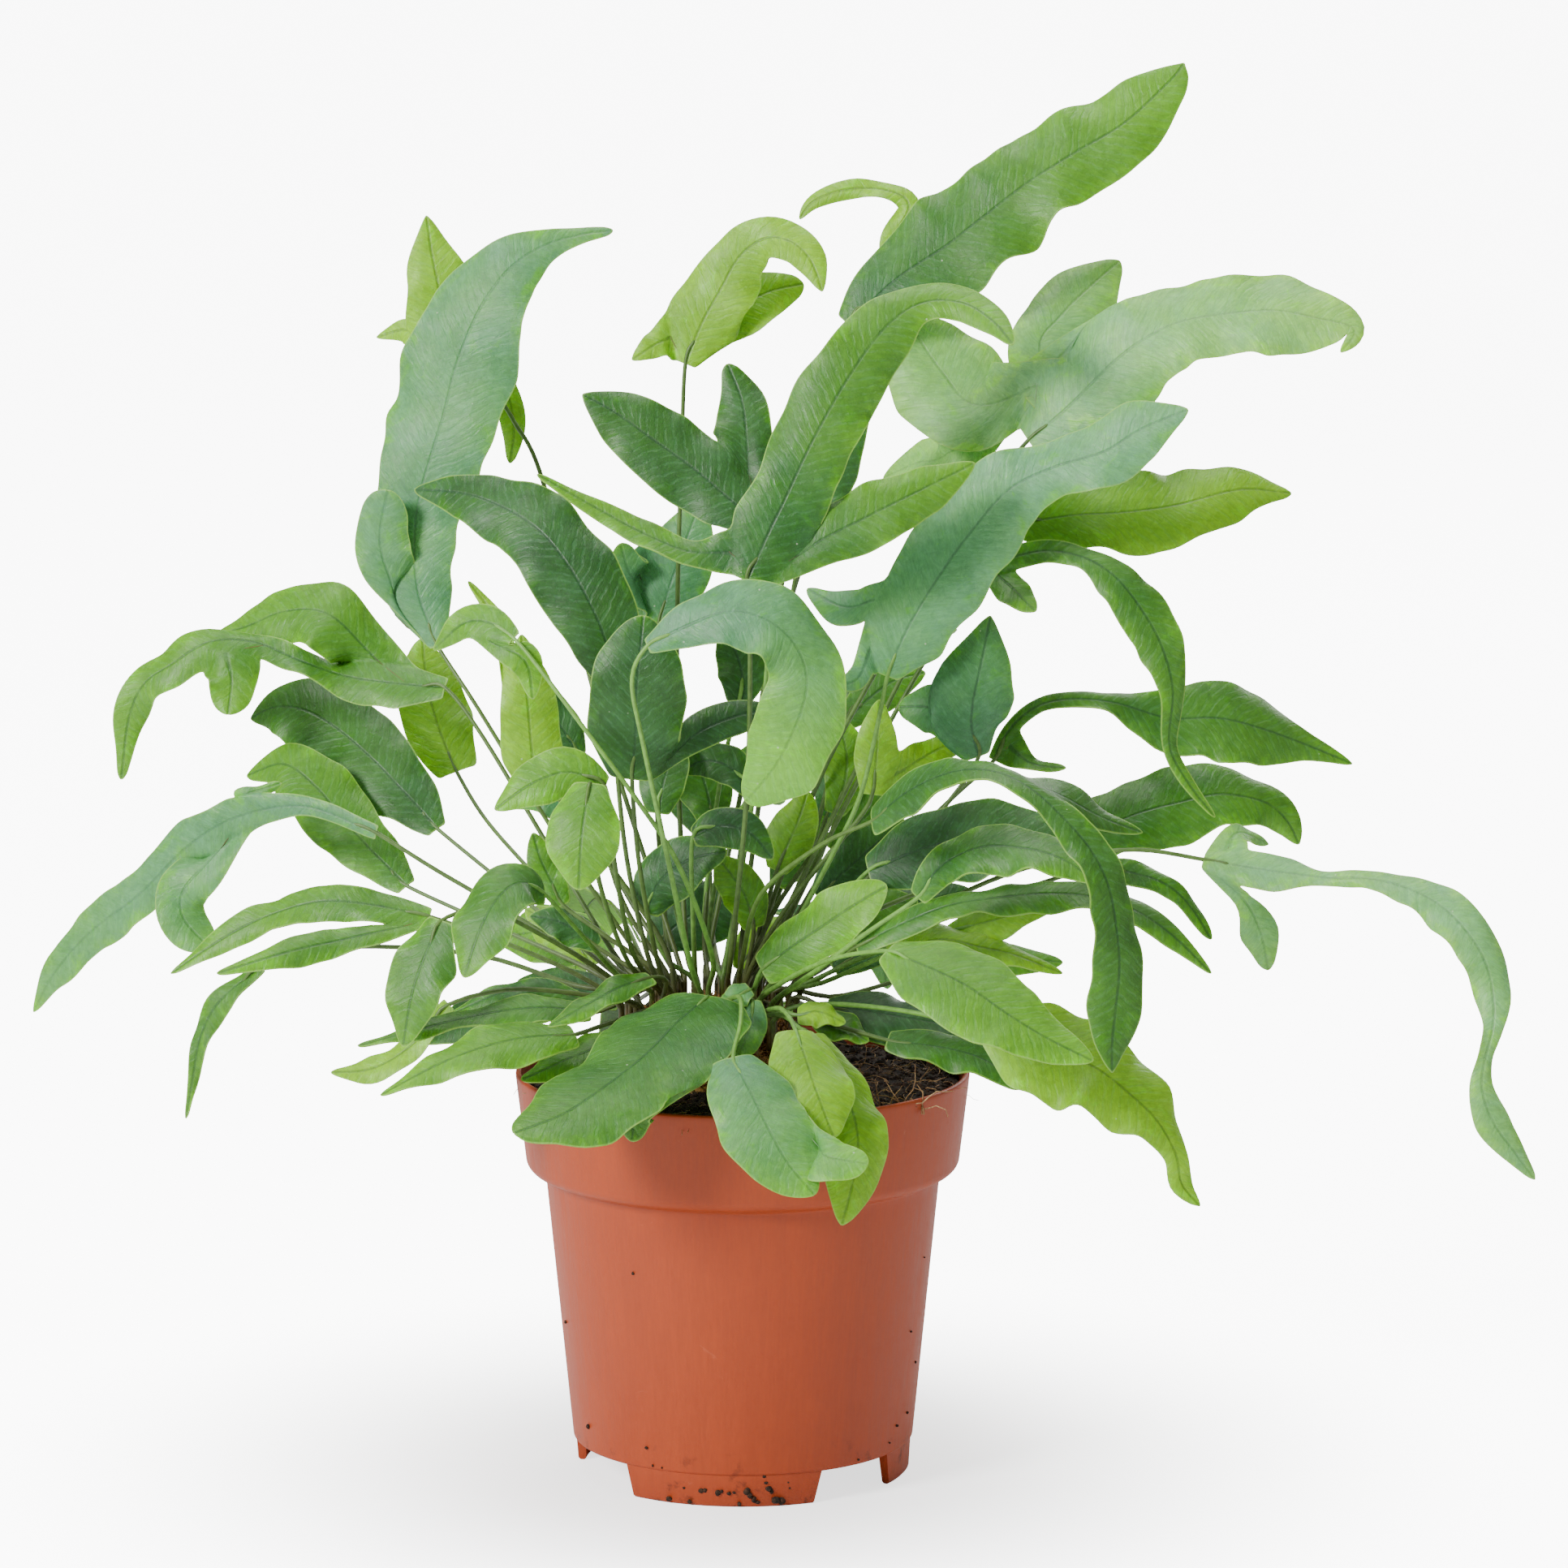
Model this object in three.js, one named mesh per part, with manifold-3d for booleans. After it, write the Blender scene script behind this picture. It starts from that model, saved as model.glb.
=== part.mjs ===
// A potted blue star fern: a terracotta-coloured plastic nursery pot, its potting soil, the creeping
// rhizome and the fronds that rise from it. Millimetres, +Z up, +X to the right, -Y towards the viewer.
// The origin is on the ground, on the pot's axis.
import * as THREE from "three";
import { mergeVertices } from "three/addons/utils/BufferGeometryUtils.js";
import Module from "manifold-3d";

const wasm = await Module();
wasm.setup();

// Driving dimensions of the pot
const RIM_RADIUS = 60;
const POT_HEIGHT = 107.5;
const COLLAR_BOTTOM = 86;
const COLLAR_FOOT_RADIUS = 57.4;
const BODY_TOP = 80;
const BODY_TOP_RADIUS = 52.2;
const BODY_FOOT_RADIUS = 45.2;
const POT_WALL = 1.5;
// The collar's underside is this thick, and flares over this height and width
const POT_STEP = 1.2;
const COLLAR_FLARE = 3;
const POT_EDGE = 1;
const FLOOR = 2;
const FOOT_HEIGHT = 8.5;
const FOOT_RADIUS = 44.2;
const FOOT_WALL = 2.1;
const FOOT_FLARE = 0.6;
// The gaps between the feet, in degrees round from the front towards the right
const FOOT_GAPS = [[28, 58], [126, 154], [198, 227], [268, 317]];
const DRAIN_COUNT = 6;
const DRAIN_RADIUS = 4;
const DRAIN_CIRCLE = 30;
const DRAIN_SIDES = 10;
const POT_SEGMENTS = 36;
const RIM_PIECES = 4;

// Driving dimensions of the soil and the rhizome
const SOIL_EDGE = 103.5;
const SOIL_TOP = 107;
const SOIL_FLAT = 36;
const SOIL_SHOULDER = 48;
const SOIL_DROP = 0.8;
const CROWN_ACROSS = -8;
const CROWN_RADIUS = 27;
const CROWN_FOOT = 2;
const CROWN_RISE = 12;
const CROWN_SIDES = 14;
const CROWN_RINGS = 8;
const RHIZOME_SINK = 1;
const RHIZOME_SIDES = 5;
const RHIZOME_PIECES = 5;
const CLEARANCE = 0.3;
const HOLE_DEPTH = 6;
const HOLE_RADIUS = 1.5;
const HOLE_REACH = 60;
const HOLE_SIDES = 4;

// Driving dimensions of the fronds
const BLADE_THICKNESS = 0.7;
const STIPE_RADIUS = 0.72;
const STIPE_SIDES = 3;
const STIPE_STEP = 30;
const STIPE_UPRIGHT = 9;
// A stipe runs on under its blade for this length, but for no more than this share of the blade
const STIPE_IN_BLADE = 7;
const STIPE_SHARE = 0.4;
const ROW_SPACING = 9.6;
const FEWEST_ROWS = 3;
const TIP_ROW = 2.5;
const ROUND_TIP = 0.35;
const WIDE_LOBE = 6;
const EDGE_DROOP = 0.14;
// The phase, in radians, at which an edge's wave starts, and how far apart the left and right edges are
const WAVE_START = 1;
const WAVE_APART = 4;
const ROUTE_TENSION = 0.5;
const NARROWEST_VIEW = 0.4;
const SHORTEST_EDGE = 0.05;
const SAME_POINT = 1e-4;

// Colours of the pot, the soil and the rhizome, roughness, and the fronds' greens
const TERRACOTTA = 0xb5603c;
const PEAT = 0x2b1d14;
const GOLDEN_BROWN = 0x8a5a24;
const SATIN = 0.45;
const WAXY = 0.6;
const ROUGH = 1;
const GREENS = { blue: 0x5f9377, green: 0x4f8a3c, fresh: 0x7fae3f, dark: 0x3b6a2c, olive: 0x6f8f2d };

// The eye that the fronds are placed from. A point of a frond is given as it is seen, in millimetres to
// the right of the pot's axis and above its front foot, with its distance behind the axis.
const EYE_DISTANCE = 1800;
const EYE_TILT = THREE.MathUtils.degToRad(9.5);
const AIM_ACROSS = 10.9;
const AIM_UP = 189.8;
const AIM_HEIGHT = 183.7;
const SIGHT = new THREE.Vector3(0, Math.cos(EYE_TILT), -Math.sin(EYE_TILT));

function place([across, up, back]) {
  const sine = Math.sin(EYE_TILT);
  const cosine = Math.cos(EYE_TILT);
  const rise = up - AIM_UP;
  const reach = (back + EYE_DISTANCE * cosine) / (EYE_DISTANCE * cosine + rise * sine);
  const height = AIM_HEIGHT + EYE_DISTANCE * sine + reach * (rise * cosine - EYE_DISTANCE * sine);
  return new THREE.Vector3(AIM_ACROSS + reach * (across - AIM_ACROSS), back, height);
}

// A blade or lobe: its rib's points with the half width that is seen there, how far it turns about its
// rib in degrees along its length, and its edge's wave as a height and a count
const blade = (rib, turn = [0], wave = [1.2, 2.5]) => ({ rib, turn, wave });
const lobe = (rib, turn = [0], wave = [0.8, 1.5]) => ({ rib, turn, wave });
// A frond: name, green, the way its face looks as an azimuth from the front and a height in degrees,
// where its stipe stands, the stipe's points up to the blade, the blade and its side lobes
function frond(name, green, faces, root, stipe, main, ...lobes) {
  return { name, green, faces, root, stipe, main, lobes };
}

const FRONDS = [
  frond("frond_far_left", "blue", [0, 40], [-32, 3], [[-37, 140, 6], [-56, 153, 13], [-80, 167, 20]],
    blade([[-96, 177, 25, 1.8], [-115, 184, 32, 2.5], [-133, 181, 40, 5.5], [-146, 173, 48, 6.5],
      [-158, 161, 56, 6], [-171, 151, 64, 5.5], [-180, 141, 70, 4.5], [-186, 130, 75, 0.5]],
      [45, 40, 15, 0]),
    lobe([[-137, 174, 42, 6.5], [-146, 163, 44, 6.5], [-147, 155, 43, 6.5], [-140, 147, 40, 4.5]]),
    lobe([[-126, 184, 36, 2], [-130, 187, 40, 2.2], [-121, 190, 46, 1]])),
  frond("frond_left_two_arm", "green", [0, 40], [-23, 11], [[-32, 143, 18], [-50, 172, 32],
    [-68, 202, 44]],
    blade([[-78, 215, 50, 3], [-90, 216, 54, 6.5], [-104, 218, 58, 5], [-116, 222, 61, 3],
      [-128, 227, 64, 3], [-140, 227, 66, 4.5], [-150, 221, 68, 5.5], [-157, 216, 70, 5.5],
      [-161, 207, 71, 4.5], [-163, 191, 71, 1]], [0], [2, 4.5]),
    lobe([[-95, 220, 56, 6.5], [-108, 234, 62, 10], [-120, 235, 68, 7.5], [-130, 231, 73, 4.5],
      [-138, 229, 77, 1]]),
    lobe([[-131, 225, 64, 4.5], [-134, 217, 60, 6.5], [-135, 208, 56, 4.5]])),
  frond("frond_left_upper_strap", "green", [0, 35], [-28, 11], [[-36, 142, 20], [-58, 160, 42]],
    blade([[-80, 178, 60, 3], [-90, 189, 68, 10], [-100, 199, 76, 11.5], [-112, 208, 83, 10.5],
      [-122, 210, 89, 6.5], [-129, 207, 94, 1]])),
  frond("frond_left_lower_strap", "fresh", [0, 35], [-30.5, 6.5], [[-40, 141, 14], [-64, 152, 30]],
    blade([[-88, 163, 44, 3], [-97, 172, 51, 7.5], [-105, 181, 57, 9.5], [-112, 189, 63, 9.5],
      [-120, 195, 70, 6], [-130, 192, 78, 1]])),
  frond("frond_left_back", "olive", [0, 30], [-24, 15.5], [[-34, 142, 30], [-52, 163, 58],
    [-67, 180, 78]],
    blade([[-75, 193, 88, 5.5], [-80, 205, 95, 10], [-83, 217, 102, 9], [-84, 228, 108, 2]])),
  frond("frond_upper_left", "blue", [-10, 25], [-20.5, 6.5], [[-26, 143, 5], [-48, 175, 6],
    [-69, 209, 12]],
    blade([[-80, 226, 20, 2.5], [-85, 240, 24, 9], [-86, 255, 27, 10.5], [-84, 268, 29, 12.5],
      [-79, 284, 31, 15.5], [-75, 300, 33, 15.5], [-69, 314, 35, 13.5], [-61, 325, 37, 9],
      [-52, 331, 39, 4.5], [-42, 334, 40, 2.2], [-34, 335, 41, 1]], [0], [2, 4]),
    lobe([[-88, 238, 25, 5.5], [-95, 252, 24, 7.5], [-93, 267, 22, 4.5]])),
  frond("frond_upper_left_yellow", "olive", [0, 20], [-15.5, 14.5], [[-18, 147, 20], [-38, 210, 44],
    [-52, 268, 54], [-60, 285, 56]],
    blade([[-66, 294, 58, 3], [-73, 304, 60, 10], [-78, 314, 62, 10.5], [-81, 326, 64, 7.5],
      [-83, 339, 66, 0.6]]),
    lobe([[-78, 308, 62, 4.5], [-88, 309, 66, 3.5], [-96, 307, 70, 0.6]]),
    lobe([[-64, 296, 58, 3], [-60, 285, 60, 3.5], [-61, 274, 62, 1]])),
  frond("frond_left_arch", "blue", [0, 25], [-18, -11.5], [[-24, 142, -15], [-30, 168, -19],
    [-33, 194, -21]],
    blade([[-34, 214, -22, 3], [-35, 224, -22, 8.5], [-39, 235, -21, 11], [-45, 246, -18, 11.5],
      [-52, 255, -13, 11], [-62, 262, -6, 9], [-73, 266, 2, 6], [-86, 267, 12, 1]], [0], [1.6, 3])),
  frond("frond_left_arch", "blue", [0, 25], [-18, -11.5], [[-22, 142, -20], [-27, 168, -32]],
    blade([[-29, 191, -39, 5.5], [-28, 201, -41, 12], [-28, 212, -42, 13.5], [-27, 223, -42, 12.5],
      [-26, 234, -40, 4]], [0], [1.6, 2.5]),
    lobe([[-24, 198, -40, 4.5], [-12, 203, -34, 5], [0, 208, -25, 4.5], [9, 209, -16, 1]])),
  frond("frond_centre", "green", [5, 30], [-4, -4], [[-3, 145, -18], [1, 185, -30], [2, 222, -38]],
    blade([[1, 243, -40, 4.5], [8, 258, -38, 10], [17, 277, -33, 10.5], [27, 295, -27, 10],
      [37, 309, -22, 8], [47, 316, -18, 5.5], [58, 316, -20, 4.5], [66, 311, -26, 3.5],
      [71, 305, -32, 1]]),
    lobe([[9, 248, -40, 5.5], [25, 256, -38, 7.5], [37, 262, -36, 8], [49, 268, -33, 6.5],
      [61, 274, -30, 0.8]]),
    lobe([[-4, 250, -38, 3], [-15, 251, -36, 3.5], [-27, 256, -33, 3.5], [-38, 262, -30, 2.5],
      [-54, 271, -27, 0.6]])),
  frond("frond_centre_hanging", "fresh", [5, 30], [-10, -17], [[-14, 144, -36], [-20, 172, -54],
    [-26, 200, -62], [-29, 217, -64]],
    blade([[-25, 226, -64, 2], [-15, 231, -65, 5.5], [-4, 235, -67, 8], [6, 233, -69, 9.5],
      [14, 226, -71, 9.5], [17, 216, -72, 9.5], [14, 205, -71, 11], [9, 195, -68, 10.5],
      [1, 185, -64, 3]], [0], [2, 4])),
  frond("frond_upper_centre", "dark", [0, 25], [-5.5, 6.5], [[-4, 145, 8], [4, 195, 6], [7, 235, 4]],
    blade([[5, 258, 4, 4.5], [-4, 265, 7, 9], [-12, 272, 10, 10], [-22, 279, 13, 10], [-33, 287, 16, 7.5],
      [-42, 292, 18, 1]]),
    lobe([[-2, 270, 8, 5.5], [1, 280, 14, 7.5], [0, 290, 20, 7], [-4, 300, 25, 2]]),
    lobe([[8, 260, 4, 4.5], [17, 262, 2, 5.5], [25, 273, 0, 6], [32, 289, -2, 2]])),
  frond("frond_upper_centre", "dark", [0, 25], [-5.5, 6.5], [[-9, 148, 14], [-5, 174, 13]],
    blade([[2, 188, 9, 2.5], [-3, 194, 10, 5.5], [-10, 196, 12, 5], [-16, 193, 14, 1.5]])),
  frond("frond_upper_centre", "dark", [0, 25], [-5.5, 6.5], [[-10, 152, 18], [-6, 190, 17]],
    blade([[-1, 211, 12, 3], [0, 218, 13, 6.5], [-2, 225, 14, 6], [-5, 232, 15, 1.5]])),
  frond("frond_top_centre", "olive", [0, 25], [-13, 11], [[-15, 150, 22], [-17, 200, 32], [-17, 240, 38],
    [-16, 275, 40]],
    blade([[-15, 300, 41, 3], [-11, 310, 42, 9.5], [-6, 319, 43, 10], [-1, 328, 43, 7], [6, 333, 41, 6],
      [13, 332, 38, 5.5], [18, 327, 35, 4.5], [21, 319, 32, 0.8]]),
    lobe([[-10, 308, 42, 4.5], [-2, 314, 46, 8], [7, 319, 50, 6.5], [16, 321, 54, 2]]),
    lobe([[-17, 305, 41, 4], [-23, 305, 40, 4], [-29, 301, 38, 0.8]])),
  frond("frond_top_back", "olive", [0, 25], [-10, 15.5], [[-8, 150, 30], [6, 215, 46], [26, 280, 52],
    [35, 308, 53]],
    blade([[40, 322, 54, 2], [39, 332, 55, 3.5], [44, 341, 56, 3.5], [40, 345, 58, 2.5],
      [29, 346, 60, 2.5], [19, 343, 61, 2.5], [15, 338, 61, 0.6]])),
  frond("frond_top_right", "green", [5, 35], [0, 15.5], [[0, 150, 20], [8, 210, 22], [19, 270, 18]],
    blade([[28, 310, 15, 4.5], [40, 322, 17, 10.5], [55, 332, 19, 14.5], [70, 344, 21, 13],
      [85, 354, 23, 11], [100, 363, 26, 10.5], [112, 374, 29, 5.5], [116, 379, 30, 0.6]], [0], [2, 5])),
  frond("frond_right_pale", "fresh", [0, 35], [2, 11], [[4, 148, 12], [22, 195, 10], [50, 245, 6],
    [66, 269, 4]],
    blade([[75, 280, 2, 4.5], [86, 289, 0, 11], [98, 301, -3, 13], [112, 310, -6, 11.5],
      [126, 313, -9, 10], [140, 314, -12, 11.5], [151, 312, -15, 8], [161, 309, -18, 3],
      [157, 303, -21, 0.6]], [0], [2.4, 4]),
    lobe([[70, 284, 3, 6], [61, 289, 10, 13], [53, 297, 17, 14], [46, 307, 23, 10], [42, 314, 26, 2]]),
    lobe([[78, 292, 3, 5], [78, 303, 16, 9], [84, 313, 26, 9.5], [92, 321, 34, 7.5],
      [99, 327, 38, 1.5]]),
    lobe([[68, 279, 3, 4.5], [56, 278, 14, 7], [46, 274, 24, 7], [37, 270, 32, 1.5]])),
  frond("frond_right_blue", "blue", [10, 30], [3, -2.5], [[10, 146, -5], [23, 170, -12], [31, 187, -16],
    [36, 208, -20]],
    blade([[38, 218, -22, 3], [42, 228, -22, 10], [50, 242, -20, 12], [60, 256, -16, 13],
      [70, 267, -16, 10.5], [82, 273, -17, 7], [95, 277, -19, 9], [105, 283, -20, 8],
      [117, 288, -21, 1]]),
    lobe([[36, 222, -22, 2.5], [30, 217, -26, 3], [23, 216, -30, 0.8]]),
    lobe([[36, 231, -21, 4.5], [27, 236, -14, 5.5], [17, 241, -6, 1]])),
  frond("frond_right_yellow_tip", "fresh", [5, 40], [4.5, 6.5], [[8, 146, 6], [30, 190, 2], [56, 236, 2]],
    blade([[72, 258, 4, 4.5], [85, 260, 7, 9.5], [100, 261, 10, 11], [115, 263, 13, 9.5],
      [130, 267, 16, 6.5], [144, 266, 19, 1]], [0], [1.8, 3])),
  frond("frond_right_arch", "green", [15, 30], [-0.5, 6.5], [[6, 146, 4], [28, 190, -2], [44, 222, -4]],
    blade([[55, 238, -5, 2], [62, 246, -4, 2.5], [70, 249, -4, 3], [80, 251, -5, 3], [90, 249, -8, 3],
      [98, 244, -12, 5.5], [105, 235, -16, 7], [110, 226, -19, 6], [113, 214, -22, 3.5],
      [112, 200, -24, 2], [117, 190, -25, 1.6], [124, 181, -26, 0.6]]),
    lobe([[68, 246, -5, 4.5], [72, 240, -10, 4.5], [77, 235, -15, 1]])),
  frond("frond_right_broad", "blue", [10, 20], [6, 1.5], [[14, 142, -8], [36, 164, -12], [54, 185, -12]],
    blade([[62, 197, -12, 3.5], [60, 205, -14, 9], [61, 214, -15, 12], [63, 223, -14, 7.5],
      [65, 234, -12, 0.8]]),
    lobe([[54, 207, -12, 5], [48, 210, -8, 6.5], [41, 210, -4, 3]])),
  frond("frond_right_long_neck", "green", [5, 40], [9.5, 6.5], [[13, 146, 4], [36, 168, 2], [56, 187, 0]],
    blade([[66, 196, -2, 1.8], [70, 204, -1, 1.8], [77, 210, 0, 1.8], [86, 212, 2, 2.2],
      [98, 211, 4, 3.5], [112, 207, 7, 8], [125, 207, 9, 11], [137, 204, 11, 9], [148, 200, 13, 3.5],
      [160, 195, 15, 0.5]]),
    lobe([[68, 199, -2, 2], [76, 195, -5, 2], [85, 194, -8, 0.6]])),
  frond("frond_right_back_strap", "green", [0, 40], [7, 11], [[13, 146, 12], [38, 158, 18],
    [62, 167, 22]],
    blade([[80, 172, 24, 4.5], [92, 177, 26, 8], [104, 182, 28, 10], [115, 185, 30, 10],
      [126, 187, 32, 8], [137, 185, 34, 5.5], [143, 180, 35, 4.5], [146, 174, 36, 1]])),
  frond("frond_far_right", "blue", [0, 40], [14, -2.5], [[22, 143, -10], [45, 155, -18], [72, 167, -26],
    [100, 172.5, -31]],
    blade([[121, 170, -33, 2], [132, 168, -36, 4.5], [142, 166.5, -40, 5], [150, 165.5, -43, 2],
      [156, 165, -46, 1.5], [163, 165, -49, 2], [173, 163, -54, 3.8], [183, 158, -60, 5],
      [190, 151, -66, 5.5], [195, 143, -71, 5.5], [197, 134, -75, 4.5], [197, 126, -78, 2.5],
      [195, 118, -80, 1.6], [194, 110, -82, 3], [197, 101, -83, 4.5], [202, 94, -84, 3.6],
      [208, 86, -85, 0.8]], [0], [1.4, 5]),
    lobe([[126, 172, -34, 2], [130, 177, -28, 2.5], [138, 174, -22, 0.6]]),
    lobe([[126, 166, -34, 2.5], [132, 159, -32, 2], [136, 151, -31, 6], [138, 141, -30, 1.5]])),
  frond("frond_front_right_droop", "dark", [20, 45], [-1, -7.5], [[0, 144, -22], [5, 161, -44],
    [21, 174, -64]],
    blade([[34, 180, -74, 3], [44, 188, -82, 4.5], [56, 193, -90, 3], [66, 193, -96, 2.5],
      [75, 189, -101, 3], [83, 182, -105, 3.5], [91, 173, -108, 4.5], [96, 163, -111, 5],
      [98, 153, -113, 5.5], [99, 142, -115, 6.5], [98, 131, -116, 6.5], [97, 122, -117, 4.5],
      [97, 114, -117, 0.5]]),
    lobe([[76, 191, -99, 3], [85, 186, -94, 5], [94, 181, -90, 3], [105, 177, -86, 0.5]])),
  frond("frond_right_dark", "dark", [10, 35], [4.5, -11.5], [[12, 142, -18], [22, 155, -26]],
    blade([[33, 167, -32, 4.5], [48, 173, -36, 9.5], [62, 176, -38, 10], [76, 176, -40, 7.5],
      [87, 172, -42, 1.5]])),
  frond("frond_right_bright_arch", "fresh", [20, 45], [7, -14], [[14, 137, -34], [21, 142, -46],
    [33, 151, -56]],
    blade([[46, 160, -62, 2.5], [52, 168, -65, 5], [62, 173, -69, 5.5], [73, 173, -73, 5.5],
      [84, 170, -77, 4.5], [93, 164, -80, 1]])),
  frond("frond_right_low_strap", "green", [10, 50], [8.5, -11.5], [[16, 139, -26]],
    blade([[30, 147, -38, 2], [42, 153, -42, 3], [55, 158, -45, 3.5], [68, 160, -47, 4.5],
      [80, 161, -49, 3.5], [92, 160, -51, 3.5], [104, 156, -53, 3.5], [114, 149, -55, 2.5],
      [123, 140, -57, 0.5]])),
  frond("frond_right_pointed", "green", [10, 45], [12, 2], [[19, 142, -4], [44, 151, -10],
    [76, 163, -16]],
    blade([[94, 168, -19, 2.5], [104, 166, -20, 3.5], [112, 163, -21, 2], [118, 157, -22, 2.5],
      [123, 149, -23, 0.8]])),
  frond("frond_right_pair", "olive", [10, 50], [10, -3], [[18, 138, -8], [36, 146, -14]],
    blade([[54, 151, -19, 2], [62, 153, -20, 4.5], [70, 155, -21, 4.5], [82, 158, -22, 0.7]])),
  frond("frond_right_pair", "olive", [10, 50], [10, -3], [[22, 138, -13]],
    blade([[38, 145, -23, 3], [52, 149, -25, 5.5], [62, 147, -27, 3.5], [71, 145, -28, 3],
      [84, 140, -30, 0.5]])),
  frond("frond_front_right_bright", "fresh", [20, 40], [3.2, -15.5], [[11, 138, -36], [24, 144, -62]],
    blade([[38, 146, -78, 3], [50, 141, -86, 9.5], [60, 136, -91, 10], [70, 129, -96, 9],
      [80, 123, -100, 6], [92, 117, -104, 1]])),
  frond("frond_right_drop", "fresh", [20, 35], [8, -18], [[19, 132, -22], [44, 130, -41]],
    blade([[64, 124.5, -56, 3], [75, 122, -60, 11], [84, 119, -63, 12], [93, 115, -66, 10.5],
      [102, 108, -69, 9.5], [109, 101, -71, 6.5], [114, 92, -73, 2.5], [115, 85, -74, 3.5],
      [120, 79, -75, 0.6]], [0], [2.2, 4])),
  frond("frond_right_rim", "dark", [15, 55], [12, -8], [[15, 134, -9]],
    blade([[22, 131, -13, 3], [33, 130, -15, 6], [45, 128, -17, 6.5], [56, 126, -18, 5.5],
      [66, 125, -19, 1]])),
  frond("frond_right_rim", "fresh", [20, 50], [12, -8], [[20, 128, -22]],
    blade([[38, 122.5, -28, 2.5], [49, 121, -31, 4.5], [58, 119.5, -33, 4.5], [66, 116, -35, 4.5],
      [74, 110, -37, 1.5]])),
  frond("frond_front_left_big", "blue", [-25, 45], [-12, -16], [[-10, 131, -24]],
    blade([[-9, 134, -34, 7.5], [-17, 127, -48, 13], [-25, 119, -60, 13], [-35, 111, -70, 11.5],
      [-47, 103, -79, 8.5], [-60, 98, -86, 2]]),
    lobe([[-22, 118, -64, 4.5], [-27, 106, -68, 5.5], [-29, 96, -69, 2.5]])),
  frond("frond_front_fold", "blue", [10, 40], [-7, -20.5], [[-1, 134, -42], [-0.5, 127, -55]],
    blade([[-2.5, 118, -63, 5.5], [2, 109, -73, 10], [7, 99, -82, 11.5], [12, 90, -88, 9.5],
      [19, 82, -92, 2]]),
    lobe([[12, 98, -82, 6.5], [22, 92, -88, 6], [33, 90, -91, 2.5]])),
  frond("frond_front_yellow", "olive", [20, 40], [3.5, -20.5], [[9, 131, -37], [12, 129, -44]],
    blade([[14, 125, -50, 5], [17, 116, -60, 10], [20, 107, -69, 9], [24, 97, -76, 2]])),
  frond("frond_front_yellow", "fresh", [30, 40], [3.5, -20.5], [[10.5, 129, -31], [14.5, 126, -37]],
    blade([[18, 124, -42, 3.5], [26, 111, -54, 6.5], [30, 98, -64, 7.5], [29, 86, -69, 7],
      [26, 74, -72, 1]])),
  frond("frond_front_fold", "blue", [0, 40], [-7, -20.5], [[-3, 135, -25]],
    blade([[2, 136, -28, 2], [-1, 134.5, -29.5, 3.6], [-3, 132.5, -31, 3.4], [-6, 130, -32, 1]])),
  frond("frond_front_fold", "dark", [0, 45], [-7, -20.5], [[-1, 134, -26]],
    blade([[2.5, 133, -29, 2.5], [2.5, 128, -34, 4], [0.5, 122, -39, 4], [-2, 117, -43, 1]])),
  frond("frond_front_yellow", "green", [20, 50], [3.5, -20.5], [[10.5, 130, -25]],
    blade([[14.5, 129, -28, 2], [20, 130, -29, 3.4], [27, 127, -30, 1]])),
  frond("frond_crown_bright", "fresh", [5, 35], [1, -12], [[3, 136, -24]],
    blade([[5, 141, -29, 4.5], [13, 147, -32, 7], [22, 153, -35, 7.5], [31, 159, -38, 6],
      [38, 163, -41, 1.5]])),
  frond("frond_left_fold", "green", [-20, 35], [-24, -0.5], [[-32, 139, -10], [-42, 150, -24]],
    blade([[-52, 161, -38, 2.5], [-58, 164, -44, 5.5], [-64, 160, -49, 7.5], [-69, 151, -53, 8],
      [-73, 139, -56, 1.5]])),
  frond("frond_left_low_broad", "green", [-20, 30], [-29.5, -3.5], [[-36, 140, -9], [-56, 152, -20],
    [-68, 157, -28]],
    blade([[-79, 154, -32, 3.5], [-84, 143, -36, 8], [-87, 133, -38, 7], [-89, 121, -39, 1.5]])),
  frond("frond_left_olive_drop", "olive", [-20, 40], [-28, -8], [[-38, 134, -12], [-60, 136, -15]],
    blade([[-77, 132, -16, 2], [-87, 121, -17, 3.5], [-97, 115, -18, 3.5], [-108, 114, -18, 0.8]])),
  frond("frond_left_straps", "fresh", [-10, 40], [-32, -1.5], [[-42, 139, -2], [-62, 148, 0]],
    blade([[-82, 155, 2, 2.5], [-97, 158, 4, 4.5], [-110, 159, 6, 4.5], [-122, 156, 8, 4.5],
      [-135, 150, 9, 3.5], [-150, 140, 10, 0.5]]),
    lobe([[-90, 153, 2, 3], [-104, 149, -4, 3.8], [-118, 146, -8, 3.8], [-138, 140, -12, 0.6]])),
  frond("frond_left_low_lance", "green", [-10, 45], [-28, 2.5], [[-44, 137, 12], [-70, 145, 18],
    [-104, 147, 24]],
    blade([[-126, 142, 26, 1.6], [-137, 133, 28, 3], [-142, 124, 29, 2.8], [-144, 114, 29, 1.6],
      [-146, 102, 29, 0.5]])),
  frond("frond_left_rim_low", "fresh", [-25, 50], [-21.5, -16], [[-32, 128, -28]],
    blade([[-44, 124, -36, 3], [-58, 123, -42, 6], [-70, 120, -46, 5.5], [-82, 115, -49, 3],
      [-95, 108, -52, 0.5]])),
  frond("frond_left_rim", "green", [-20, 55], [-26, -12], [[-33, 133, -18]],
    blade([[-40, 130, -22, 2], [-52, 131, -25, 3.5], [-64, 130, -27, 3.5], [-78, 127, -29, 2.5],
      [-101, 121, -32, 0.5]])),
  frond("frond_left_rim", "dark", [-10, 50], [-26, -12], [[-32, 136, -8]],
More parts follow.
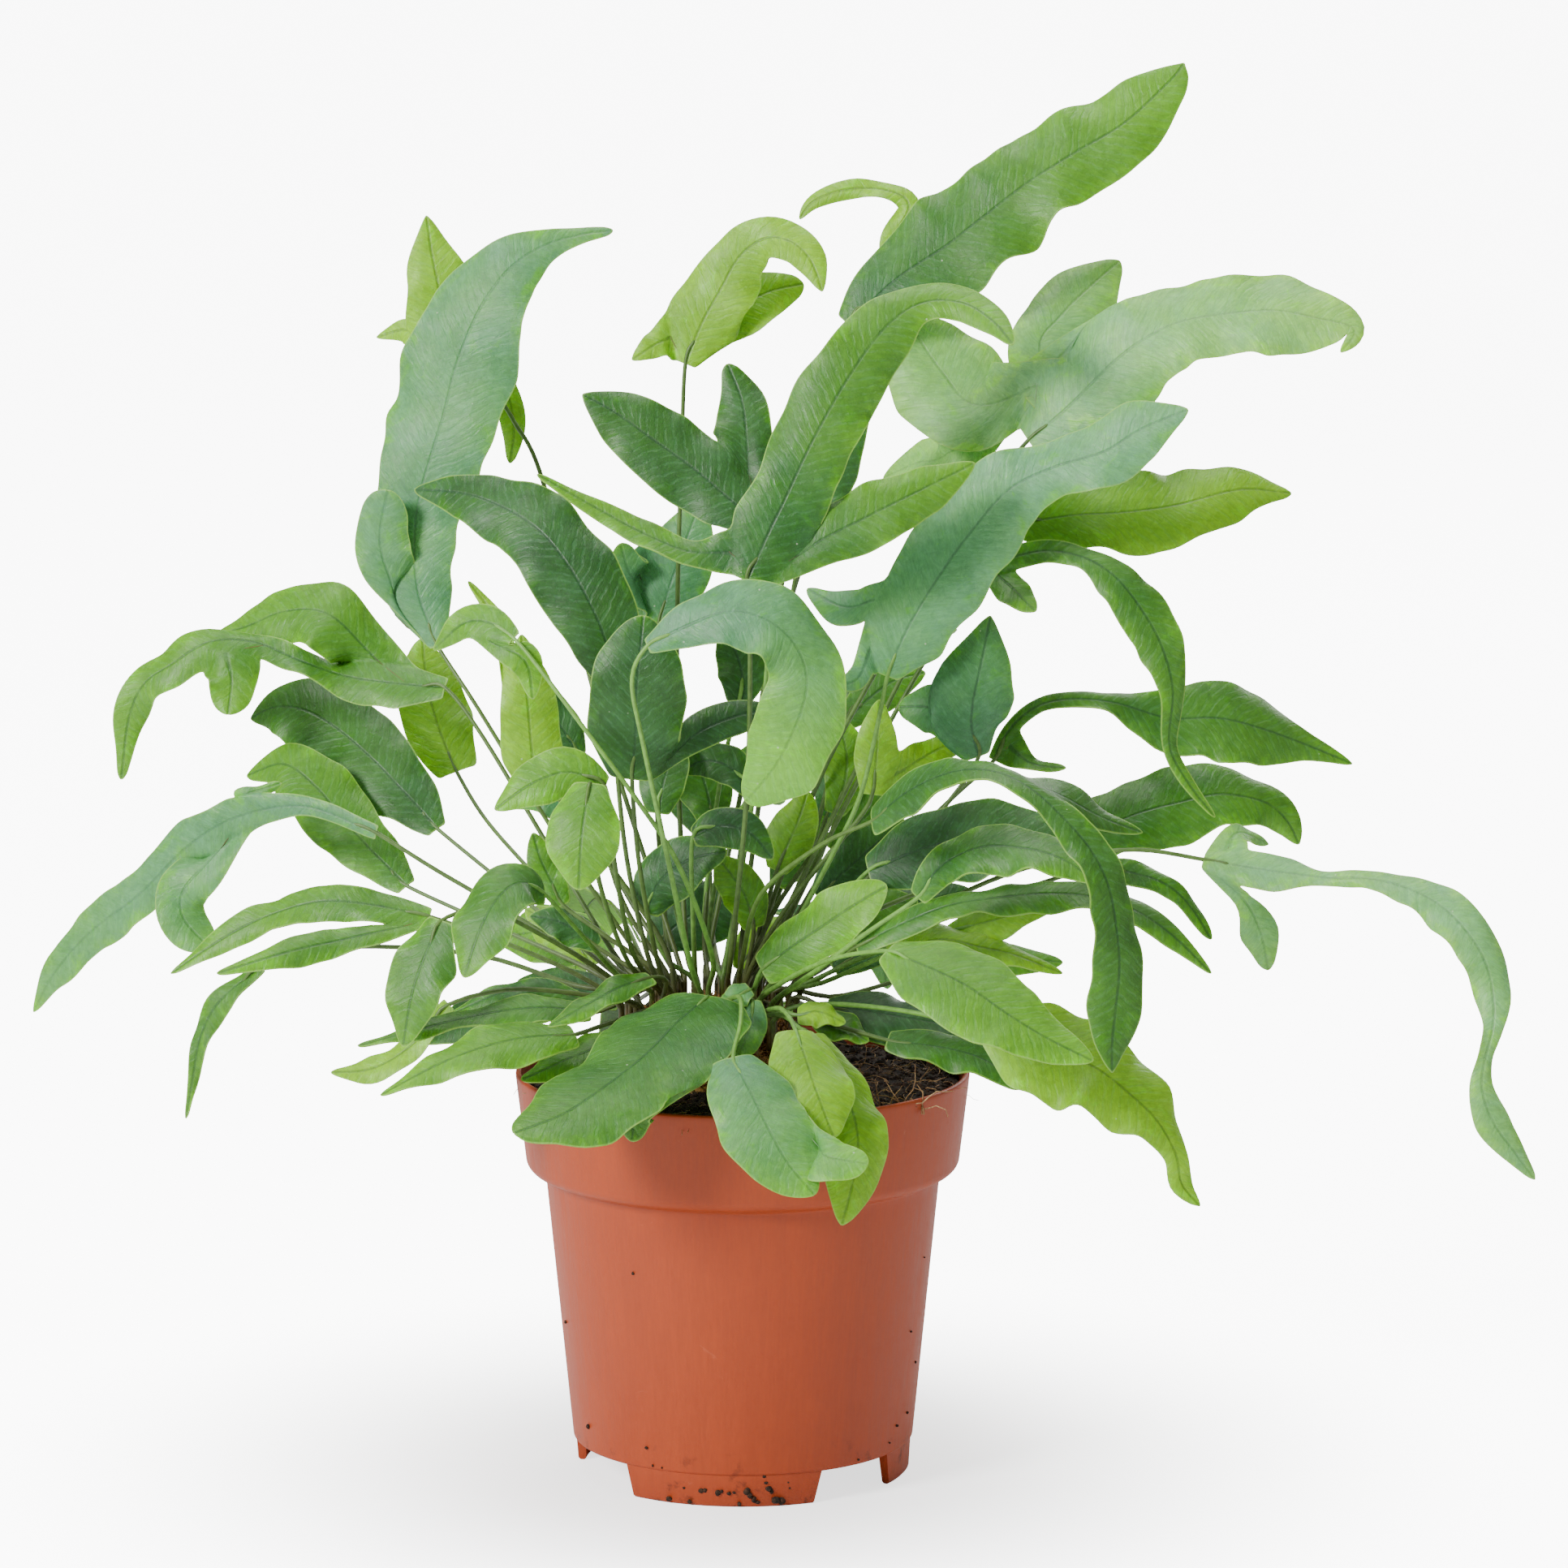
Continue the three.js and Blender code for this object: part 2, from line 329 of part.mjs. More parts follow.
    blade([[-42, 133, -8, 2], [-52, 136, -8, 3.2], [-63, 135, -8, 3], [-77, 129, -8, 0.6]])),
  frond("frond_left_rim_low", "dark", [-20, 45], [-21.5, -16], [[-20, 138, -22]],
    blade([[-24, 139, -27, 2], [-33, 136, -34, 3.2], [-42, 131, -40, 2.8], [-51, 126, -45, 0.6]])),
  frond("frond_left_hanging", "fresh", [-5, 20], [-21, -7], [[-30, 143, -26], [-38, 166, -44],
    [-38, 183, -54]],
    blade([[-40, 190, -60, 4.5], [-41.5, 182, -66, 9], [-42.5, 173, -69, 10.5], [-43, 162, -70, 2]])),
  frond("frond_left_hanging", "fresh", [-5, 35], [-21, -7], [[-29, 146, -27], [-34, 172, -42]],
    blade([[-36, 189, -50, 3], [-45, 193, -50, 6.5], [-55, 190, -51, 6.5], [-65, 183, -52, 1]])),
  frond("frond_pale_long", "fresh", [0, 30], [-9, -9], [[-8, 145, -28], [-17, 169, -46], [-28, 186, -53],
    [-42, 205, -52], [-54, 221, -46]],
    blade([[-60, 228, -42, 2], [-66, 232, -38, 4.5], [-73, 232, -34, 4.5], [-81, 225, -30, 0.8]]),
    lobe([[-62, 230, -42, 3], [-57, 222, -44, 4.5], [-55, 212, -45, 1]])),
  frond("frond_left_inner", "olive", [0, 25], [-18, -2.5], [[-22, 150, -2], [-42, 178, -4],
    [-54, 192, -6]],
    blade([[-54, 186, -6, 3], [-55, 196, -7, 7.5], [-56, 207, -7, 8], [-57, 218, -6, 6], [-58, 229, -4, 1]]),
    lobe([[-58, 222, -6, 2], [-64, 232, -3, 2.2], [-72, 243, 1, 0.6]])),
  frond("frond_back_grey", "blue", [0, 20], [-18, 11], [[-20, 150, 28], [-23, 195, 52], [-22, 222, 60]],
    blade([[-22, 232, 62, 4.5], [-19, 242, 64, 9], [-15, 253, 66, 9], [-11, 264, 67, 2]]),
    lobe([[-25, 236, 62, 4.5], [-29, 244, 60, 6.5], [-32, 253, 58, 2]])),
  frond("frond_inner_low", "dark", [0, 30], [-12.5, 2], [[-20, 144, 0]],
    blade([[-25, 156, 0, 3], [-22, 164, -2, 8], [-14, 170, -5, 7.5], [-4, 172, -8, 1.5]])),
  frond("frond_inner_low", "green", [0, 25], [-12.5, 2], [[-17, 155, 3]],
    blade([[-22, 182, 4, 3], [-21, 189, 5, 6.5], [-19, 196, 7, 6], [-17, 203, 9, 1.5]])),
  frond("frond_inner_low", "dark", [0, 30], [-12.5, 2], [[-13, 155, -9]],
    blade([[-13, 176, -13, 2.5], [-6, 179, -15, 5.5], [2, 177, -17, 5], [8, 170, -18, 1]])),
  frond("frond_inner_right", "olive", [0, 20], [0.5, 2.5], [[12, 158, -6], [30, 180, -10]],
    blade([[34, 187, -11, 3], [35, 195, -11, 5.5], [35.5, 203, -10, 5.5], [36, 212, -9, 1]]),
    lobe([[38, 191, -11, 2.5], [46, 196, -7, 4.5], [54, 200, -3, 3.5], [61, 200, 1, 0.8]])),
  frond("frond_inner_right", "dark", [0, 20], [0.5, 2.5], [[8, 156, 4], [20, 174, 8]],
    blade([[24, 182, 10, 3], [27, 191, 12, 5.5], [27, 200, 14, 5.5], [24, 208, 15, 1]])),
  frond("frond_inner_right", "green", [0, 25], [0.5, 2.5], [[4, 150, 4]],
    blade([[9, 167, 5, 3], [12, 174, 6, 6.5], [15, 181, 7, 6], [17, 188, 9, 1.5]])),
  frond("frond_inner_right", "dark", [0, 25], [0.5, 2.5], [[2, 145, 2]],
    blade([[3, 152, 0, 3], [1, 160, -2, 6.5], [-3, 166, -3, 5.5], [-7, 171, -3, 1]])),
  frond("frond_back_centre", "green", [180, 40], [-7, 20], [[-4, 146, 44], [0, 176, 72]],
    blade([[4, 192, 84, 3], [9, 201, 92, 10], [14, 206, 101, 12], [18, 205, 110, 9], [21, 198, 118, 1]])),
  frond("frond_back_left", "fresh", [150, 45], [-17, 20], [[-24, 140, 42], [-30, 152, 60]],
    blade([[-34, 158, 72, 3], [-38, 160, 82, 9], [-41, 157, 92, 10], [-43, 150, 102, 7.5],
      [-44, 138, 112, 1]])),
  frond("frond_back_right", "blue", [160, 45], [3, 20], [[10, 140, 42], [18, 152, 60]],
    blade([[24, 157, 72, 3], [29, 158, 83, 9.5], [33, 155, 94, 10.5], [36, 148, 104, 7.5],
      [38, 136, 114, 1]])),
  frond("frond_back_left_high", "blue", [200, 30], [-12, 20], [[-16, 150, 44], [-24, 190, 72]],
    blade([[-30, 212, 84, 4.5], [-33, 223, 90, 11], [-35, 234, 96, 12], [-36, 243, 103, 9],
      [-36, 250, 110, 1]])),
  frond("frond_back_right_high", "green", [170, 30], [-2, 20], [[4, 148, 36], [20, 186, 56],
    [34, 216, 70]],
    blade([[41, 228, 76, 4.5], [46, 236, 82, 10], [51, 243, 89, 11.5], [56, 247, 97, 9],
      [61, 247, 106, 1]])),
  frond("frond_back_top", "green", [180, 25], [-5, 15.5], [[-2, 150, 30], [4, 205, 48], [12, 250, 62]],
    blade([[17, 264, 68, 4.5], [20, 274, 74, 10], [23, 284, 81, 10.5], [25, 292, 89, 7.5],
      [26, 297, 98, 1]])),
  frond("frond_back_drop", "dark", [170, 50], [-20, 16], [[-26, 134, 42]],
    blade([[-28, 132, 58, 3], [-29, 130, 70, 9], [-28, 124, 82, 10], [-27, 115, 92, 7.5],
      [-26, 102, 98, 1]])),
  frond("frond_back_drop_right", "fresh", [160, 50], [6, 16], [[12, 134, 40]],
    blade([[16, 132, 56, 3], [19, 131, 68, 9], [22, 126, 80, 10], [24, 117, 91, 7.5], [25, 104, 99, 1]])),
];

function facing([azimuth, height]) {
  const a = THREE.MathUtils.degToRad(azimuth);
  const h = THREE.MathUtils.degToRad(height);
  return new THREE.Vector3(Math.sin(a) * Math.cos(h), -Math.cos(a) * Math.cos(h), Math.sin(h));
}

// A value from a list that is spread evenly from 0 to 1
function along(values, s) {
  if (values.length === 1) return values[0];
  const x = s * (values.length - 1);
  const i = Math.min(Math.floor(x), values.length - 2);
  return values[i] + (values[i + 1] - values[i]) * (x - i);
}

const route = (points) => new THREE.CatmullRomCurve3(points, false, "catmullrom", ROUTE_TENSION);

// The true half width of a blade that is seen this wide, for a blade whose cross direction is side
function trueHalf(seen, side, tangent) {
  const level = new THREE.Vector3().crossVectors(tangent, SIGHT).normalize();
  return seen / Math.max(NARROWEST_VIEW, Math.abs(level.dot(side)));
}

// The rows of three points, left edge, rib and right edge, and last the tip. The first row is not used
// for a lobe, which starts from points on the blade's edge.
function bladeRows(shape, start, toward) {
  const seen = shape.rib.map((p) => p[3]);
  const curve = route([start, ...shape.rib.slice(1).map(place)]);
  const length = curve.getLength();
  const cap = Math.max(TIP_ROW, ROUND_TIP * seen.at(-1));
  const rows = Math.max(FEWEST_ROWS, Math.round(length / ROW_SPACING));
  const [height, count] = shape.wave;
  const made = [];
  for (let i = 0; i <= rows; i++) {
    const s = i === rows ? 1 : (i / (rows - 1)) * (1 - cap / length);
    const centre = curve.getPointAt(s);
    const tangent = curve.getTangentAt(s);
    const flat = new THREE.Vector3().crossVectors(tangent, toward).normalize();
    const out = new THREE.Vector3().crossVectors(flat, tangent);
    const turn = THREE.MathUtils.degToRad(along(shape.turn, s));
    const side = flat.multiplyScalar(Math.cos(turn)).addScaledVector(out, Math.sin(turn));
    const normal = new THREE.Vector3().crossVectors(side, tangent);
    const width = along(seen, curve.getUtoTmapping(s));
    const nearTip = Math.max(0, 1 - ((1 - s) * length) / Math.max(width, TIP_ROW));
    const half = trueHalf(width, side, tangent) * Math.sqrt(1 - nearTip * nearTip);
    const swell = Math.sin(Math.PI * s) * height;
    const edge = (sign) => {
      const phase = WAVE_START + (sign * WAVE_APART) / 2;
      const lift = swell * Math.sin(2 * Math.PI * count * s + phase) - EDGE_DROOP * half;
      return centre.clone().addScaledVector(side, sign * half).addScaledVector(normal, lift);
    };
    made.push(i === rows ? [centre] : [edge(-1), centre, edge(1)]);
  }
  return { made, curve };
}

// The blade and its side lobes as one sheet: points, and faces that share them
function sheetOf({ main, lobes, faces }) {
  const toward = facing(faces);
  const points = [];
  const quads = [];
  const add = (row) => row.map((p) => points.push(p) - 1);
  const knit = (near, far) => {
    for (let c = 0; c < 2; c++)
      if (far.length === 1) quads.push([near[c], near[c + 1], far[0]]);
      else quads.push([near[c], near[c + 1], far[c + 1], far[c]]);
  };
  // A narrow lobe grows from one piece of the blade's edge, and a wide one from two
  const knitRoot = (root, far) => {
    if (root.length === 3) knit(root, far);
    else quads.push([root[0], far[1], far[0]], [root[0], root[1], far[1]], [root[1], far[2], far[1]]);
  };
  const { made, curve } = bladeRows(main, place(main.rib[0]), toward);
  const grid = made.map(add);
  for (let i = 1; i < grid.length; i++) knit(grid[i - 1], grid[i]);
  const taken = new Set();
  for (const side of lobes) {
    const first = place(side.rib[0]);
    const pieces = side.rib[1][3] >= WIDE_LOBE ? 2 : 1;
    let best = null;
    for (const column of [0, 2])
      for (let i = 0; i + pieces < grid.length - 1; i++) {
        const rows = Array.from({ length: pieces + 1 }, (_, k) => i + k);
        if (rows.slice(0, -1).some((k) => taken.has(column + ":" + k))) continue;
        const far = points[grid[i + pieces][column]];
        const middle = points[grid[i][column]].clone().add(far).multiplyScalar(0.5);
        const distance = middle.distanceTo(first);
        if (!best || distance < best.distance) best = { distance, column, rows, middle };
      }
    const { column, rows, middle } = best;
    rows.slice(0, -1).forEach((k) => taken.add(column + ":" + k));
    const root = (column === 0 ? rows : rows.reverse()).map((k) => grid[k][column]);
    const grown = bladeRows(side, middle, toward).made.slice(1).map(add);
    knitRoot(root, grown[0]);
    for (let i = 1; i < grown.length; i++) knit(grown[i - 1], grown[i]);
  }
  return { points, quads, curve };
}

// A sheet thickened to a closed solid, split into triangles alike on both faces
function thicken({ points, quads }) {
  const triangles = quads.flatMap(([a, b, c, d]) =>
    d === undefined ? [[a, b, c]] : [[a, b, c], [a, c, d]],
  );
  const normals = points.map(() => new THREE.Vector3());
  for (const [a, b, c] of triangles) {
    const ab = points[b].clone().sub(points[a]);
    const ac = points[c].clone().sub(points[a]);
    const normal = ab.cross(ac);
    for (const v of [a, b, c]) normals[v].add(normal);
  }
  const shifted = (distance) =>
    points.map((p, i) => p.clone().addScaledVector(normals[i].clone().normalize(), distance));
  const all = [...shifted(BLADE_THICKNESS / 2), ...shifted(-BLADE_THICKNESS / 2)];
  const n = points.length;
  const edges = new Map();
  const faces = [];
  for (const [a, b, c] of triangles) {
    faces.push([a, b, c], [a + n, c + n, b + n]);
    for (const [p, q] of [[a, b], [b, c], [c, a]]) edges.set(p + ":" + q, [p, q]);
  }
  for (const [p, q] of edges.values())
    if (!edges.has(q + ":" + p)) faces.push([q, p, p + n], [q, p + n, q + n]);
  return solidFrom(all.flatMap((p) => [p.x, p.y, p.z]), faces.flat());
}

function solidFrom(positions, indices) {
  return new wasm.Manifold(
    new wasm.Mesh({
      numProp: 3,
      vertProperties: new Float32Array(positions),
      triVerts: new Uint32Array(indices),
    }),
  );
}

// A three.js geometry as a solid that can be joined and cut
function solidOf(geometry) {
  const bare = geometry.clone();
  bare.deleteAttribute("normal");
  bare.deleteAttribute("uv");
  const merged = mergeVertices(bare, SAME_POINT);
  return solidFrom(merged.getAttribute("position").array, merged.index.array);
}

function geometryOf(solid) {
  const mesh = solid.getMesh();
  const positions = new Float32Array(mesh.numVert * 3);
  for (let i = 0; i < mesh.numVert; i++)
    positions.set(mesh.vertProperties.subarray(i * mesh.numProp, i * mesh.numProp + 3), i * 3);
  const geometry = new THREE.BufferGeometry();
  geometry.setAttribute("position", new THREE.BufferAttribute(positions, 3));
  geometry.setIndex(new THREE.BufferAttribute(mesh.triVerts, 1));
  geometry.computeVertexNormals();
  return geometry;
}

const unionOf = (solids) => solids.reduce((sum, solid) => sum.add(solid));

// Fronds from one root as one body, with any hollow that they seal filled
function fuse(solids) {
  const pieces = unionOf(solids).simplify(SHORTEST_EDGE).decompose();
  return pieces.reduce((largest, piece) => (piece.volume() > largest.volume() ? piece : largest));
}

// The rhizome's mound, higher towards its middle
function crownHeight(x, y) {
  const share = Math.min(1, Math.hypot(x - CROWN_ACROSS, y) / CROWN_RADIUS);
  return SOIL_TOP + CLEARANCE + CROWN_FOOT + CROWN_RISE * Math.sqrt(1 - share * share);
}

// A closed tube of few sides round a run of centres
function tubeSolid(centres, radius, sides) {
  const positions = [];
  const indices = [];
  let across = new THREE.Vector3(1, 0, 0);
  centres.forEach((centre, i) => {
    const before = centres[Math.max(0, i - 1)];
    const after = centres[Math.min(centres.length - 1, i + 1)];
    const tangent = after.clone().sub(before).normalize();
    across = across.clone().addScaledVector(tangent, -across.dot(tangent)).normalize();
    const other = new THREE.Vector3().crossVectors(tangent, across);
    for (let k = 0; k < sides; k++) {
      const angle = (2 * Math.PI * k) / sides;
      const p = centre.clone().addScaledVector(across, radius * Math.cos(angle));
      p.addScaledVector(other, radius * Math.sin(angle));
      positions.push(p.x, p.y, p.z);
    }
  });
  const last = (centres.length - 1) * sides;
  for (let k = 0; k < sides; k++) {
    const next = (k + 1) % sides;
    for (let i = 0; i < last; i += sides)
      indices.push(i + k, i + next, i + sides + next, i + k, i + sides + next, i + sides + k);
    if (k > 0 && k < sides - 1) indices.push(0, k + 1, k, last, last + k, last + k + 1);
  }
  return solidFrom(positions, indices);
}

// A stipe runs straight up out of its hole, along its points and a little way along the blade's rib
function stipeSolid({ root: [x, y], stipe, main }, rib) {
  const height = crownHeight(x, y);
  const foot = new THREE.Vector3(x, y, height - HOLE_DEPTH + CLEARANCE);
  const bend = new THREE.Vector3(x, y, height + STIPE_UPRIGHT);
  const sunk = rib.getPointAt(Math.min(STIPE_SHARE, STIPE_IN_BLADE / rib.getLength()));
  const through = [foot, bend, ...stipe.map(place), place(main.rib[0]), sunk];
  const rise = route(through);
  const spans = through.length - 1;
  const centres = [foot, bend];
  for (let i = 1; i < spans; i++) {
    const near = rise.getPoint(i / spans);
    const far = rise.getPoint((i + 1) / spans);
    const pieces = Math.max(1, Math.round(near.distanceTo(far) / STIPE_STEP));
    for (let k = 1; k <= pieces; k++) centres.push(rise.getPoint((i + k / pieces) / spans));
  }
  return tubeSolid(centres, STIPE_RADIUS, STIPE_SIDES);
}

function frondSolid(spec) {
  const sheet = sheetOf(spec);
  return thicken(sheet).add(stipeSolid(spec, sheet.curve));
}

function holes() {
  const hole = new THREE.CylinderGeometry(HOLE_RADIUS, HOLE_RADIUS, HOLE_REACH, HOLE_SIDES);
  hole.rotateX(Math.PI / 2);
  const roots = new Map(FRONDS.map((f) => [f.root.join(), f.root]));
  const cutters = [...roots.values()].map(([x, y]) => {
    const middle = crownHeight(x, y) - HOLE_DEPTH + HOLE_REACH / 2;
    return solidOf(hole.clone().translate(x, y, middle));
  });
  return unionOf(cutters);
}

// Creeping rhizomes over the mound, each a run of points across the pot and a radius
const RHIZOMES = [
  [[[-30, 12], [-24, 2], [-15, -9], [-6, -17], [2, -21]], 4.6],
  [[[10, 14], [2, 8], [-8, 3], [-17, 3], [-26, -4]], 5],
  [[[12, -10], [4, -4], [-4, -9], [-13, -15], [-20, -17]], 4.4],
  [[[-20, 18], [-12, 12], [-3, 10], [6, 3], [13, 2]], 4.8],
];

function rhizomeSolid() {
  const mound = new THREE.SphereGeometry(CROWN_RADIUS, CROWN_SIDES, CROWN_RINGS);
  mound.scale(1, 1, (CROWN_RISE + CROWN_FOOT) / CROWN_RADIUS);
  mound.translate(CROWN_ACROSS, 0, SOIL_TOP + CLEARANCE);
  const creeping = RHIZOMES.map(([points, radius]) => {
    const lying = points.map(([x, y]) => new THREE.Vector3(x, y, crownHeight(x, y) - RHIZOME_SINK));
    return tubeSolid(route(lying).getPoints(RHIZOME_PIECES), radius, RHIZOME_SIDES);
  });
  const size = 4 * CROWN_RADIUS;
  const above = new THREE.BoxGeometry(size, size, size);
  above.translate(0, 0, SOIL_TOP + CLEARANCE + size / 2);
  return unionOf([solidOf(mound), ...creeping]).intersect(solidOf(above)).subtract(holes());
}

// A profile of radii and heights turned about the pot's axis
function lathe(profile) {
  const outline = profile.map(([r, z]) => new THREE.Vector2(r, z));
  return solidOf(new THREE.LatheGeometry(outline, POT_SEGMENTS).rotateX(Math.PI / 2));
}

// The radius inside the wall at a height, for the pot's body and for its collar
const { mapLinear } = THREE.MathUtils;
const bodyInside = (z) =>
  mapLinear(z, FOOT_HEIGHT, BODY_TOP, BODY_FOOT_RADIUS, BODY_TOP_RADIUS) - POT_WALL;
const collarInside = (z) =>
  mapLinear(z, COLLAR_BOTTOM, POT_HEIGHT, COLLAR_FOOT_RADIUS, RIM_RADIUS) - POT_WALL;

// The rim's rounded top, from the outside over to the inside
function rimRound() {
  const radius = POT_WALL / 2;
  return Array.from({ length: RIM_PIECES + 1 }, (_, i) => {
    const angle = (Math.PI * i) / RIM_PIECES;
    return [RIM_RADIUS - radius + radius * Math.cos(angle), POT_HEIGHT - radius + radius * Math.sin(angle)];
  });
}

function potShell() {
  return lathe([
    [0, FOOT_HEIGHT],
    [BODY_FOOT_RADIUS - POT_EDGE, FOOT_HEIGHT],
    [BODY_FOOT_RADIUS, FOOT_HEIGHT + POT_EDGE],
    [BODY_TOP_RADIUS, BODY_TOP],
    [COLLAR_FOOT_RADIUS - COLLAR_FLARE, BODY_TOP + POT_EDGE],
    [COLLAR_FOOT_RADIUS - POT_EDGE, COLLAR_BOTTOM - COLLAR_FLARE],
    [COLLAR_FOOT_RADIUS, COLLAR_BOTTOM],
    ...rimRound(),
    [COLLAR_FOOT_RADIUS - POT_WALL, COLLAR_BOTTOM + POT_STEP],
    [bodyInside(BODY_TOP), BODY_TOP + POT_STEP],
    [bodyInside(FOOT_HEIGHT + FLOOR), FOOT_HEIGHT + FLOOR],
    [0, FOOT_HEIGHT + FLOOR],
  ]);
}

function drainHoles() {
  const drain = new THREE.CylinderGeometry(DRAIN_RADIUS, DRAIN_RADIUS, 4 * FLOOR, DRAIN_SIDES);
  drain.rotateX(Math.PI / 2).translate(DRAIN_CIRCLE, 0, FOOT_HEIGHT);
  const turned = (i) => drain.clone().rotateZ((2 * Math.PI * i) / DRAIN_COUNT);
  return unionOf(Array.from({ length: DRAIN_COUNT }, (_, i) => solidOf(turned(i))));
}

// A ring that the pot stands on, cut by the gaps
function footRing() {
  const inner = FOOT_RADIUS - FOOT_WALL;
  const ring = lathe([
    [inner, 0],
    [FOOT_RADIUS, 0],
    [FOOT_RADIUS + FOOT_FLARE, FOOT_HEIGHT + POT_EDGE],
    [inner, FOOT_HEIGHT + POT_EDGE],
    [inner, 0],
  ]);
  const at = (degrees) => {
    const angle = THREE.MathUtils.degToRad(degrees);
    return [2 * FOOT_RADIUS * Math.sin(angle), -2 * FOOT_RADIUS * Math.cos(angle)];
  };
  const gaps = FOOT_GAPS.map(([from, to]) => {
    const wedge = new THREE.Shape();
    wedge.moveTo(0, 0);
    for (const degrees of [from, (from + to) / 2, to]) wedge.lineTo(...at(degrees));
    const cut = new THREE.ExtrudeGeometry(wedge, { depth: 2 * FOOT_HEIGHT, bevelEnabled: false });
    return solidOf(cut.translate(0, 0, -FOOT_HEIGHT));
  });
  return ring.subtract(unionOf(gaps));
}

// The soil fills the pot to near its rim, a little clear of the wall, and lies level under the rhizome
function soilSolid() {
  const bottom = FOOT_HEIGHT + FLOOR + CLEARANCE;
  const clear = CLEARANCE / Math.cos(Math.PI / POT_SEGMENTS);
  const step = POT_STEP + CLEARANCE;
  return lathe([
    [0, bottom],
    [bodyInside(bottom) - clear, bottom],
    [bodyInside(BODY_TOP) - clear, BODY_TOP + POT_STEP],
    [COLLAR_FOOT_RADIUS - POT_WALL - clear, COLLAR_BOTTOM + step],
    [collarInside(SOIL_EDGE) - clear, SOIL_EDGE],
    [SOIL_SHOULDER, SOIL_TOP - SOIL_DROP],
    [SOIL_FLAT, SOIL_TOP],
    [0, SOIL_TOP],
  ]);
}

const part = new THREE.Group();

function add(name, solid, color, roughness) {
  const mesh = new THREE.Mesh(geometryOf(solid), new THREE.MeshStandardMaterial({ color, roughness }));
  mesh.name = name;
  part.add(mesh);
}

add("nursery_pot", potShell().subtract(drainHoles()).add(footRing()), TERRACOTTA, SATIN);
add("potting_soil", soilSolid(), PEAT, ROUGH);
add("rhizome", rhizomeSolid(), GOLDEN_BROWN, ROUGH);
for (const name of new Set(FRONDS.map((f) => f.name))) {
  const own = FRONDS.filter((f) => f.name === name);
  add(name, fuse(own.map(frondSolid)), GREENS[own[0].green], WAXY);
}

export default part;
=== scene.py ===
# A potted blue star fern: the finish of the terracotta-coloured nursery pot, its peat, the furry rhizome
# and the fronds. Places are worked out in millimetres, as the part is drawn, and meshes are in metres.
import math
import bpy
import bmesh
import numpy as np
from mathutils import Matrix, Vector, noise
from mathutils.bvhtree import BVHTree

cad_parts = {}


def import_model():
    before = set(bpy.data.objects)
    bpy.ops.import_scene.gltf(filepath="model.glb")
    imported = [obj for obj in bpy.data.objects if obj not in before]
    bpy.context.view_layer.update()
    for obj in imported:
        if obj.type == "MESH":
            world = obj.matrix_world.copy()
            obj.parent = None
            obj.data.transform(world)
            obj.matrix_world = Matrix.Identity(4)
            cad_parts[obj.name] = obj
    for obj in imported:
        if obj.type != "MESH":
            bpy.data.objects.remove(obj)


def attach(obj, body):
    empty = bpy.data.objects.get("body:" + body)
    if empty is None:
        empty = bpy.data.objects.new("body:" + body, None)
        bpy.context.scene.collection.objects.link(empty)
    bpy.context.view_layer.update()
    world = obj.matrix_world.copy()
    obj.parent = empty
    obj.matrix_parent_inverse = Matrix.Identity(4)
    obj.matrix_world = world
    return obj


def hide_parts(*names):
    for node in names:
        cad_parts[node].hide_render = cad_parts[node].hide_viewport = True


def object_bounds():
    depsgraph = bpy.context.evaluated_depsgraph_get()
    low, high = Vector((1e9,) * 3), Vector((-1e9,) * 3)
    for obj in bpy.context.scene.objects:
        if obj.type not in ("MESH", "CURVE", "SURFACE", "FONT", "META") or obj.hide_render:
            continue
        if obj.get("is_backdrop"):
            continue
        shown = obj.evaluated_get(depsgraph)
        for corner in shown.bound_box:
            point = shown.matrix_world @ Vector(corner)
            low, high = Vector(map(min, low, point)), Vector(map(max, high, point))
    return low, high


MM = 0.001

# The pot, as in the part
RIM_RADIUS = 60
POT_HEIGHT = 107.5
COLLAR_BOTTOM = 86
COLLAR_FOOT_RADIUS = 57.4
BODY_TOP = 80
BODY_TOP_RADIUS = 52.2
BODY_FOOT_RADIUS = 45.2
POT_WALL = 1.5
POT_STEP = 1.2
FLOOR = 2
FOOT_HEIGHT = 8.5
FOOT_RADIUS = 44.2
FOOT_WALL = 2.1
FOOT_GAPS = [[28, 58], [126, 154], [198, 227], [268, 317]]
FOOT_SLOPE = 3
DRAIN_COUNT = 6
DRAIN_RADIUS = 4
DRAIN_CIRCLE = 30
DRAIN_SIDES = 24
POT_SEGMENTS = 180

# The soil and the rhizome, as in the part
SOIL_EDGE = 103.5
SOIL_TOP = 107
SOIL_RADIUS = 57.6
CROWN_ACROSS = -8
CROWN_RADIUS = 27
CROWN_FOOT = 2
CROWN_RISE = 12
CLEARANCE = 0.3
HOLE_DEPTH = 6
RHIZOME_SINK = 1

# The fronds, as in the part
STIPE_UPRIGHT = 9
STIPE_IN_BLADE = 7
STIPE_SHARE = 0.4
ROW_SPACING = 9.6
FEWEST_ROWS = 3
TIP_ROW = 2.5
ROUND_TIP = 0.35
WIDE_LOBE = 6
EDGE_DROOP = 0.14
WAVE_START = 1
WAVE_APART = 4
NARROWEST_VIEW = 0.4

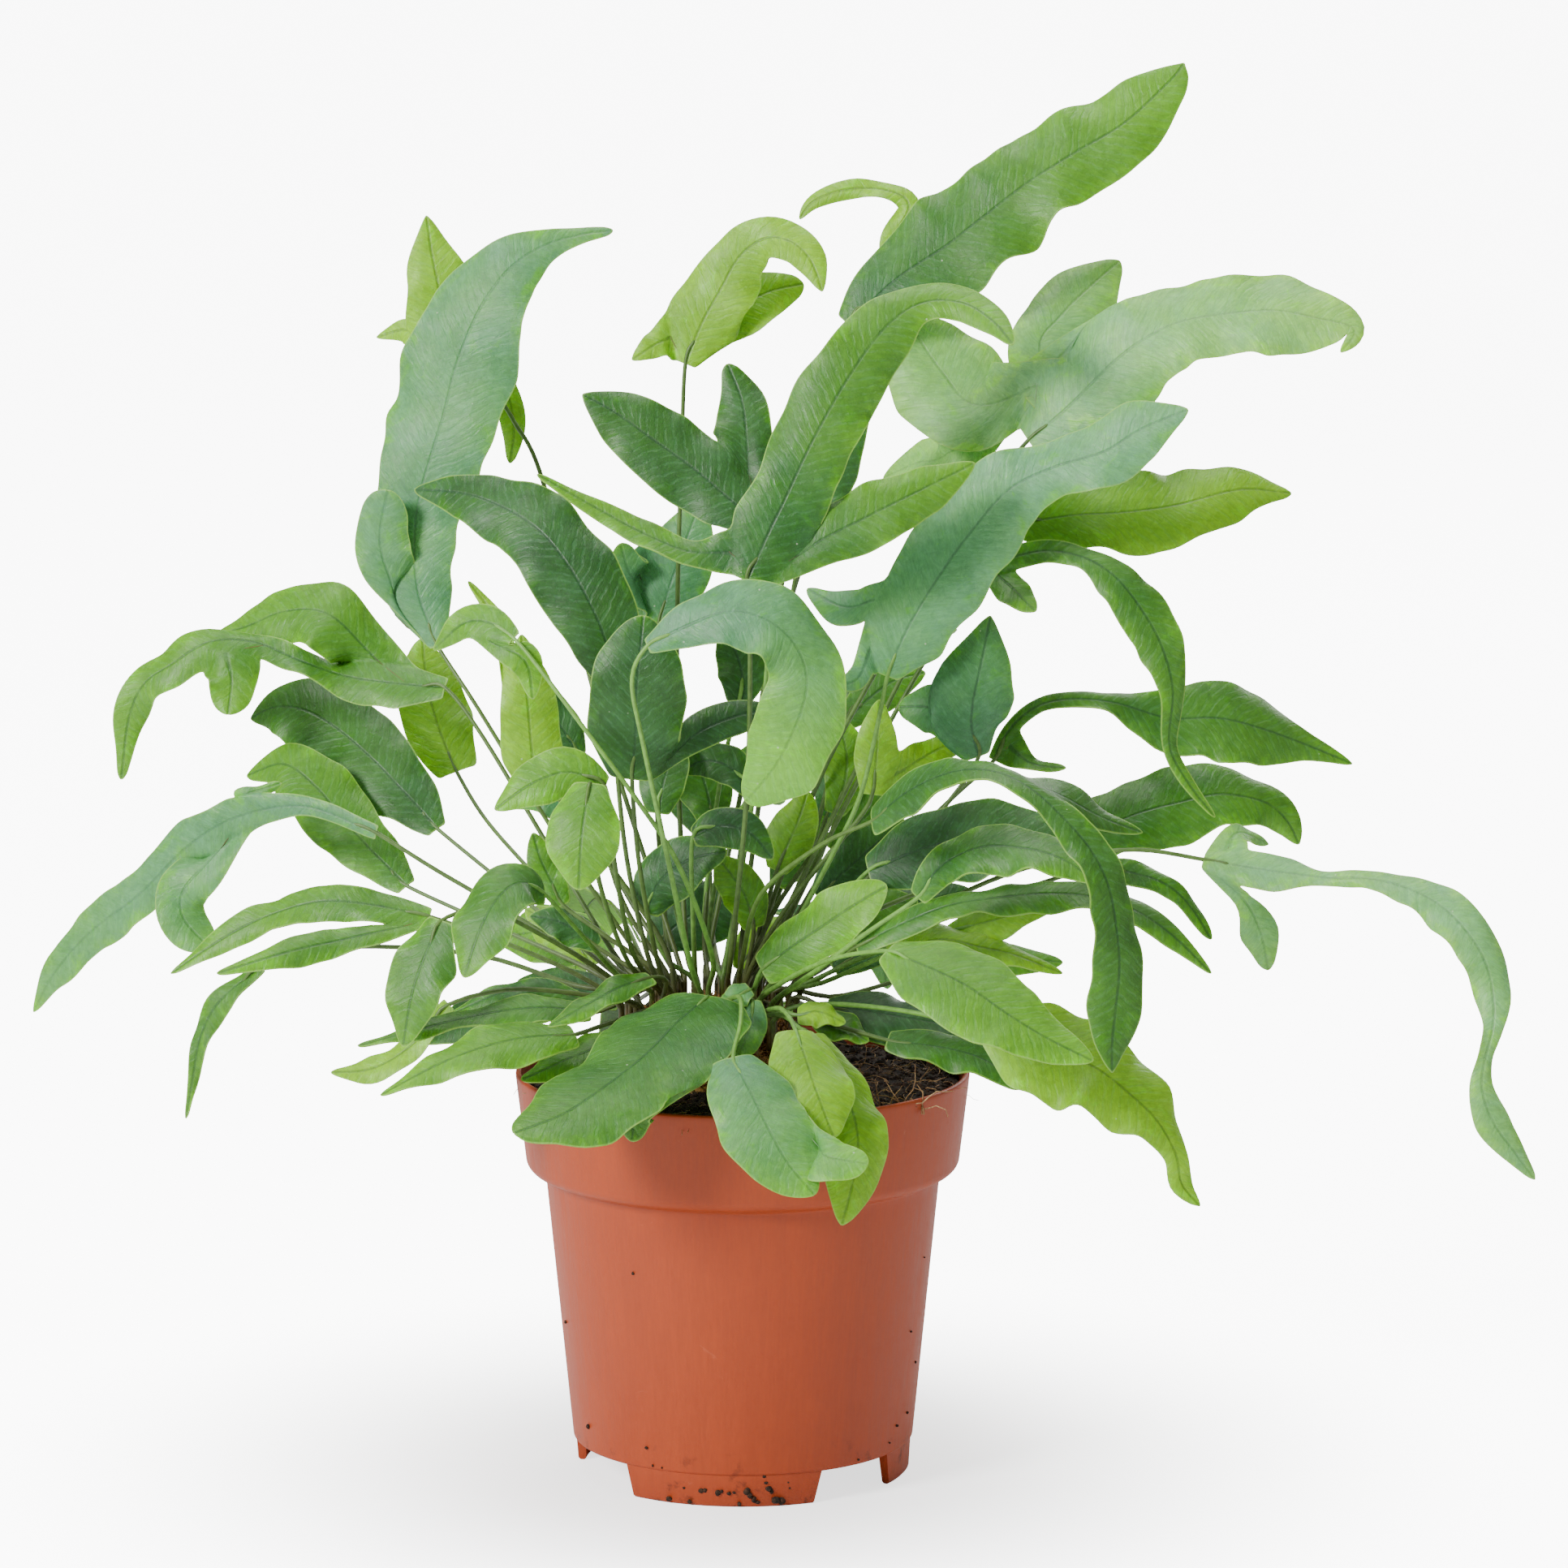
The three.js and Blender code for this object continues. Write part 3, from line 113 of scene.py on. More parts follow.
# What makes the fronds finer than the part's
ROWS_BETWEEN = 4
TIP_ROWS = 4
COLUMNS = np.array([-1, -0.8, -0.42, 0, 0.42, 0.8, 1])
HALF_THICKNESS = 0.2
CROWNING = 0.07
RUFFLE = 1.5
RUFFLE_LENGTH = 11
SINUOSITY = 0.2
RIB_HALF_WIDTH = 0.2
RIB_ABOVE = 0.02
RIB_BELOW = 0.4
RIB_STEP = 2
RIB_END = 0.93
RIB_TIP_SHARE = 0.25
RIB_SIDES = 6
STIPE_FOOT_RADIUS = 0.78
STIPE_TOP_RADIUS = 0.5
STIPE_END_SHARE = 0.4
STIPE_SIDES = 8
STIPE_STEP = 4

# The eye that the fronds' points are given from, and the camera, which stands there
EYE_DISTANCE = 1800
EYE_TILT = math.radians(9.5)
AIM_ACROSS = 10.9
AIM_UP = 189.8
AIM_HEIGHT = 183.7
VIEW_WIDTH = 411.5
SENSOR_WIDTH = 36
SIGHT = np.array([0, math.cos(EYE_TILT), -math.sin(EYE_TILT)])


def blade(rib, turn=(0,), wave=(1.2, 2.5)):
    """A blade: its rib's points as seen, with the half width there, its turn and its edge's wave"""
    return {"rib": rib, "turn": turn, "wave": wave}


def lobe(rib, turn=(0,), wave=(0.8, 1.5)):
    """A side lobe, given as a blade is"""
    return {"rib": rib, "turn": turn, "wave": wave}


def frond(name, green, faces, root, stipe, main, *lobes):
    """A frond: node, green, the way it faces, its root, its stipe's points, its blade and its lobes"""
    return {
        "name": name, "green": green, "faces": faces, "root": root, "stipe": stipe, "main": main,
        "lobes": lobes,
    }


FRONDS = [
    frond("frond_far_left", "blue", [0, 40], [-32, 3], [[-37, 140, 6], [-56, 153, 13], [-80, 167, 20]],
        blade([[-96, 177, 25, 1.8], [-115, 184, 32, 2.5], [-133, 181, 40, 5.5], [-146, 173, 48, 6.5],
            [-158, 161, 56, 6], [-171, 151, 64, 5.5], [-180, 141, 70, 4.5], [-186, 130, 75, 0.5]],
            [45, 40, 15, 0]),
        lobe([[-137, 174, 42, 6.5], [-146, 163, 44, 6.5], [-147, 155, 43, 6.5], [-140, 147, 40, 4.5]]),
        lobe([[-126, 184, 36, 2], [-130, 187, 40, 2.2], [-121, 190, 46, 1]])),
    frond("frond_left_two_arm", "green", [0, 40], [-23, 11], [[-32, 143, 18], [-50, 172, 32],
        [-68, 202, 44]],
        blade([[-78, 215, 50, 3], [-90, 216, 54, 6.5], [-104, 218, 58, 5], [-116, 222, 61, 3],
            [-128, 227, 64, 3], [-140, 227, 66, 4.5], [-150, 221, 68, 5.5], [-157, 216, 70, 5.5],
            [-161, 207, 71, 4.5], [-163, 191, 71, 1]], [0], [2, 4.5]),
        lobe([[-95, 220, 56, 6.5], [-108, 234, 62, 10], [-120, 235, 68, 7.5], [-130, 231, 73, 4.5],
            [-138, 229, 77, 1]]),
        lobe([[-131, 225, 64, 4.5], [-134, 217, 60, 6.5], [-135, 208, 56, 4.5]])),
    frond("frond_left_upper_strap", "green", [0, 35], [-28, 11], [[-36, 142, 20], [-58, 160, 42]],
        blade([[-80, 178, 60, 3], [-90, 189, 68, 10], [-100, 199, 76, 11.5], [-112, 208, 83, 10.5],
            [-122, 210, 89, 6.5], [-129, 207, 94, 1]])),
    frond("frond_left_lower_strap", "fresh", [0, 35], [-30.5, 6.5], [[-40, 141, 14], [-64, 152, 30]],
        blade([[-88, 163, 44, 3], [-97, 172, 51, 7.5], [-105, 181, 57, 9.5], [-112, 189, 63, 9.5],
            [-120, 195, 70, 6], [-130, 192, 78, 1]])),
    frond("frond_left_back", "olive", [0, 30], [-24, 15.5], [[-34, 142, 30], [-52, 163, 58],
        [-67, 180, 78]],
        blade([[-75, 193, 88, 5.5], [-80, 205, 95, 10], [-83, 217, 102, 9], [-84, 228, 108, 2]])),
    frond("frond_upper_left", "blue", [-10, 25], [-20.5, 6.5], [[-26, 143, 5], [-48, 175, 6],
        [-69, 209, 12]],
        blade([[-80, 226, 20, 2.5], [-85, 240, 24, 9], [-86, 255, 27, 10.5], [-84, 268, 29, 12.5],
            [-79, 284, 31, 15.5], [-75, 300, 33, 15.5], [-69, 314, 35, 13.5], [-61, 325, 37, 9],
            [-52, 331, 39, 4.5], [-42, 334, 40, 2.2], [-34, 335, 41, 1]], [0], [2, 4]),
        lobe([[-88, 238, 25, 5.5], [-95, 252, 24, 7.5], [-93, 267, 22, 4.5]])),
    frond("frond_upper_left_yellow", "olive", [0, 20], [-15.5, 14.5], [[-18, 147, 20], [-38, 210, 44],
        [-52, 268, 54], [-60, 285, 56]],
        blade([[-66, 294, 58, 3], [-73, 304, 60, 10], [-78, 314, 62, 10.5], [-81, 326, 64, 7.5],
            [-83, 339, 66, 0.6]]),
        lobe([[-78, 308, 62, 4.5], [-88, 309, 66, 3.5], [-96, 307, 70, 0.6]]),
        lobe([[-64, 296, 58, 3], [-60, 285, 60, 3.5], [-61, 274, 62, 1]])),
    frond("frond_left_arch", "blue", [0, 25], [-18, -11.5], [[-24, 142, -15], [-30, 168, -19],
        [-33, 194, -21]],
        blade([[-34, 214, -22, 3], [-35, 224, -22, 8.5], [-39, 235, -21, 11], [-45, 246, -18, 11.5],
            [-52, 255, -13, 11], [-62, 262, -6, 9], [-73, 266, 2, 6], [-86, 267, 12, 1]], [0], [1.6, 3])),
    frond("frond_left_arch", "blue", [0, 25], [-18, -11.5], [[-22, 142, -20], [-27, 168, -32]],
        blade([[-29, 191, -39, 5.5], [-28, 201, -41, 12], [-28, 212, -42, 13.5], [-27, 223, -42, 12.5],
            [-26, 234, -40, 4]], [0], [1.6, 2.5]),
        lobe([[-24, 198, -40, 4.5], [-12, 203, -34, 5], [0, 208, -25, 4.5], [9, 209, -16, 1]])),
    frond("frond_centre", "green", [5, 30], [-4, -4], [[-3, 145, -18], [1, 185, -30], [2, 222, -38]],
        blade([[1, 243, -40, 4.5], [8, 258, -38, 10], [17, 277, -33, 10.5], [27, 295, -27, 10],
            [37, 309, -22, 8], [47, 316, -18, 5.5], [58, 316, -20, 4.5], [66, 311, -26, 3.5],
            [71, 305, -32, 1]]),
        lobe([[9, 248, -40, 5.5], [25, 256, -38, 7.5], [37, 262, -36, 8], [49, 268, -33, 6.5],
            [61, 274, -30, 0.8]]),
        lobe([[-4, 250, -38, 3], [-15, 251, -36, 3.5], [-27, 256, -33, 3.5], [-38, 262, -30, 2.5],
            [-54, 271, -27, 0.6]])),
    frond("frond_centre_hanging", "fresh", [5, 30], [-10, -17], [[-14, 144, -36], [-20, 172, -54],
        [-26, 200, -62], [-29, 217, -64]],
        blade([[-25, 226, -64, 2], [-15, 231, -65, 5.5], [-4, 235, -67, 8], [6, 233, -69, 9.5],
            [14, 226, -71, 9.5], [17, 216, -72, 9.5], [14, 205, -71, 11], [9, 195, -68, 10.5],
            [1, 185, -64, 3]], [0], [2, 4])),
    frond("frond_upper_centre", "dark", [0, 25], [-5.5, 6.5], [[-4, 145, 8], [4, 195, 6], [7, 235, 4]],
        blade([[5, 258, 4, 4.5], [-4, 265, 7, 9], [-12, 272, 10, 10], [-22, 279, 13, 10],
            [-33, 287, 16, 7.5], [-42, 292, 18, 1]]),
        lobe([[-2, 270, 8, 5.5], [1, 280, 14, 7.5], [0, 290, 20, 7], [-4, 300, 25, 2]]),
        lobe([[8, 260, 4, 4.5], [17, 262, 2, 5.5], [25, 273, 0, 6], [32, 289, -2, 2]])),
    frond("frond_upper_centre", "dark", [0, 25], [-5.5, 6.5], [[-9, 148, 14], [-5, 174, 13]],
        blade([[2, 188, 9, 2.5], [-3, 194, 10, 5.5], [-10, 196, 12, 5], [-16, 193, 14, 1.5]])),
    frond("frond_upper_centre", "dark", [0, 25], [-5.5, 6.5], [[-10, 152, 18], [-6, 190, 17]],
        blade([[-1, 211, 12, 3], [0, 218, 13, 6.5], [-2, 225, 14, 6], [-5, 232, 15, 1.5]])),
    frond("frond_top_centre", "olive", [0, 25], [-13, 11], [[-15, 150, 22], [-17, 200, 32], [-17, 240, 38],
        [-16, 275, 40]],
        blade([[-15, 300, 41, 3], [-11, 310, 42, 9.5], [-6, 319, 43, 10], [-1, 328, 43, 7], [6, 333, 41, 6],
            [13, 332, 38, 5.5], [18, 327, 35, 4.5], [21, 319, 32, 0.8]]),
        lobe([[-10, 308, 42, 4.5], [-2, 314, 46, 8], [7, 319, 50, 6.5], [16, 321, 54, 2]]),
        lobe([[-17, 305, 41, 4], [-23, 305, 40, 4], [-29, 301, 38, 0.8]])),
    frond("frond_top_back", "olive", [0, 25], [-10, 15.5], [[-8, 150, 30], [6, 215, 46], [26, 280, 52],
        [35, 308, 53]],
        blade([[40, 322, 54, 2], [39, 332, 55, 3.5], [44, 341, 56, 3.5], [40, 345, 58, 2.5],
            [29, 346, 60, 2.5], [19, 343, 61, 2.5], [15, 338, 61, 0.6]])),
    frond("frond_top_right", "green", [5, 35], [0, 15.5], [[0, 150, 20], [8, 210, 22], [19, 270, 18]],
        blade([[28, 310, 15, 4.5], [40, 322, 17, 10.5], [55, 332, 19, 14.5], [70, 344, 21, 13],
            [85, 354, 23, 11], [100, 363, 26, 10.5], [112, 374, 29, 5.5], [116, 379, 30, 0.6]], [0],
            [2, 5])),
    frond("frond_right_pale", "fresh", [0, 35], [2, 11], [[4, 148, 12], [22, 195, 10], [50, 245, 6],
        [66, 269, 4]],
        blade([[75, 280, 2, 4.5], [86, 289, 0, 11], [98, 301, -3, 13], [112, 310, -6, 11.5],
            [126, 313, -9, 10], [140, 314, -12, 11.5], [151, 312, -15, 8], [161, 309, -18, 3],
            [157, 303, -21, 0.6]], [0], [2.4, 4]),
        lobe([[70, 284, 3, 6], [61, 289, 10, 13], [53, 297, 17, 14], [46, 307, 23, 10], [42, 314, 26, 2]]),
        lobe([[78, 292, 3, 5], [78, 303, 16, 9], [84, 313, 26, 9.5], [92, 321, 34, 7.5],
            [99, 327, 38, 1.5]]),
        lobe([[68, 279, 3, 4.5], [56, 278, 14, 7], [46, 274, 24, 7], [37, 270, 32, 1.5]])),
    frond("frond_right_blue", "blue", [10, 30], [3, -2.5], [[10, 146, -5], [23, 170, -12], [31, 187, -16],
        [36, 208, -20]],
        blade([[38, 218, -22, 3], [42, 228, -22, 10], [50, 242, -20, 12], [60, 256, -16, 13],
            [70, 267, -16, 10.5], [82, 273, -17, 7], [95, 277, -19, 9], [105, 283, -20, 8],
            [117, 288, -21, 1]]),
        lobe([[36, 222, -22, 2.5], [30, 217, -26, 3], [23, 216, -30, 0.8]]),
        lobe([[36, 231, -21, 4.5], [27, 236, -14, 5.5], [17, 241, -6, 1]])),
    frond("frond_right_yellow_tip", "fresh", [5, 40], [4.5, 6.5], [[8, 146, 6], [30, 190, 2], [56, 236, 2]],
        blade([[72, 258, 4, 4.5], [85, 260, 7, 9.5], [100, 261, 10, 11], [115, 263, 13, 9.5],
            [130, 267, 16, 6.5], [144, 266, 19, 1]], [0], [1.8, 3])),
    frond("frond_right_arch", "green", [15, 30], [-0.5, 6.5], [[6, 146, 4], [28, 190, -2], [44, 222, -4]],
        blade([[55, 238, -5, 2], [62, 246, -4, 2.5], [70, 249, -4, 3], [80, 251, -5, 3], [90, 249, -8, 3],
            [98, 244, -12, 5.5], [105, 235, -16, 7], [110, 226, -19, 6], [113, 214, -22, 3.5],
            [112, 200, -24, 2], [117, 190, -25, 1.6], [124, 181, -26, 0.6]]),
        lobe([[68, 246, -5, 4.5], [72, 240, -10, 4.5], [77, 235, -15, 1]])),
    frond("frond_right_broad", "blue", [10, 20], [6, 1.5], [[14, 142, -8], [36, 164, -12], [54, 185, -12]],
        blade([[62, 197, -12, 3.5], [60, 205, -14, 9], [61, 214, -15, 12], [63, 223, -14, 7.5],
            [65, 234, -12, 0.8]]),
        lobe([[54, 207, -12, 5], [48, 210, -8, 6.5], [41, 210, -4, 3]])),
    frond("frond_right_long_neck", "green", [5, 40], [9.5, 6.5], [[13, 146, 4], [36, 168, 2], [56, 187, 0]],
        blade([[66, 196, -2, 1.8], [70, 204, -1, 1.8], [77, 210, 0, 1.8], [86, 212, 2, 2.2],
            [98, 211, 4, 3.5], [112, 207, 7, 8], [125, 207, 9, 11], [137, 204, 11, 9], [148, 200, 13, 3.5],
            [160, 195, 15, 0.5]]),
        lobe([[68, 199, -2, 2], [76, 195, -5, 2], [85, 194, -8, 0.6]])),
    frond("frond_right_back_strap", "green", [0, 40], [7, 11], [[13, 146, 12], [38, 158, 18],
        [62, 167, 22]],
        blade([[80, 172, 24, 4.5], [92, 177, 26, 8], [104, 182, 28, 10], [115, 185, 30, 10],
            [126, 187, 32, 8], [137, 185, 34, 5.5], [143, 180, 35, 4.5], [146, 174, 36, 1]])),
    frond("frond_far_right", "blue", [0, 40], [14, -2.5], [[22, 143, -10], [45, 155, -18], [72, 167, -26],
        [100, 172.5, -31]],
        blade([[121, 170, -33, 2], [132, 168, -36, 4.5], [142, 166.5, -40, 5], [150, 165.5, -43, 2],
            [156, 165, -46, 1.5], [163, 165, -49, 2], [173, 163, -54, 3.8], [183, 158, -60, 5],
            [190, 151, -66, 5.5], [195, 143, -71, 5.5], [197, 134, -75, 4.5], [197, 126, -78, 2.5],
            [195, 118, -80, 1.6], [194, 110, -82, 3], [197, 101, -83, 4.5], [202, 94, -84, 3.6],
            [208, 86, -85, 0.8]], [0], [1.4, 5]),
        lobe([[126, 172, -34, 2], [130, 177, -28, 2.5], [138, 174, -22, 0.6]]),
        lobe([[126, 166, -34, 2.5], [132, 159, -32, 2], [136, 151, -31, 6], [138, 141, -30, 1.5]])),
    frond("frond_front_right_droop", "dark", [20, 45], [-1, -7.5], [[0, 144, -22], [5, 161, -44],
        [21, 174, -64]],
        blade([[34, 180, -74, 3], [44, 188, -82, 4.5], [56, 193, -90, 3], [66, 193, -96, 2.5],
            [75, 189, -101, 3], [83, 182, -105, 3.5], [91, 173, -108, 4.5], [96, 163, -111, 5],
            [98, 153, -113, 5.5], [99, 142, -115, 6.5], [98, 131, -116, 6.5], [97, 122, -117, 4.5],
            [97, 114, -117, 0.5]]),
        lobe([[76, 191, -99, 3], [85, 186, -94, 5], [94, 181, -90, 3], [105, 177, -86, 0.5]])),
    frond("frond_right_dark", "dark", [10, 35], [4.5, -11.5], [[12, 142, -18], [22, 155, -26]],
        blade([[33, 167, -32, 4.5], [48, 173, -36, 9.5], [62, 176, -38, 10], [76, 176, -40, 7.5],
            [87, 172, -42, 1.5]])),
    frond("frond_right_bright_arch", "fresh", [20, 45], [7, -14], [[14, 137, -34], [21, 142, -46],
        [33, 151, -56]],
        blade([[46, 160, -62, 2.5], [52, 168, -65, 5], [62, 173, -69, 5.5], [73, 173, -73, 5.5],
            [84, 170, -77, 4.5], [93, 164, -80, 1]])),
    frond("frond_right_low_strap", "green", [10, 50], [8.5, -11.5], [[16, 139, -26]],
        blade([[30, 147, -38, 2], [42, 153, -42, 3], [55, 158, -45, 3.5], [68, 160, -47, 4.5],
            [80, 161, -49, 3.5], [92, 160, -51, 3.5], [104, 156, -53, 3.5], [114, 149, -55, 2.5],
            [123, 140, -57, 0.5]])),
    frond("frond_right_pointed", "green", [10, 45], [12, 2], [[19, 142, -4], [44, 151, -10],
        [76, 163, -16]],
        blade([[94, 168, -19, 2.5], [104, 166, -20, 3.5], [112, 163, -21, 2], [118, 157, -22, 2.5],
            [123, 149, -23, 0.8]])),
    frond("frond_right_pair", "olive", [10, 50], [10, -3], [[18, 138, -8], [36, 146, -14]],
        blade([[54, 151, -19, 2], [62, 153, -20, 4.5], [70, 155, -21, 4.5], [82, 158, -22, 0.7]])),
    frond("frond_right_pair", "olive", [10, 50], [10, -3], [[22, 138, -13]],
        blade([[38, 145, -23, 3], [52, 149, -25, 5.5], [62, 147, -27, 3.5], [71, 145, -28, 3],
            [84, 140, -30, 0.5]])),
    frond("frond_front_right_bright", "fresh", [20, 40], [3.2, -15.5], [[11, 138, -36], [24, 144, -62]],
        blade([[38, 146, -78, 3], [50, 141, -86, 9.5], [60, 136, -91, 10], [70, 129, -96, 9],
            [80, 123, -100, 6], [92, 117, -104, 1]])),
    frond("frond_right_drop", "fresh", [20, 35], [8, -18], [[19, 132, -22], [44, 130, -41]],
        blade([[64, 124.5, -56, 3], [75, 122, -60, 11], [84, 119, -63, 12], [93, 115, -66, 10.5],
            [102, 108, -69, 9.5], [109, 101, -71, 6.5], [114, 92, -73, 2.5], [115, 85, -74, 3.5],
            [120, 79, -75, 0.6]], [0], [2.2, 4])),
    frond("frond_right_rim", "dark", [15, 55], [12, -8], [[15, 134, -9]],
        blade([[22, 131, -13, 3], [33, 130, -15, 6], [45, 128, -17, 6.5], [56, 126, -18, 5.5],
            [66, 125, -19, 1]])),
    frond("frond_right_rim", "fresh", [20, 50], [12, -8], [[20, 128, -22]],
        blade([[38, 122.5, -28, 2.5], [49, 121, -31, 4.5], [58, 119.5, -33, 4.5], [66, 116, -35, 4.5],
            [74, 110, -37, 1.5]])),
    frond("frond_front_left_big", "blue", [-25, 45], [-12, -16], [[-10, 131, -24]],
        blade([[-9, 134, -34, 7.5], [-17, 127, -48, 13], [-25, 119, -60, 13], [-35, 111, -70, 11.5],
            [-47, 103, -79, 8.5], [-60, 98, -86, 2]]),
        lobe([[-22, 118, -64, 4.5], [-27, 106, -68, 5.5], [-29, 96, -69, 2.5]])),
    frond("frond_front_fold", "blue", [10, 40], [-7, -20.5], [[-1, 134, -42], [-0.5, 127, -55]],
        blade([[-2.5, 118, -63, 5.5], [2, 109, -73, 10], [7, 99, -82, 11.5], [12, 90, -88, 9.5],
            [19, 82, -92, 2]]),
        lobe([[12, 98, -82, 6.5], [22, 92, -88, 6], [33, 90, -91, 2.5]])),
    frond("frond_front_yellow", "olive", [20, 40], [3.5, -20.5], [[9, 131, -37], [12, 129, -44]],
        blade([[14, 125, -50, 5], [17, 116, -60, 10], [20, 107, -69, 9], [24, 97, -76, 2]])),
    frond("frond_front_yellow", "fresh", [30, 40], [3.5, -20.5], [[10.5, 129, -31], [14.5, 126, -37]],
        blade([[18, 124, -42, 3.5], [26, 111, -54, 6.5], [30, 98, -64, 7.5], [29, 86, -69, 7],
            [26, 74, -72, 1]])),
    frond("frond_front_fold", "blue", [0, 40], [-7, -20.5], [[-3, 135, -25]],
        blade([[2, 136, -28, 2], [-1, 134.5, -29.5, 3.6], [-3, 132.5, -31, 3.4], [-6, 130, -32, 1]])),
    frond("frond_front_fold", "dark", [0, 45], [-7, -20.5], [[-1, 134, -26]],
        blade([[2.5, 133, -29, 2.5], [2.5, 128, -34, 4], [0.5, 122, -39, 4], [-2, 117, -43, 1]])),
    frond("frond_front_yellow", "green", [20, 50], [3.5, -20.5], [[10.5, 130, -25]],
        blade([[14.5, 129, -28, 2], [20, 130, -29, 3.4], [27, 127, -30, 1]])),
    frond("frond_crown_bright", "fresh", [5, 35], [1, -12], [[3, 136, -24]],
        blade([[5, 141, -29, 4.5], [13, 147, -32, 7], [22, 153, -35, 7.5], [31, 159, -38, 6],
            [38, 163, -41, 1.5]])),
    frond("frond_left_fold", "green", [-20, 35], [-24, -0.5], [[-32, 139, -10], [-42, 150, -24]],
        blade([[-52, 161, -38, 2.5], [-58, 164, -44, 5.5], [-64, 160, -49, 7.5], [-69, 151, -53, 8],
            [-73, 139, -56, 1.5]])),
    frond("frond_left_low_broad", "green", [-20, 30], [-29.5, -3.5], [[-36, 140, -9], [-56, 152, -20],
        [-68, 157, -28]],
        blade([[-79, 154, -32, 3.5], [-84, 143, -36, 8], [-87, 133, -38, 7], [-89, 121, -39, 1.5]])),
    frond("frond_left_olive_drop", "olive", [-20, 40], [-28, -8], [[-38, 134, -12], [-60, 136, -15]],
        blade([[-77, 132, -16, 2], [-87, 121, -17, 3.5], [-97, 115, -18, 3.5], [-108, 114, -18, 0.8]])),
    frond("frond_left_straps", "fresh", [-10, 40], [-32, -1.5], [[-42, 139, -2], [-62, 148, 0]],
        blade([[-82, 155, 2, 2.5], [-97, 158, 4, 4.5], [-110, 159, 6, 4.5], [-122, 156, 8, 4.5],
            [-135, 150, 9, 3.5], [-150, 140, 10, 0.5]]),
        lobe([[-90, 153, 2, 3], [-104, 149, -4, 3.8], [-118, 146, -8, 3.8], [-138, 140, -12, 0.6]])),
    frond("frond_left_low_lance", "green", [-10, 45], [-28, 2.5], [[-44, 137, 12], [-70, 145, 18],
        [-104, 147, 24]],
        blade([[-126, 142, 26, 1.6], [-137, 133, 28, 3], [-142, 124, 29, 2.8], [-144, 114, 29, 1.6],
            [-146, 102, 29, 0.5]])),
    frond("frond_left_rim_low", "fresh", [-25, 50], [-21.5, -16], [[-32, 128, -28]],
        blade([[-44, 124, -36, 3], [-58, 123, -42, 6], [-70, 120, -46, 5.5], [-82, 115, -49, 3],
            [-95, 108, -52, 0.5]])),
    frond("frond_left_rim", "green", [-20, 55], [-26, -12], [[-33, 133, -18]],
        blade([[-40, 130, -22, 2], [-52, 131, -25, 3.5], [-64, 130, -27, 3.5], [-78, 127, -29, 2.5],
            [-101, 121, -32, 0.5]])),
    frond("frond_left_rim", "dark", [-10, 50], [-26, -12], [[-32, 136, -8]],
        blade([[-42, 133, -8, 2], [-52, 136, -8, 3.2], [-63, 135, -8, 3], [-77, 129, -8, 0.6]])),
    frond("frond_left_rim_low", "dark", [-20, 45], [-21.5, -16], [[-20, 138, -22]],
        blade([[-24, 139, -27, 2], [-33, 136, -34, 3.2], [-42, 131, -40, 2.8], [-51, 126, -45, 0.6]])),
    frond("frond_left_hanging", "fresh", [-5, 20], [-21, -7], [[-30, 143, -26], [-38, 166, -44],
        [-38, 183, -54]],
        blade([[-40, 190, -60, 4.5], [-41.5, 182, -66, 9], [-42.5, 173, -69, 10.5], [-43, 162, -70, 2]])),
    frond("frond_left_hanging", "fresh", [-5, 35], [-21, -7], [[-29, 146, -27], [-34, 172, -42]],
        blade([[-36, 189, -50, 3], [-45, 193, -50, 6.5], [-55, 190, -51, 6.5], [-65, 183, -52, 1]])),
    frond("frond_pale_long", "fresh", [0, 30], [-9, -9], [[-8, 145, -28], [-17, 169, -46], [-28, 186, -53],
        [-42, 205, -52], [-54, 221, -46]],
        blade([[-60, 228, -42, 2], [-66, 232, -38, 4.5], [-73, 232, -34, 4.5], [-81, 225, -30, 0.8]]),
        lobe([[-62, 230, -42, 3], [-57, 222, -44, 4.5], [-55, 212, -45, 1]])),
    frond("frond_left_inner", "olive", [0, 25], [-18, -2.5], [[-22, 150, -2], [-42, 178, -4],
        [-54, 192, -6]],
        blade([[-54, 186, -6, 3], [-55, 196, -7, 7.5], [-56, 207, -7, 8], [-57, 218, -6, 6],
            [-58, 229, -4, 1]]),
        lobe([[-58, 222, -6, 2], [-64, 232, -3, 2.2], [-72, 243, 1, 0.6]])),
    frond("frond_back_grey", "blue", [0, 20], [-18, 11], [[-20, 150, 28], [-23, 195, 52], [-22, 222, 60]],
        blade([[-22, 232, 62, 4.5], [-19, 242, 64, 9], [-15, 253, 66, 9], [-11, 264, 67, 2]]),
        lobe([[-25, 236, 62, 4.5], [-29, 244, 60, 6.5], [-32, 253, 58, 2]])),
    frond("frond_inner_low", "dark", [0, 30], [-12.5, 2], [[-20, 144, 0]],
        blade([[-25, 156, 0, 3], [-22, 164, -2, 8], [-14, 170, -5, 7.5], [-4, 172, -8, 1.5]])),
    frond("frond_inner_low", "green", [0, 25], [-12.5, 2], [[-17, 155, 3]],
        blade([[-22, 182, 4, 3], [-21, 189, 5, 6.5], [-19, 196, 7, 6], [-17, 203, 9, 1.5]])),
    frond("frond_inner_low", "dark", [0, 30], [-12.5, 2], [[-13, 155, -9]],
        blade([[-13, 176, -13, 2.5], [-6, 179, -15, 5.5], [2, 177, -17, 5], [8, 170, -18, 1]])),
    frond("frond_inner_right", "olive", [0, 20], [0.5, 2.5], [[12, 158, -6], [30, 180, -10]],
        blade([[34, 187, -11, 3], [35, 195, -11, 5.5], [35.5, 203, -10, 5.5], [36, 212, -9, 1]]),
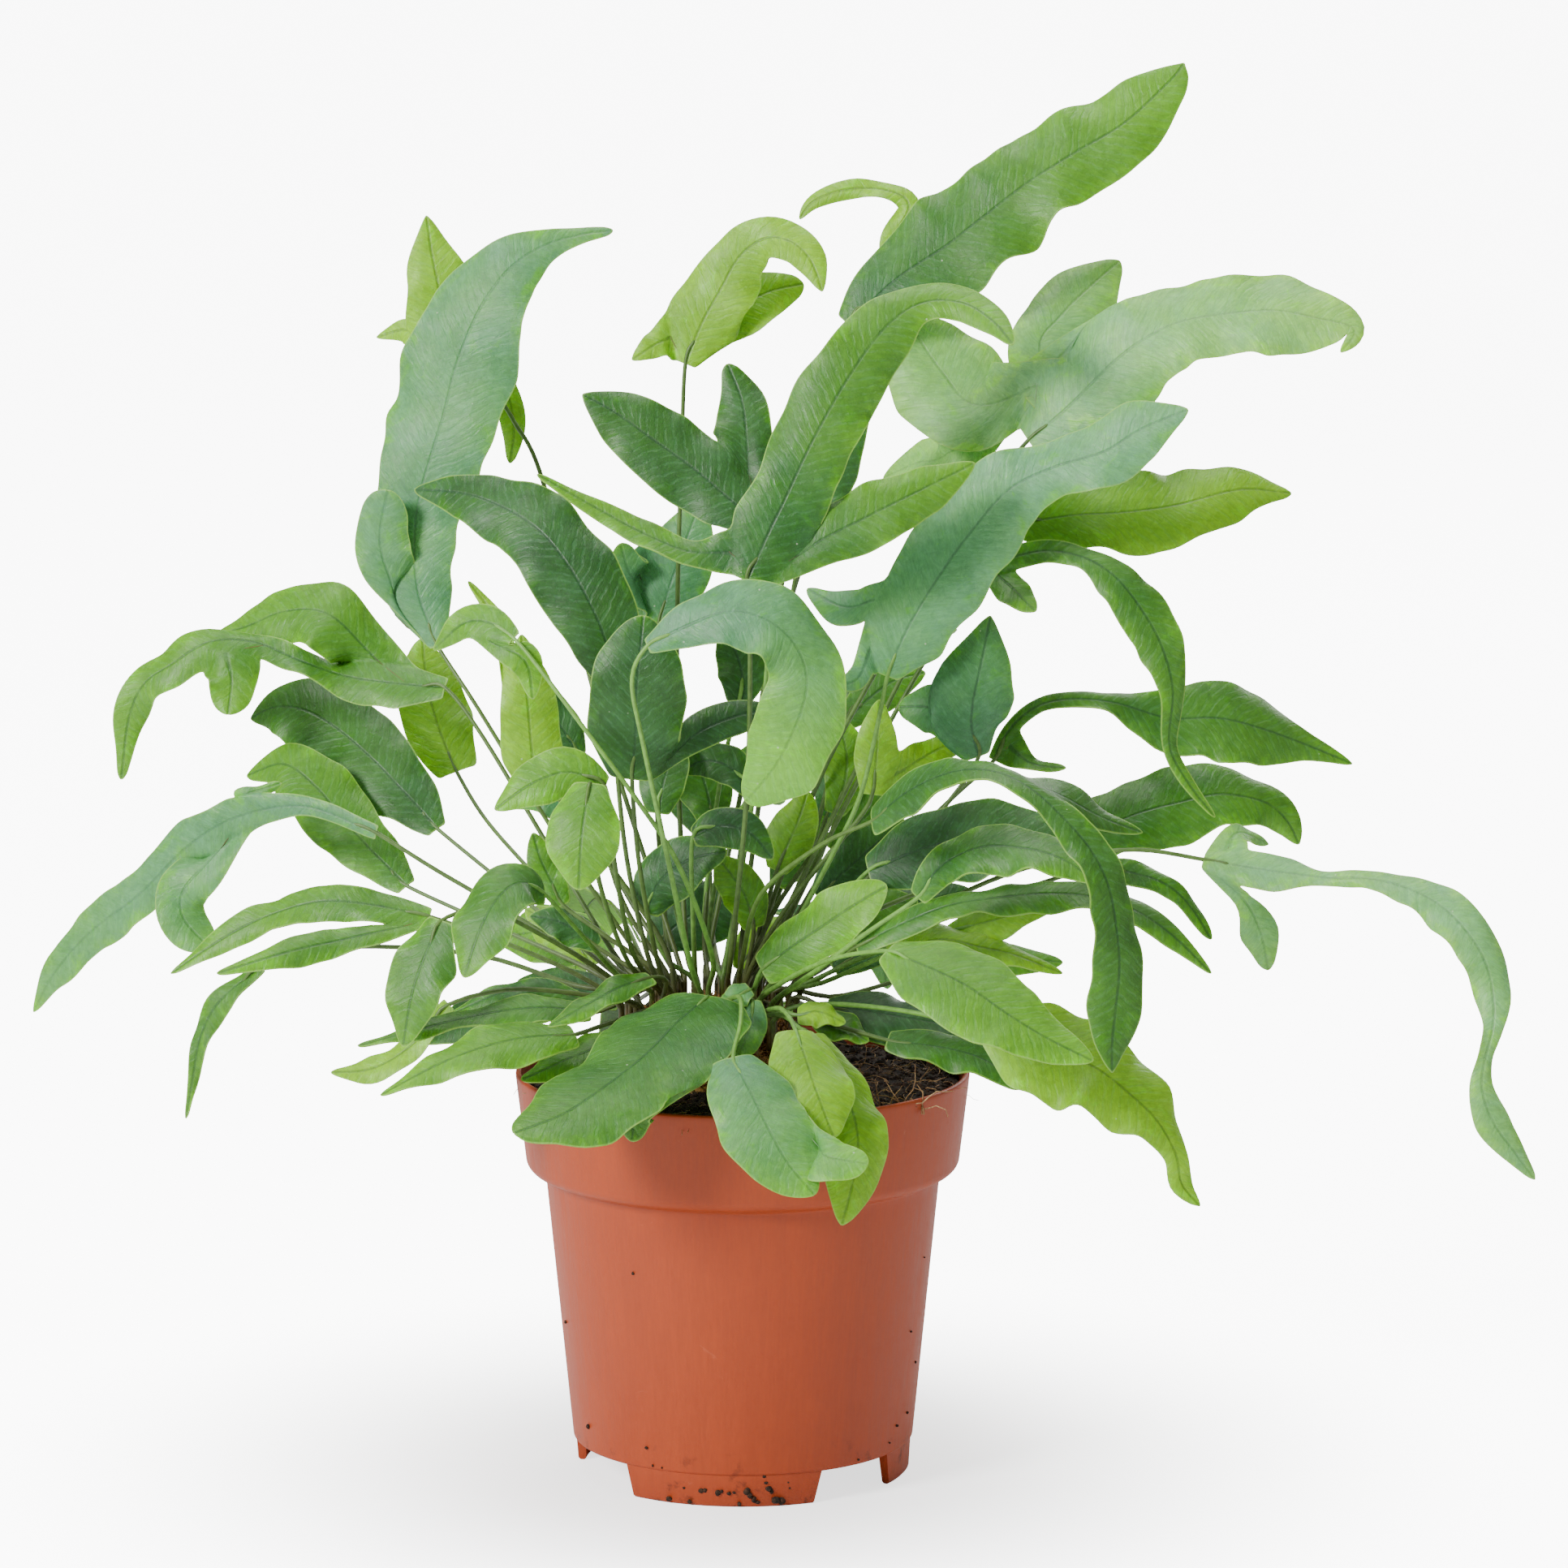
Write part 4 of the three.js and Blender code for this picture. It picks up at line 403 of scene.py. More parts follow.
        lobe([[38, 191, -11, 2.5], [46, 196, -7, 4.5], [54, 200, -3, 3.5], [61, 200, 1, 0.8]])),
    frond("frond_inner_right", "dark", [0, 20], [0.5, 2.5], [[8, 156, 4], [20, 174, 8]],
        blade([[24, 182, 10, 3], [27, 191, 12, 5.5], [27, 200, 14, 5.5], [24, 208, 15, 1]])),
    frond("frond_inner_right", "green", [0, 25], [0.5, 2.5], [[4, 150, 4]],
        blade([[9, 167, 5, 3], [12, 174, 6, 6.5], [15, 181, 7, 6], [17, 188, 9, 1.5]])),
    frond("frond_inner_right", "dark", [0, 25], [0.5, 2.5], [[2, 145, 2]],
        blade([[3, 152, 0, 3], [1, 160, -2, 6.5], [-3, 166, -3, 5.5], [-7, 171, -3, 1]])),
    frond("frond_back_centre", "green", [180, 40], [-7, 20], [[-4, 146, 44], [0, 176, 72]],
        blade([[4, 192, 84, 3], [9, 201, 92, 10], [14, 206, 101, 12], [18, 205, 110, 9],
            [21, 198, 118, 1]])),
    frond("frond_back_left", "fresh", [150, 45], [-17, 20], [[-24, 140, 42], [-30, 152, 60]],
        blade([[-34, 158, 72, 3], [-38, 160, 82, 9], [-41, 157, 92, 10], [-43, 150, 102, 7.5],
            [-44, 138, 112, 1]])),
    frond("frond_back_right", "blue", [160, 45], [3, 20], [[10, 140, 42], [18, 152, 60]],
        blade([[24, 157, 72, 3], [29, 158, 83, 9.5], [33, 155, 94, 10.5], [36, 148, 104, 7.5],
            [38, 136, 114, 1]])),
    frond("frond_back_left_high", "blue", [200, 30], [-12, 20], [[-16, 150, 44], [-24, 190, 72]],
        blade([[-30, 212, 84, 4.5], [-33, 223, 90, 11], [-35, 234, 96, 12], [-36, 243, 103, 9],
            [-36, 250, 110, 1]])),
    frond("frond_back_right_high", "green", [170, 30], [-2, 20], [[4, 148, 36], [20, 186, 56],
        [34, 216, 70]],
        blade([[41, 228, 76, 4.5], [46, 236, 82, 10], [51, 243, 89, 11.5], [56, 247, 97, 9],
            [61, 247, 106, 1]])),
    frond("frond_back_top", "green", [180, 25], [-5, 15.5], [[-2, 150, 30], [4, 205, 48], [12, 250, 62]],
        blade([[17, 264, 68, 4.5], [20, 274, 74, 10], [23, 284, 81, 10.5], [25, 292, 89, 7.5],
            [26, 297, 98, 1]])),
    frond("frond_back_drop", "dark", [170, 50], [-20, 16], [[-26, 134, 42]],
        blade([[-28, 132, 58, 3], [-29, 130, 70, 9], [-28, 124, 82, 10], [-27, 115, 92, 7.5],
            [-26, 102, 98, 1]])),
    frond("frond_back_drop_right", "fresh", [160, 50], [6, 16], [[12, 134, 40]],
        blade([[16, 132, 56, 3], [19, 131, 68, 9], [22, 126, 80, 10], [24, 117, 91, 7.5],
            [25, 104, 99, 1]])),
]

# Lesser fronds that fill the heart of the plant, between the stipes of the part's own: green, the way
# each faces, its root, the one point of its stipe between root and blade, and its blade's rib
WITHIN = [
    ("green", [0, 25], [-9, 3], [-10, 150, 14], [[-8, 178, 24, 3], [-9, 187, 26, 7.5], [-12, 196, 28, 8],
        [-14, 205, 30, 1.5]]),
    ("dark", [10, 25], [2, 5], [10, 148, 12], [[20, 160, 20, 3], [27, 167, 23, 7], [35, 174, 26, 7],
        [43, 180, 29, 1.5]]),
    ("dark", [0, 30], [-16, 14], [-20, 140, 26], [[-23, 147, 34, 3], [-17, 153, 40, 9], [-8, 158, 46, 9.5],
        [3, 161, 53, 1]]),
    ("fresh", [-10, 35], [-20, 12], [-28, 138, 26], [[-35, 145, 36, 3], [-43, 149, 41, 8],
        [-53, 151, 46, 8.5], [-65, 149, 52, 1]]),
    ("green", [0, 30], [3, 13], [8, 140, 22], [[14, 147, 32, 3], [22, 153, 38, 9], [32, 157, 44, 9.5],
        [46, 159, 51, 1]]),
    ("dark", [-15, 45], [-24, 6], [-38, 130, 16], [[-50, 130, 20, 2.5], [-60, 131, 22, 5.5],
        [-70, 129, 24, 6], [-84, 122, 26, 1]]),
    ("dark", [15, 50], [8, 4], [20, 128, 8], [[30, 126, 10, 2.5], [42, 128, 12, 5.5], [54, 127, 13, 6],
        [68, 124, 14, 1]]),
    ("green", [10, 45], [9, 6], [24, 134, 14], [[40, 138, 20, 2.5], [54, 142, 24, 5], [68, 144, 28, 5],
        [84, 143, 32, 1]]),
    ("fresh", [-20, 50], [-22, -12], [-25, 127, -20], [[-28, 125, -23, 2], [-37, 121, -29, 4.5],
        [-47, 117, -34, 4.5], [-58, 112, -39, 1]]),
    ("green", [20, 50], [6, -10], [13, 127, -17], [[19, 128, -20, 1.5], [23, 127, -22, 3.5],
        [28, 125, -24, 3.5], [33, 122, -26, 1]]),
    ("dark", [-10, 35], [-20, 4], [-30, 142, 7], [[-38, 147, 9, 2], [-43, 151, 10, 4.5],
        [-49, 154, 11, 4.5], [-56, 155, 12, 1]]),
    ("dark", [10, 40], [8, 0], [15, 136, 0], [[24, 141, 1, 2], [32, 146, 3, 5], [41, 150, 5, 5],
        [51, 153, 7, 1]]),
    ("green", [-5, 25], [-19, 2], [-36, 150, 6], [[-47, 158, 9, 2], [-50, 164, 10, 4.5],
        [-53, 170, 11, 4.5], [-55, 177, 12, 1]]),
    ("dark", [-10, 45], [-18, 8], [-26, 131, 16], [[-32, 132, 20, 2], [-40, 136, 24, 5], [-49, 138, 28, 5],
        [-59, 138, 32, 1]]),
    ("olive", [0, 30], [-4, 10], [-3, 135, 20], [[-1, 141, 26, 2], [3, 147, 30, 6], [8, 151, 34, 6],
        [14, 154, 38, 1]]),
    ("green", [5, 30], [0, 8], [12, 152, 22], [[24, 172, 34, 3], [31, 180, 38, 7], [39, 187, 42, 7.5],
        [47, 193, 46, 1.5]]),
    ("blue", [0, 30], [4, 12], [14, 160, 30], [[22, 181, 37, 2.5], [24, 188, 38, 5.5], [26, 196, 39, 5.5],
        [27, 205, 40, 1.5]]),
    ("green", [5, 40], [1, 14], [5, 146, 34], [[9, 163, 43, 2.5], [13, 170, 46, 6.5], [17, 177, 49, 6.5],
        [22, 185, 52, 1]]),
    ("blue", [-5, 30], [-19, 10], [-31, 158, 17], [[-39, 182, 22, 2.5], [-45, 187, 23, 7.5],
        [-53, 189, 24, 8], [-63, 184, 25, 1]]),
    ("dark", [0, 20], [-17, 15], [-33, 166, 32], [[-43, 197, 40, 2.5], [-47, 204, 41, 6], [-52, 210, 42, 6],
        [-58, 214, 43, 1]]),
    ("olive", [0, 35], [-22, 10], [-33, 137, 26], [[-39, 142, 34, 2.5], [-44, 148, 38, 6.5],
        [-50, 153, 42, 6.5], [-57, 157, 46, 1]]),
    ("dark", [10, 40], [6, 13], [19, 140, 34], [[31, 149, 46, 2.5], [40, 155, 50, 6.5], [49, 159, 54, 7],
        [60, 162, 58, 1]]),
    ("dark", [0, 35], [-6, 15], [-8, 152, 36], [[-9, 176, 46, 2.5], [-12, 184, 49, 7], [-16, 192, 52, 7.5],
        [-22, 200, 55, 1]]),
    ("green", [0, 30], [5, 11], [17, 170, 28], [[27, 206, 36, 2.5], [33, 212, 38, 6], [40, 217, 40, 6],
        [48, 219, 42, 1]]),
]
INNER_FRONDS = [
    frond("frond_within", green, faces, root, [bend], blade(rib))
    for green, faces, root, bend, rib in WITHIN
]

# How young a frond is at its base and at its tip: 0 is an old blue-green, 1 is a new lime
YOUTH_OF_GREEN = {
    "blue": (0.0, 0.4), "green": (0.25, 0.6), "fresh": (0.4, 0.85), "dark": (0.05, 0.25),
    "olive": (0.7, 1.0),
}
YOUTH = {
    "frond_far_left": (0.0, 0.5),
    "frond_left_two_arm": (0.3, 1.0),
    "frond_upper_left": (0.1, 0.2),
    "frond_left_arch": (0.1, 0.1),
    "frond_centre": (0.0, 1.15),
    "frond_centre_hanging": (-0.4, 1.5),
    "frond_top_centre": (0.7, 1.0),
    "frond_top_back": (0.9, 1.0),
    "frond_top_right": (0.0, 1.2),
    "frond_right_pale": (0.0, 0.7),
    "frond_left_upper_strap": (0.2, 0.7),
    "frond_right_bright_arch": (0.0, 0.5),
    "frond_right_blue": (0.1, 0.15),
    "frond_right_yellow_tip": (0.2, 1.3),
    "frond_right_long_neck": (0.2, 0.6),
    "frond_far_right": (0.0, 0.3),
    "frond_front_right_droop": (0.35, 0.8),
    "frond_right_drop": (0.8, 1.2),
    "frond_right_back_strap": (0.1, 0.5),
    "frond_front_left_big": (0.1, 0.45),
    "frond_front_fold": (0.1, 0.9),
    "frond_front_yellow": (0.75, 0.9),
}
# Fronds whose stipe is pale green, where the others' are dark
PALE_STIPES = {
    "frond_front_left_big", "frond_front_fold", "frond_front_yellow", "frond_crown_bright",
    "frond_pale_long", "frond_centre_hanging", "frond_left_fold", "frond_front_right_bright",
    "frond_right_blue", "frond_right_dark", "frond_right_bright_arch", "frond_inner_low",
    "frond_upper_centre", "frond_right_drop", "frond_right_pair",
}
# Fronds whose rib is paler than the blade
PALE_RIBS = {
    "frond_upper_left", "frond_right_yellow_tip", "frond_right_pale", "frond_front_fold",
    "frond_top_centre", "frond_top_back", "frond_pale_long",
}


# What sets the draws of one frond, and of one lobe, apart from the next
SEED_PER_LETTER = 11.7
SEED_PER_LOBE = 3.1
# How far apart the noise of a blade's two edges lies, and how far along that of its ruffles
EDGE_LANE = 7.3
RUFFLE_SHIFT = 5
# How closely the waves and the ruffles keep to a blade's edge
EDGE_HOLD = 1.6
RUFFLE_HOLD = 3
# How thick a lobe's rib is beside the blade's own
LOBE_RIB_SHARE = 0.7


def unit(v):
    """The directions alone"""
    return v / np.maximum(np.linalg.norm(v, axis=-1, keepdims=True), 1e-9)


def place(point):
    """A point given as it is seen, in millimetres in the part's frame"""
    across, up, back = point
    sine, cosine = math.sin(EYE_TILT), math.cos(EYE_TILT)
    rise = up - AIM_UP
    reach = (back + EYE_DISTANCE * cosine) / (EYE_DISTANCE * cosine + rise * sine)
    height = AIM_HEIGHT + EYE_DISTANCE * sine + reach * (rise * cosine - EYE_DISTANCE * sine)
    return np.array([AIM_ACROSS + reach * (across - AIM_ACROSS), back, height])


def facing(azimuth, height):
    """The direction at an angle round from the front and an angle up, both in degrees"""
    a, h = math.radians(azimuth), math.radians(height)
    return np.array([math.sin(a) * math.cos(h), -math.cos(a) * math.cos(h), math.sin(h)])


def spread(values, shares):
    """Values from a list that is spread evenly from 0 to 1"""
    if len(values) == 1:
        return np.full(len(shares), values[0], float)
    return np.interp(shares, np.linspace(0, 1, len(values)), values)


class Route:
    """A smooth curve through points"""

    SAMPLES = 201

    def __init__(self, points):
        points = np.array(points, float)
        self.count = len(points)
        self.padded = np.vstack([2 * points[0] - points[1], points, 2 * points[-1] - points[-2]])
        self.times = np.linspace(0, 1, self.SAMPLES)
        steps = np.linalg.norm(np.diff(self.point(self.times), axis=0), axis=1)
        self.run = np.concatenate([[0], np.cumsum(steps)])
        self.length = self.run[-1]

    def spans(self, times):
        """The stretch of the curve that each time lies in: share, ends and slopes"""
        x = np.clip(times, 0, 1) * (self.count - 1)
        i = np.minimum(x.astype(int), self.count - 2)
        p0, p1, p2, p3 = (self.padded[i + k] for k in range(4))
        return (x - i)[:, None], p1, p2, (p2 - p0) / 2, (p3 - p1) / 2

    def point(self, times):
        """Where the curve is at each time"""
        w, p1, p2, t1, t2 = self.spans(times)
        return p1 + w * t1 + w**2 * (3 * (p2 - p1) - 2 * t1 - t2) + w**3 * (2 * (p1 - p2) + t1 + t2)

    def tangent(self, times):
        """The curve's direction at each time"""
        w, p1, p2, t1, t2 = self.spans(times)
        return unit(t1 + 2 * w * (3 * (p2 - p1) - 2 * t1 - t2) + 3 * w**2 * (2 * (p1 - p2) + t1 + t2))

    def times_at(self, shares):
        """The curve's times at shares of its length"""
        return np.interp(np.asarray(shares) * self.length, self.run, self.times)


def true_half(seen, side, tangent):
    """The half width that looks as wide as given from the eye, within reason where it is seen edge on"""
    level = unit(np.cross(tangent, SIGHT))
    return seen / np.maximum(NARROWEST_VIEW, np.abs((level * side).sum(axis=1)))


class Ribbon:
    """A blade or lobe along its rib: centres, cross directions and half widths at shares of its length"""

    def __init__(self, shape, start, toward, seed):
        self.shape = shape
        self.seed = seed
        self.curve = Route([start] + [place(p[:3]) for p in shape["rib"][1:]])
        self.seen = [p[3] for p in shape["rib"]]
        self.toward = toward
        length = self.curve.length
        self.cap = max(TIP_ROW, ROUND_TIP * self.seen[-1]) / length
        self.rows = max(FEWEST_ROWS, int(length / ROW_SPACING + 0.5))

    def coarse(self):
        """The part's own rows, but for the tip"""
        return np.arange(self.rows) / (self.rows - 1) * (1 - self.cap)

    def fine(self):
        """Closer rows, with a rounded tip"""
        steps = (self.rows - 1) * ROWS_BETWEEN
        body = np.arange(steps + 1) / steps * (1 - self.cap)
        ease = np.sin(np.linspace(0, math.pi / 2, TIP_ROWS + 1)[1:])
        return np.concatenate([body, 1 - self.cap * (1 - ease)])

    def frames(self, shares):
        """Where the rib is at each share, the directions across and out of the blade, and the half width"""
        times = self.curve.times_at(shares)
        tangent = self.curve.tangent(times)
        flat = unit(np.cross(tangent, self.toward))
        out = np.cross(flat, tangent)
        turn = np.radians(spread(self.shape["turn"], shares))[:, None]
        side = flat * np.cos(turn) + out * np.sin(turn)
        normal = np.cross(side, tangent)
        width = spread(self.seen, times)
        near = np.maximum(0, 1 - (1 - shares) * self.curve.length / np.maximum(width, TIP_ROW))
        half = true_half(width, side, tangent) * np.sqrt(np.maximum(0, 1 - near**2))
        return self.curve.point(times), side, normal, half

    def edge_lift(self, shares, half, sign):
        """How far the part's own waves and droop lift one edge"""
        height, count = self.shape["wave"]
        phase = WAVE_START + sign * WAVE_APART / 2
        waves = np.sin(math.pi * shares) * height * np.sin(2 * math.pi * count * shares + phase)
        return waves - EDGE_DROOP * half

    def part_edge(self, shares, sign):
        """The part's own edge, which its lobes are set by"""
        centre, side, normal, half = self.frames(shares)
        return centre + side * (sign * half)[:, None] + normal * self.edge_lift(shares, half, sign)[:, None]

    def wander(self, shares, sign, length):
        """Slow noise from -1 to 1 along one edge"""
        run = shares * self.curve.length / length
        return np.array([noise.noise(Vector((x, EDGE_LANE * sign, self.seed))) for x in run])

    def grid(self, shares, columns):
        """Points across the ribbon at each share, with how far across and along they lie"""
        centre, side, normal, half = self.frames(shares)
        rows = []
        for c in columns:
            sign = 1 if c > 0 else -1
            reach = abs(c)
            full = half * (1 + SINUOSITY * self.wander(shares, sign, RUFFLE_LENGTH)) if c else half
            free = np.sin(math.pi * np.clip(shares, 0, 1)) * np.minimum(1, half / WIDE_LOBE)
            lift = self.edge_lift(shares, half, sign) * reach**EDGE_HOLD
            lift = lift + CROWNING * half * math.sin(math.pi * reach)
            ruffle = self.wander(shares + RUFFLE_SHIFT, sign, RUFFLE_LENGTH / 2) * 2
            lift = lift + RUFFLE * free * reach**RUFFLE_HOLD * ruffle
            rows.append(centre + side * (c * full)[:, None] + normal * lift[:, None])
        points = np.stack(rows, axis=1)
        across = half[:, None] * np.array(columns)[None, :]
        along = np.repeat((shares * self.curve.length)[:, None], len(columns), axis=1)
        return points, np.stack([across, along], axis=2)


class Sheet:
    """The blades of a node as one sheet, with what the materials read: places on the blade and youth"""

    def __init__(self):
        self.points = []
        self.youth = []
        self.faces = []
        self.places = []

    def add_row(self, points, youth):
        """Adds a row of points, and gives their numbers"""
        first = len(self.points)
        self.points.extend(points)
        self.youth.extend([youth] * len(points))
        return list(range(first, first + len(points)))

    def knit(self, near, far, near_places, far_places):
        """Adds the faces between two rows, of which the far one may be a single point"""
        for c in range(len(near) - 1):
            if len(far) == 1:
                self.faces.append((near[c], near[c + 1], far[0]))
                self.places += [near_places[c], near_places[c + 1], far_places[0]]
            else:
                self.faces.append((near[c], near[c + 1], far[c + 1], far[c]))
                self.places += [near_places[c], near_places[c + 1], far_places[c + 1], far_places[c]]

    def add_ribbon(self, points, places, youth, rows=None):
        """Knits a ribbon's rows; rows holds those that are there already"""
        rows = list(rows or [])
        for i in range(len(rows), len(points) - 1):
            rows.append(self.add_row(points[i], youth[i]))
        middle = len(points[-1]) // 2
        rows.append(self.add_row([points[-1][middle]], youth[-1]))
        for i in range(1, len(rows)):
            far_places = places[i] if i < len(rows) - 1 else [places[i][middle]]
            self.knit(rows[i - 1], rows[i], places[i - 1], far_places)
        return rows


def nearest_run(edges, first, pieces, taken):
    """The free run of the blade's edge that lies nearest to a lobe's start: its side, row and middle"""
    best = None
    for sign, edge in edges.items():
        for i in range(len(edge) - pieces):
            if any((sign, k) in taken for k in range(i, i + pieces)):
                continue
            middle = (edge[i] + edge[i + pieces]) / 2
            distance = np.linalg.norm(middle - first)
            if best is None or distance < best[0]:
                best = (distance, sign, i, middle)
    return best[1:]


def add_blades(sheet, spec, seed):
    """Adds a frond's blade and lobes to a sheet and gives the lines of its ribs"""
    toward = facing(*spec["faces"])
    base_youth, tip_youth = YOUTH.get(spec["name"], YOUTH_OF_GREEN[spec["green"]])
    main = Ribbon(spec["main"], place(spec["main"]["rib"][0][:3]), toward, seed)
    shares = main.fine()
    points, places = main.grid(shares, COLUMNS)
    youth = base_youth + (tip_youth - base_youth) * shares**1.3
    rows = sheet.add_ribbon(points, places, youth)
    rib = points[:, len(COLUMNS) // 2]
    ribs = [(rib, 1.0)]
    edges = {sign: main.part_edge(main.coarse(), sign) for sign in (-1, 1)}
    taken = set()
    for number, shape in enumerate(spec["lobes"]):
        pieces = 2 if shape["rib"][1][3] >= WIDE_LOBE else 1
        sign, i, middle = nearest_run(edges, place(shape["rib"][0][:3]), pieces, taken)
        taken |= {(sign, k) for k in range(i, i + pieces)}
        steps = list(range(i * ROWS_BETWEEN, (i + pieces) * ROWS_BETWEEN + 1))[::-sign]
        root = [rows[k][0 if sign < 0 else -1] for k in steps]
        ribbon = Ribbon(shape, middle, toward, seed + SEED_PER_LOBE * (number + 1))
        line = add_lobe(sheet, ribbon, root, youth[steps[0]], tip_youth)
        branch = max(0, i * ROWS_BETWEEN + pieces * ROWS_BETWEEN // 2 - ROWS_BETWEEN)
        ribs.append((np.vstack([rib[branch], line]), LOBE_RIB_SHARE))
    return ribs


def add_lobe(sheet, ribbon, root, base_youth, tip_youth):
    """Grows a lobe out of a run of the blade's edge, and gives the line of its rib"""
    columns = np.linspace(-1, 1, len(root))
    shares = ribbon.fine()
    points, places = ribbon.grid(shares, columns)
    edge = np.array([sheet.points[k] for k in root])
    settle = np.clip(1 - shares / ribbon.coarse()[1], 0, 1)
    settle = settle**2 * (3 - 2 * settle)
    points = points + settle[:, None, None] * (edge - points[0])[None]
    youth = base_youth + (tip_youth - base_youth) * shares
    sheet.add_ribbon(points, places, youth, [root])
    middle = len(columns) // 2
    return points[:, middle]


def mesh_object(name, points, faces):
    """An object from points in millimetres"""
    mesh = bpy.data.meshes.new(name)
    mesh.from_pydata((np.asarray(points) * MM).tolist(), [], faces)
    made = bpy.data.objects.new(name, mesh)
    bpy.context.scene.collection.objects.link(made)
    return made


def plain_mesh(made):
    """The object with its modifiers carried out"""
    graph = bpy.context.evaluated_depsgraph_get()
    mesh = bpy.data.meshes.new_from_object(made.evaluated_get(graph))
    made.modifiers.clear()
    made.data = mesh
    return made


def read(source, name, size):
    """The values that Blender holds under a name, in rows of a size"""
    values = np.zeros(len(source) * size, np.float32)
    source.foreach_get(name, values)
    return values.reshape(-1, size)


def smoothed(sheet):
    """The sheet divided once more and smoothed: points, normals, faces, places and youth"""
    made = mesh_object("sheet", sheet.points, sheet.faces)
    mesh = made.data
    places = mesh.uv_layers.new(name="blade")
    places.data.foreach_set("uv", np.array(sheet.places, np.float32).ravel())
    youth = mesh.attributes.new("youth", "FLOAT", "POINT")
    youth.data.foreach_set("value", np.array(sheet.youth, np.float32))
    finer = made.modifiers.new("finer", "SUBSURF")
    finer.levels = finer.render_levels = 1
    finer.boundary_smooth = "ALL"
    finer.uv_smooth = "NONE"
    plain_mesh(made)
    mesh = made.data
    result = {
        "points": read(mesh.vertices, "co", 3) / MM,
        "normals": read(mesh.vertex_normals, "vector", 3),
        "faces": [tuple(p.vertices) for p in mesh.polygons],
        "places": read(mesh.uv_layers["blade"].data, "uv", 2),
        "youth": read(mesh.attributes["youth"].data, "value", 1)[:, 0],
    }
    bpy.data.objects.remove(made)
    return result


# How far from the edge anything lies that isn't a blade, in millimetres
FAR_FROM_EDGE = 9.0
# Edges that turn by more than this many degrees are shown sharp
SHARP_ANGLE = 55


class Build:
    """Points and faces gathered for one object, with their material and what the materials read"""

    def __init__(self):
        self.points = []
        self.faces = []
        self.slots = []
        self.places = []
        self.youth = []
        self.margin = []

    def add(self, points, faces, places, slot, youth=0.0, margin=FAR_FROM_EDGE):
        """Adds points and faces, with a place for every corner of a face"""
        first = len(self.points)
        count = len(points)
        self.points.extend(np.asarray(points).tolist())
        self.faces += [tuple(first + k for k in face) for face in faces]
        self.places.append(np.asarray(places, float))
        self.slots += [slot] * len(faces)
        self.youth.append(np.broadcast_to(np.asarray(youth, float), (count,)))
        self.margin.append(np.broadcast_to(np.asarray(margin, float), (count,)))

    def add_plain(self, points, faces):
        """Adds faces of the first material, which don't lie along a blade or a stem"""
        self.add(points, faces, np.zeros((sum(len(face) for face in faces), 2)), 0)

    def finish(self, name, materials):
        """The gathered points and faces as one object"""
        made = mesh_object(name, self.points, self.faces)
        mesh = made.data
        places = np.concatenate(self.places).astype(np.float32)
        mesh.uv_layers.new(name="blade").data.foreach_set("uv", places.ravel())
        for label, values in (("youth", self.youth), ("margin", self.margin)):
            layer = mesh.attributes.new(label, "FLOAT", "POINT")
            layer.data.foreach_set("value", np.concatenate(values).astype(np.float32))
        for material in materials:
            mesh.materials.append(material)
        mesh.polygons.foreach_set("material_index", self.slots)
        mesh.polygons.foreach_set("use_smooth", [True] * len(mesh.polygons))
        mesh.set_sharp_from_angle(angle=math.radians(SHARP_ANGLE))
        return made


# Points whose distances are worked out at once
BLOCK = 500


def rim_distance(points, open_edges):
    """How far each point lies from the sheet's open edge"""
    rim = points[np.array(sorted({k for edge in open_edges for k in edge}))]
    blocks = [points[k:k + BLOCK, None] - rim[None] for k in range(0, len(points), BLOCK)]
    return np.concatenate([np.linalg.norm(block, axis=2).min(axis=1) for block in blocks])


def thicken(build, fine):
    """Gives the smoothed sheet its thickness, with the upper skin, the underside and the margin between"""
    points, faces, places, youth = fine["points"], fine["faces"], fine["places"], fine["youth"]
    seen = dict.fromkeys((a, b) for face in faces for a, b in zip(face, face[1:] + face[:1]))
    open_edges = [(a, b) for a, b in seen if (b, a) not in seen]
    margin = rim_distance(points, open_edges)
    lift = fine["normals"] * HALF_THICKNESS
    corners = np.cumsum([0] + [len(face) for face in faces])
    flipped = [places[corner:corner + len(face)][::-1] for face, corner in zip(faces, corners)]
    at = {k: places[corner + step] for face, corner in zip(faces, corners) for step, k in enumerate(face)}
    first, count = len(build.points), len(points)
    build.add(points + lift, faces, places, 0, youth, margin)
    build.add(points - lift, [face[::-1] for face in faces], np.concatenate(flipped), 1, youth, margin)
    for a, b in open_edges:
        build.faces.append((first + b, first + a, first + a + count, first + b + count))
        build.slots.append(0)
        build.places.append(np.array([at[b], at[a], at[a], at[b]]))


def tube(centres, first_axis, second_axis, count):
    """Points and faces of a closed tube: each ring spans the two axes, which hold its half sizes"""
    angles = 2 * math.pi * np.arange(count) / count
    across = np.cos(angles)[None, :, None] * first_axis[:, None]
    up = np.sin(angles)[None, :, None] * second_axis[:, None]
    points = (centres[:, None] + (across + up)).reshape(-1, 3)
    faces = []
    for i in range(len(centres) - 1):
        for k in range(count):
            a, b = i * count + k, i * count + (k + 1) % count
            faces.append((a, b, b + count, a + count))
    last = (len(centres) - 1) * count
    faces.append(tuple(range(count))[::-1])
    faces.append(tuple(last + k for k in range(count)))
    return points, faces


def tube_places(centres, faces, count):
    """How far round and along a tube each face corner lies, in millimetres"""
    run = np.concatenate([[0], np.cumsum(np.linalg.norm(np.diff(centres, axis=0), axis=1))])
    return np.array([[k % count, run[k // count]] for face in faces for k in face], float)


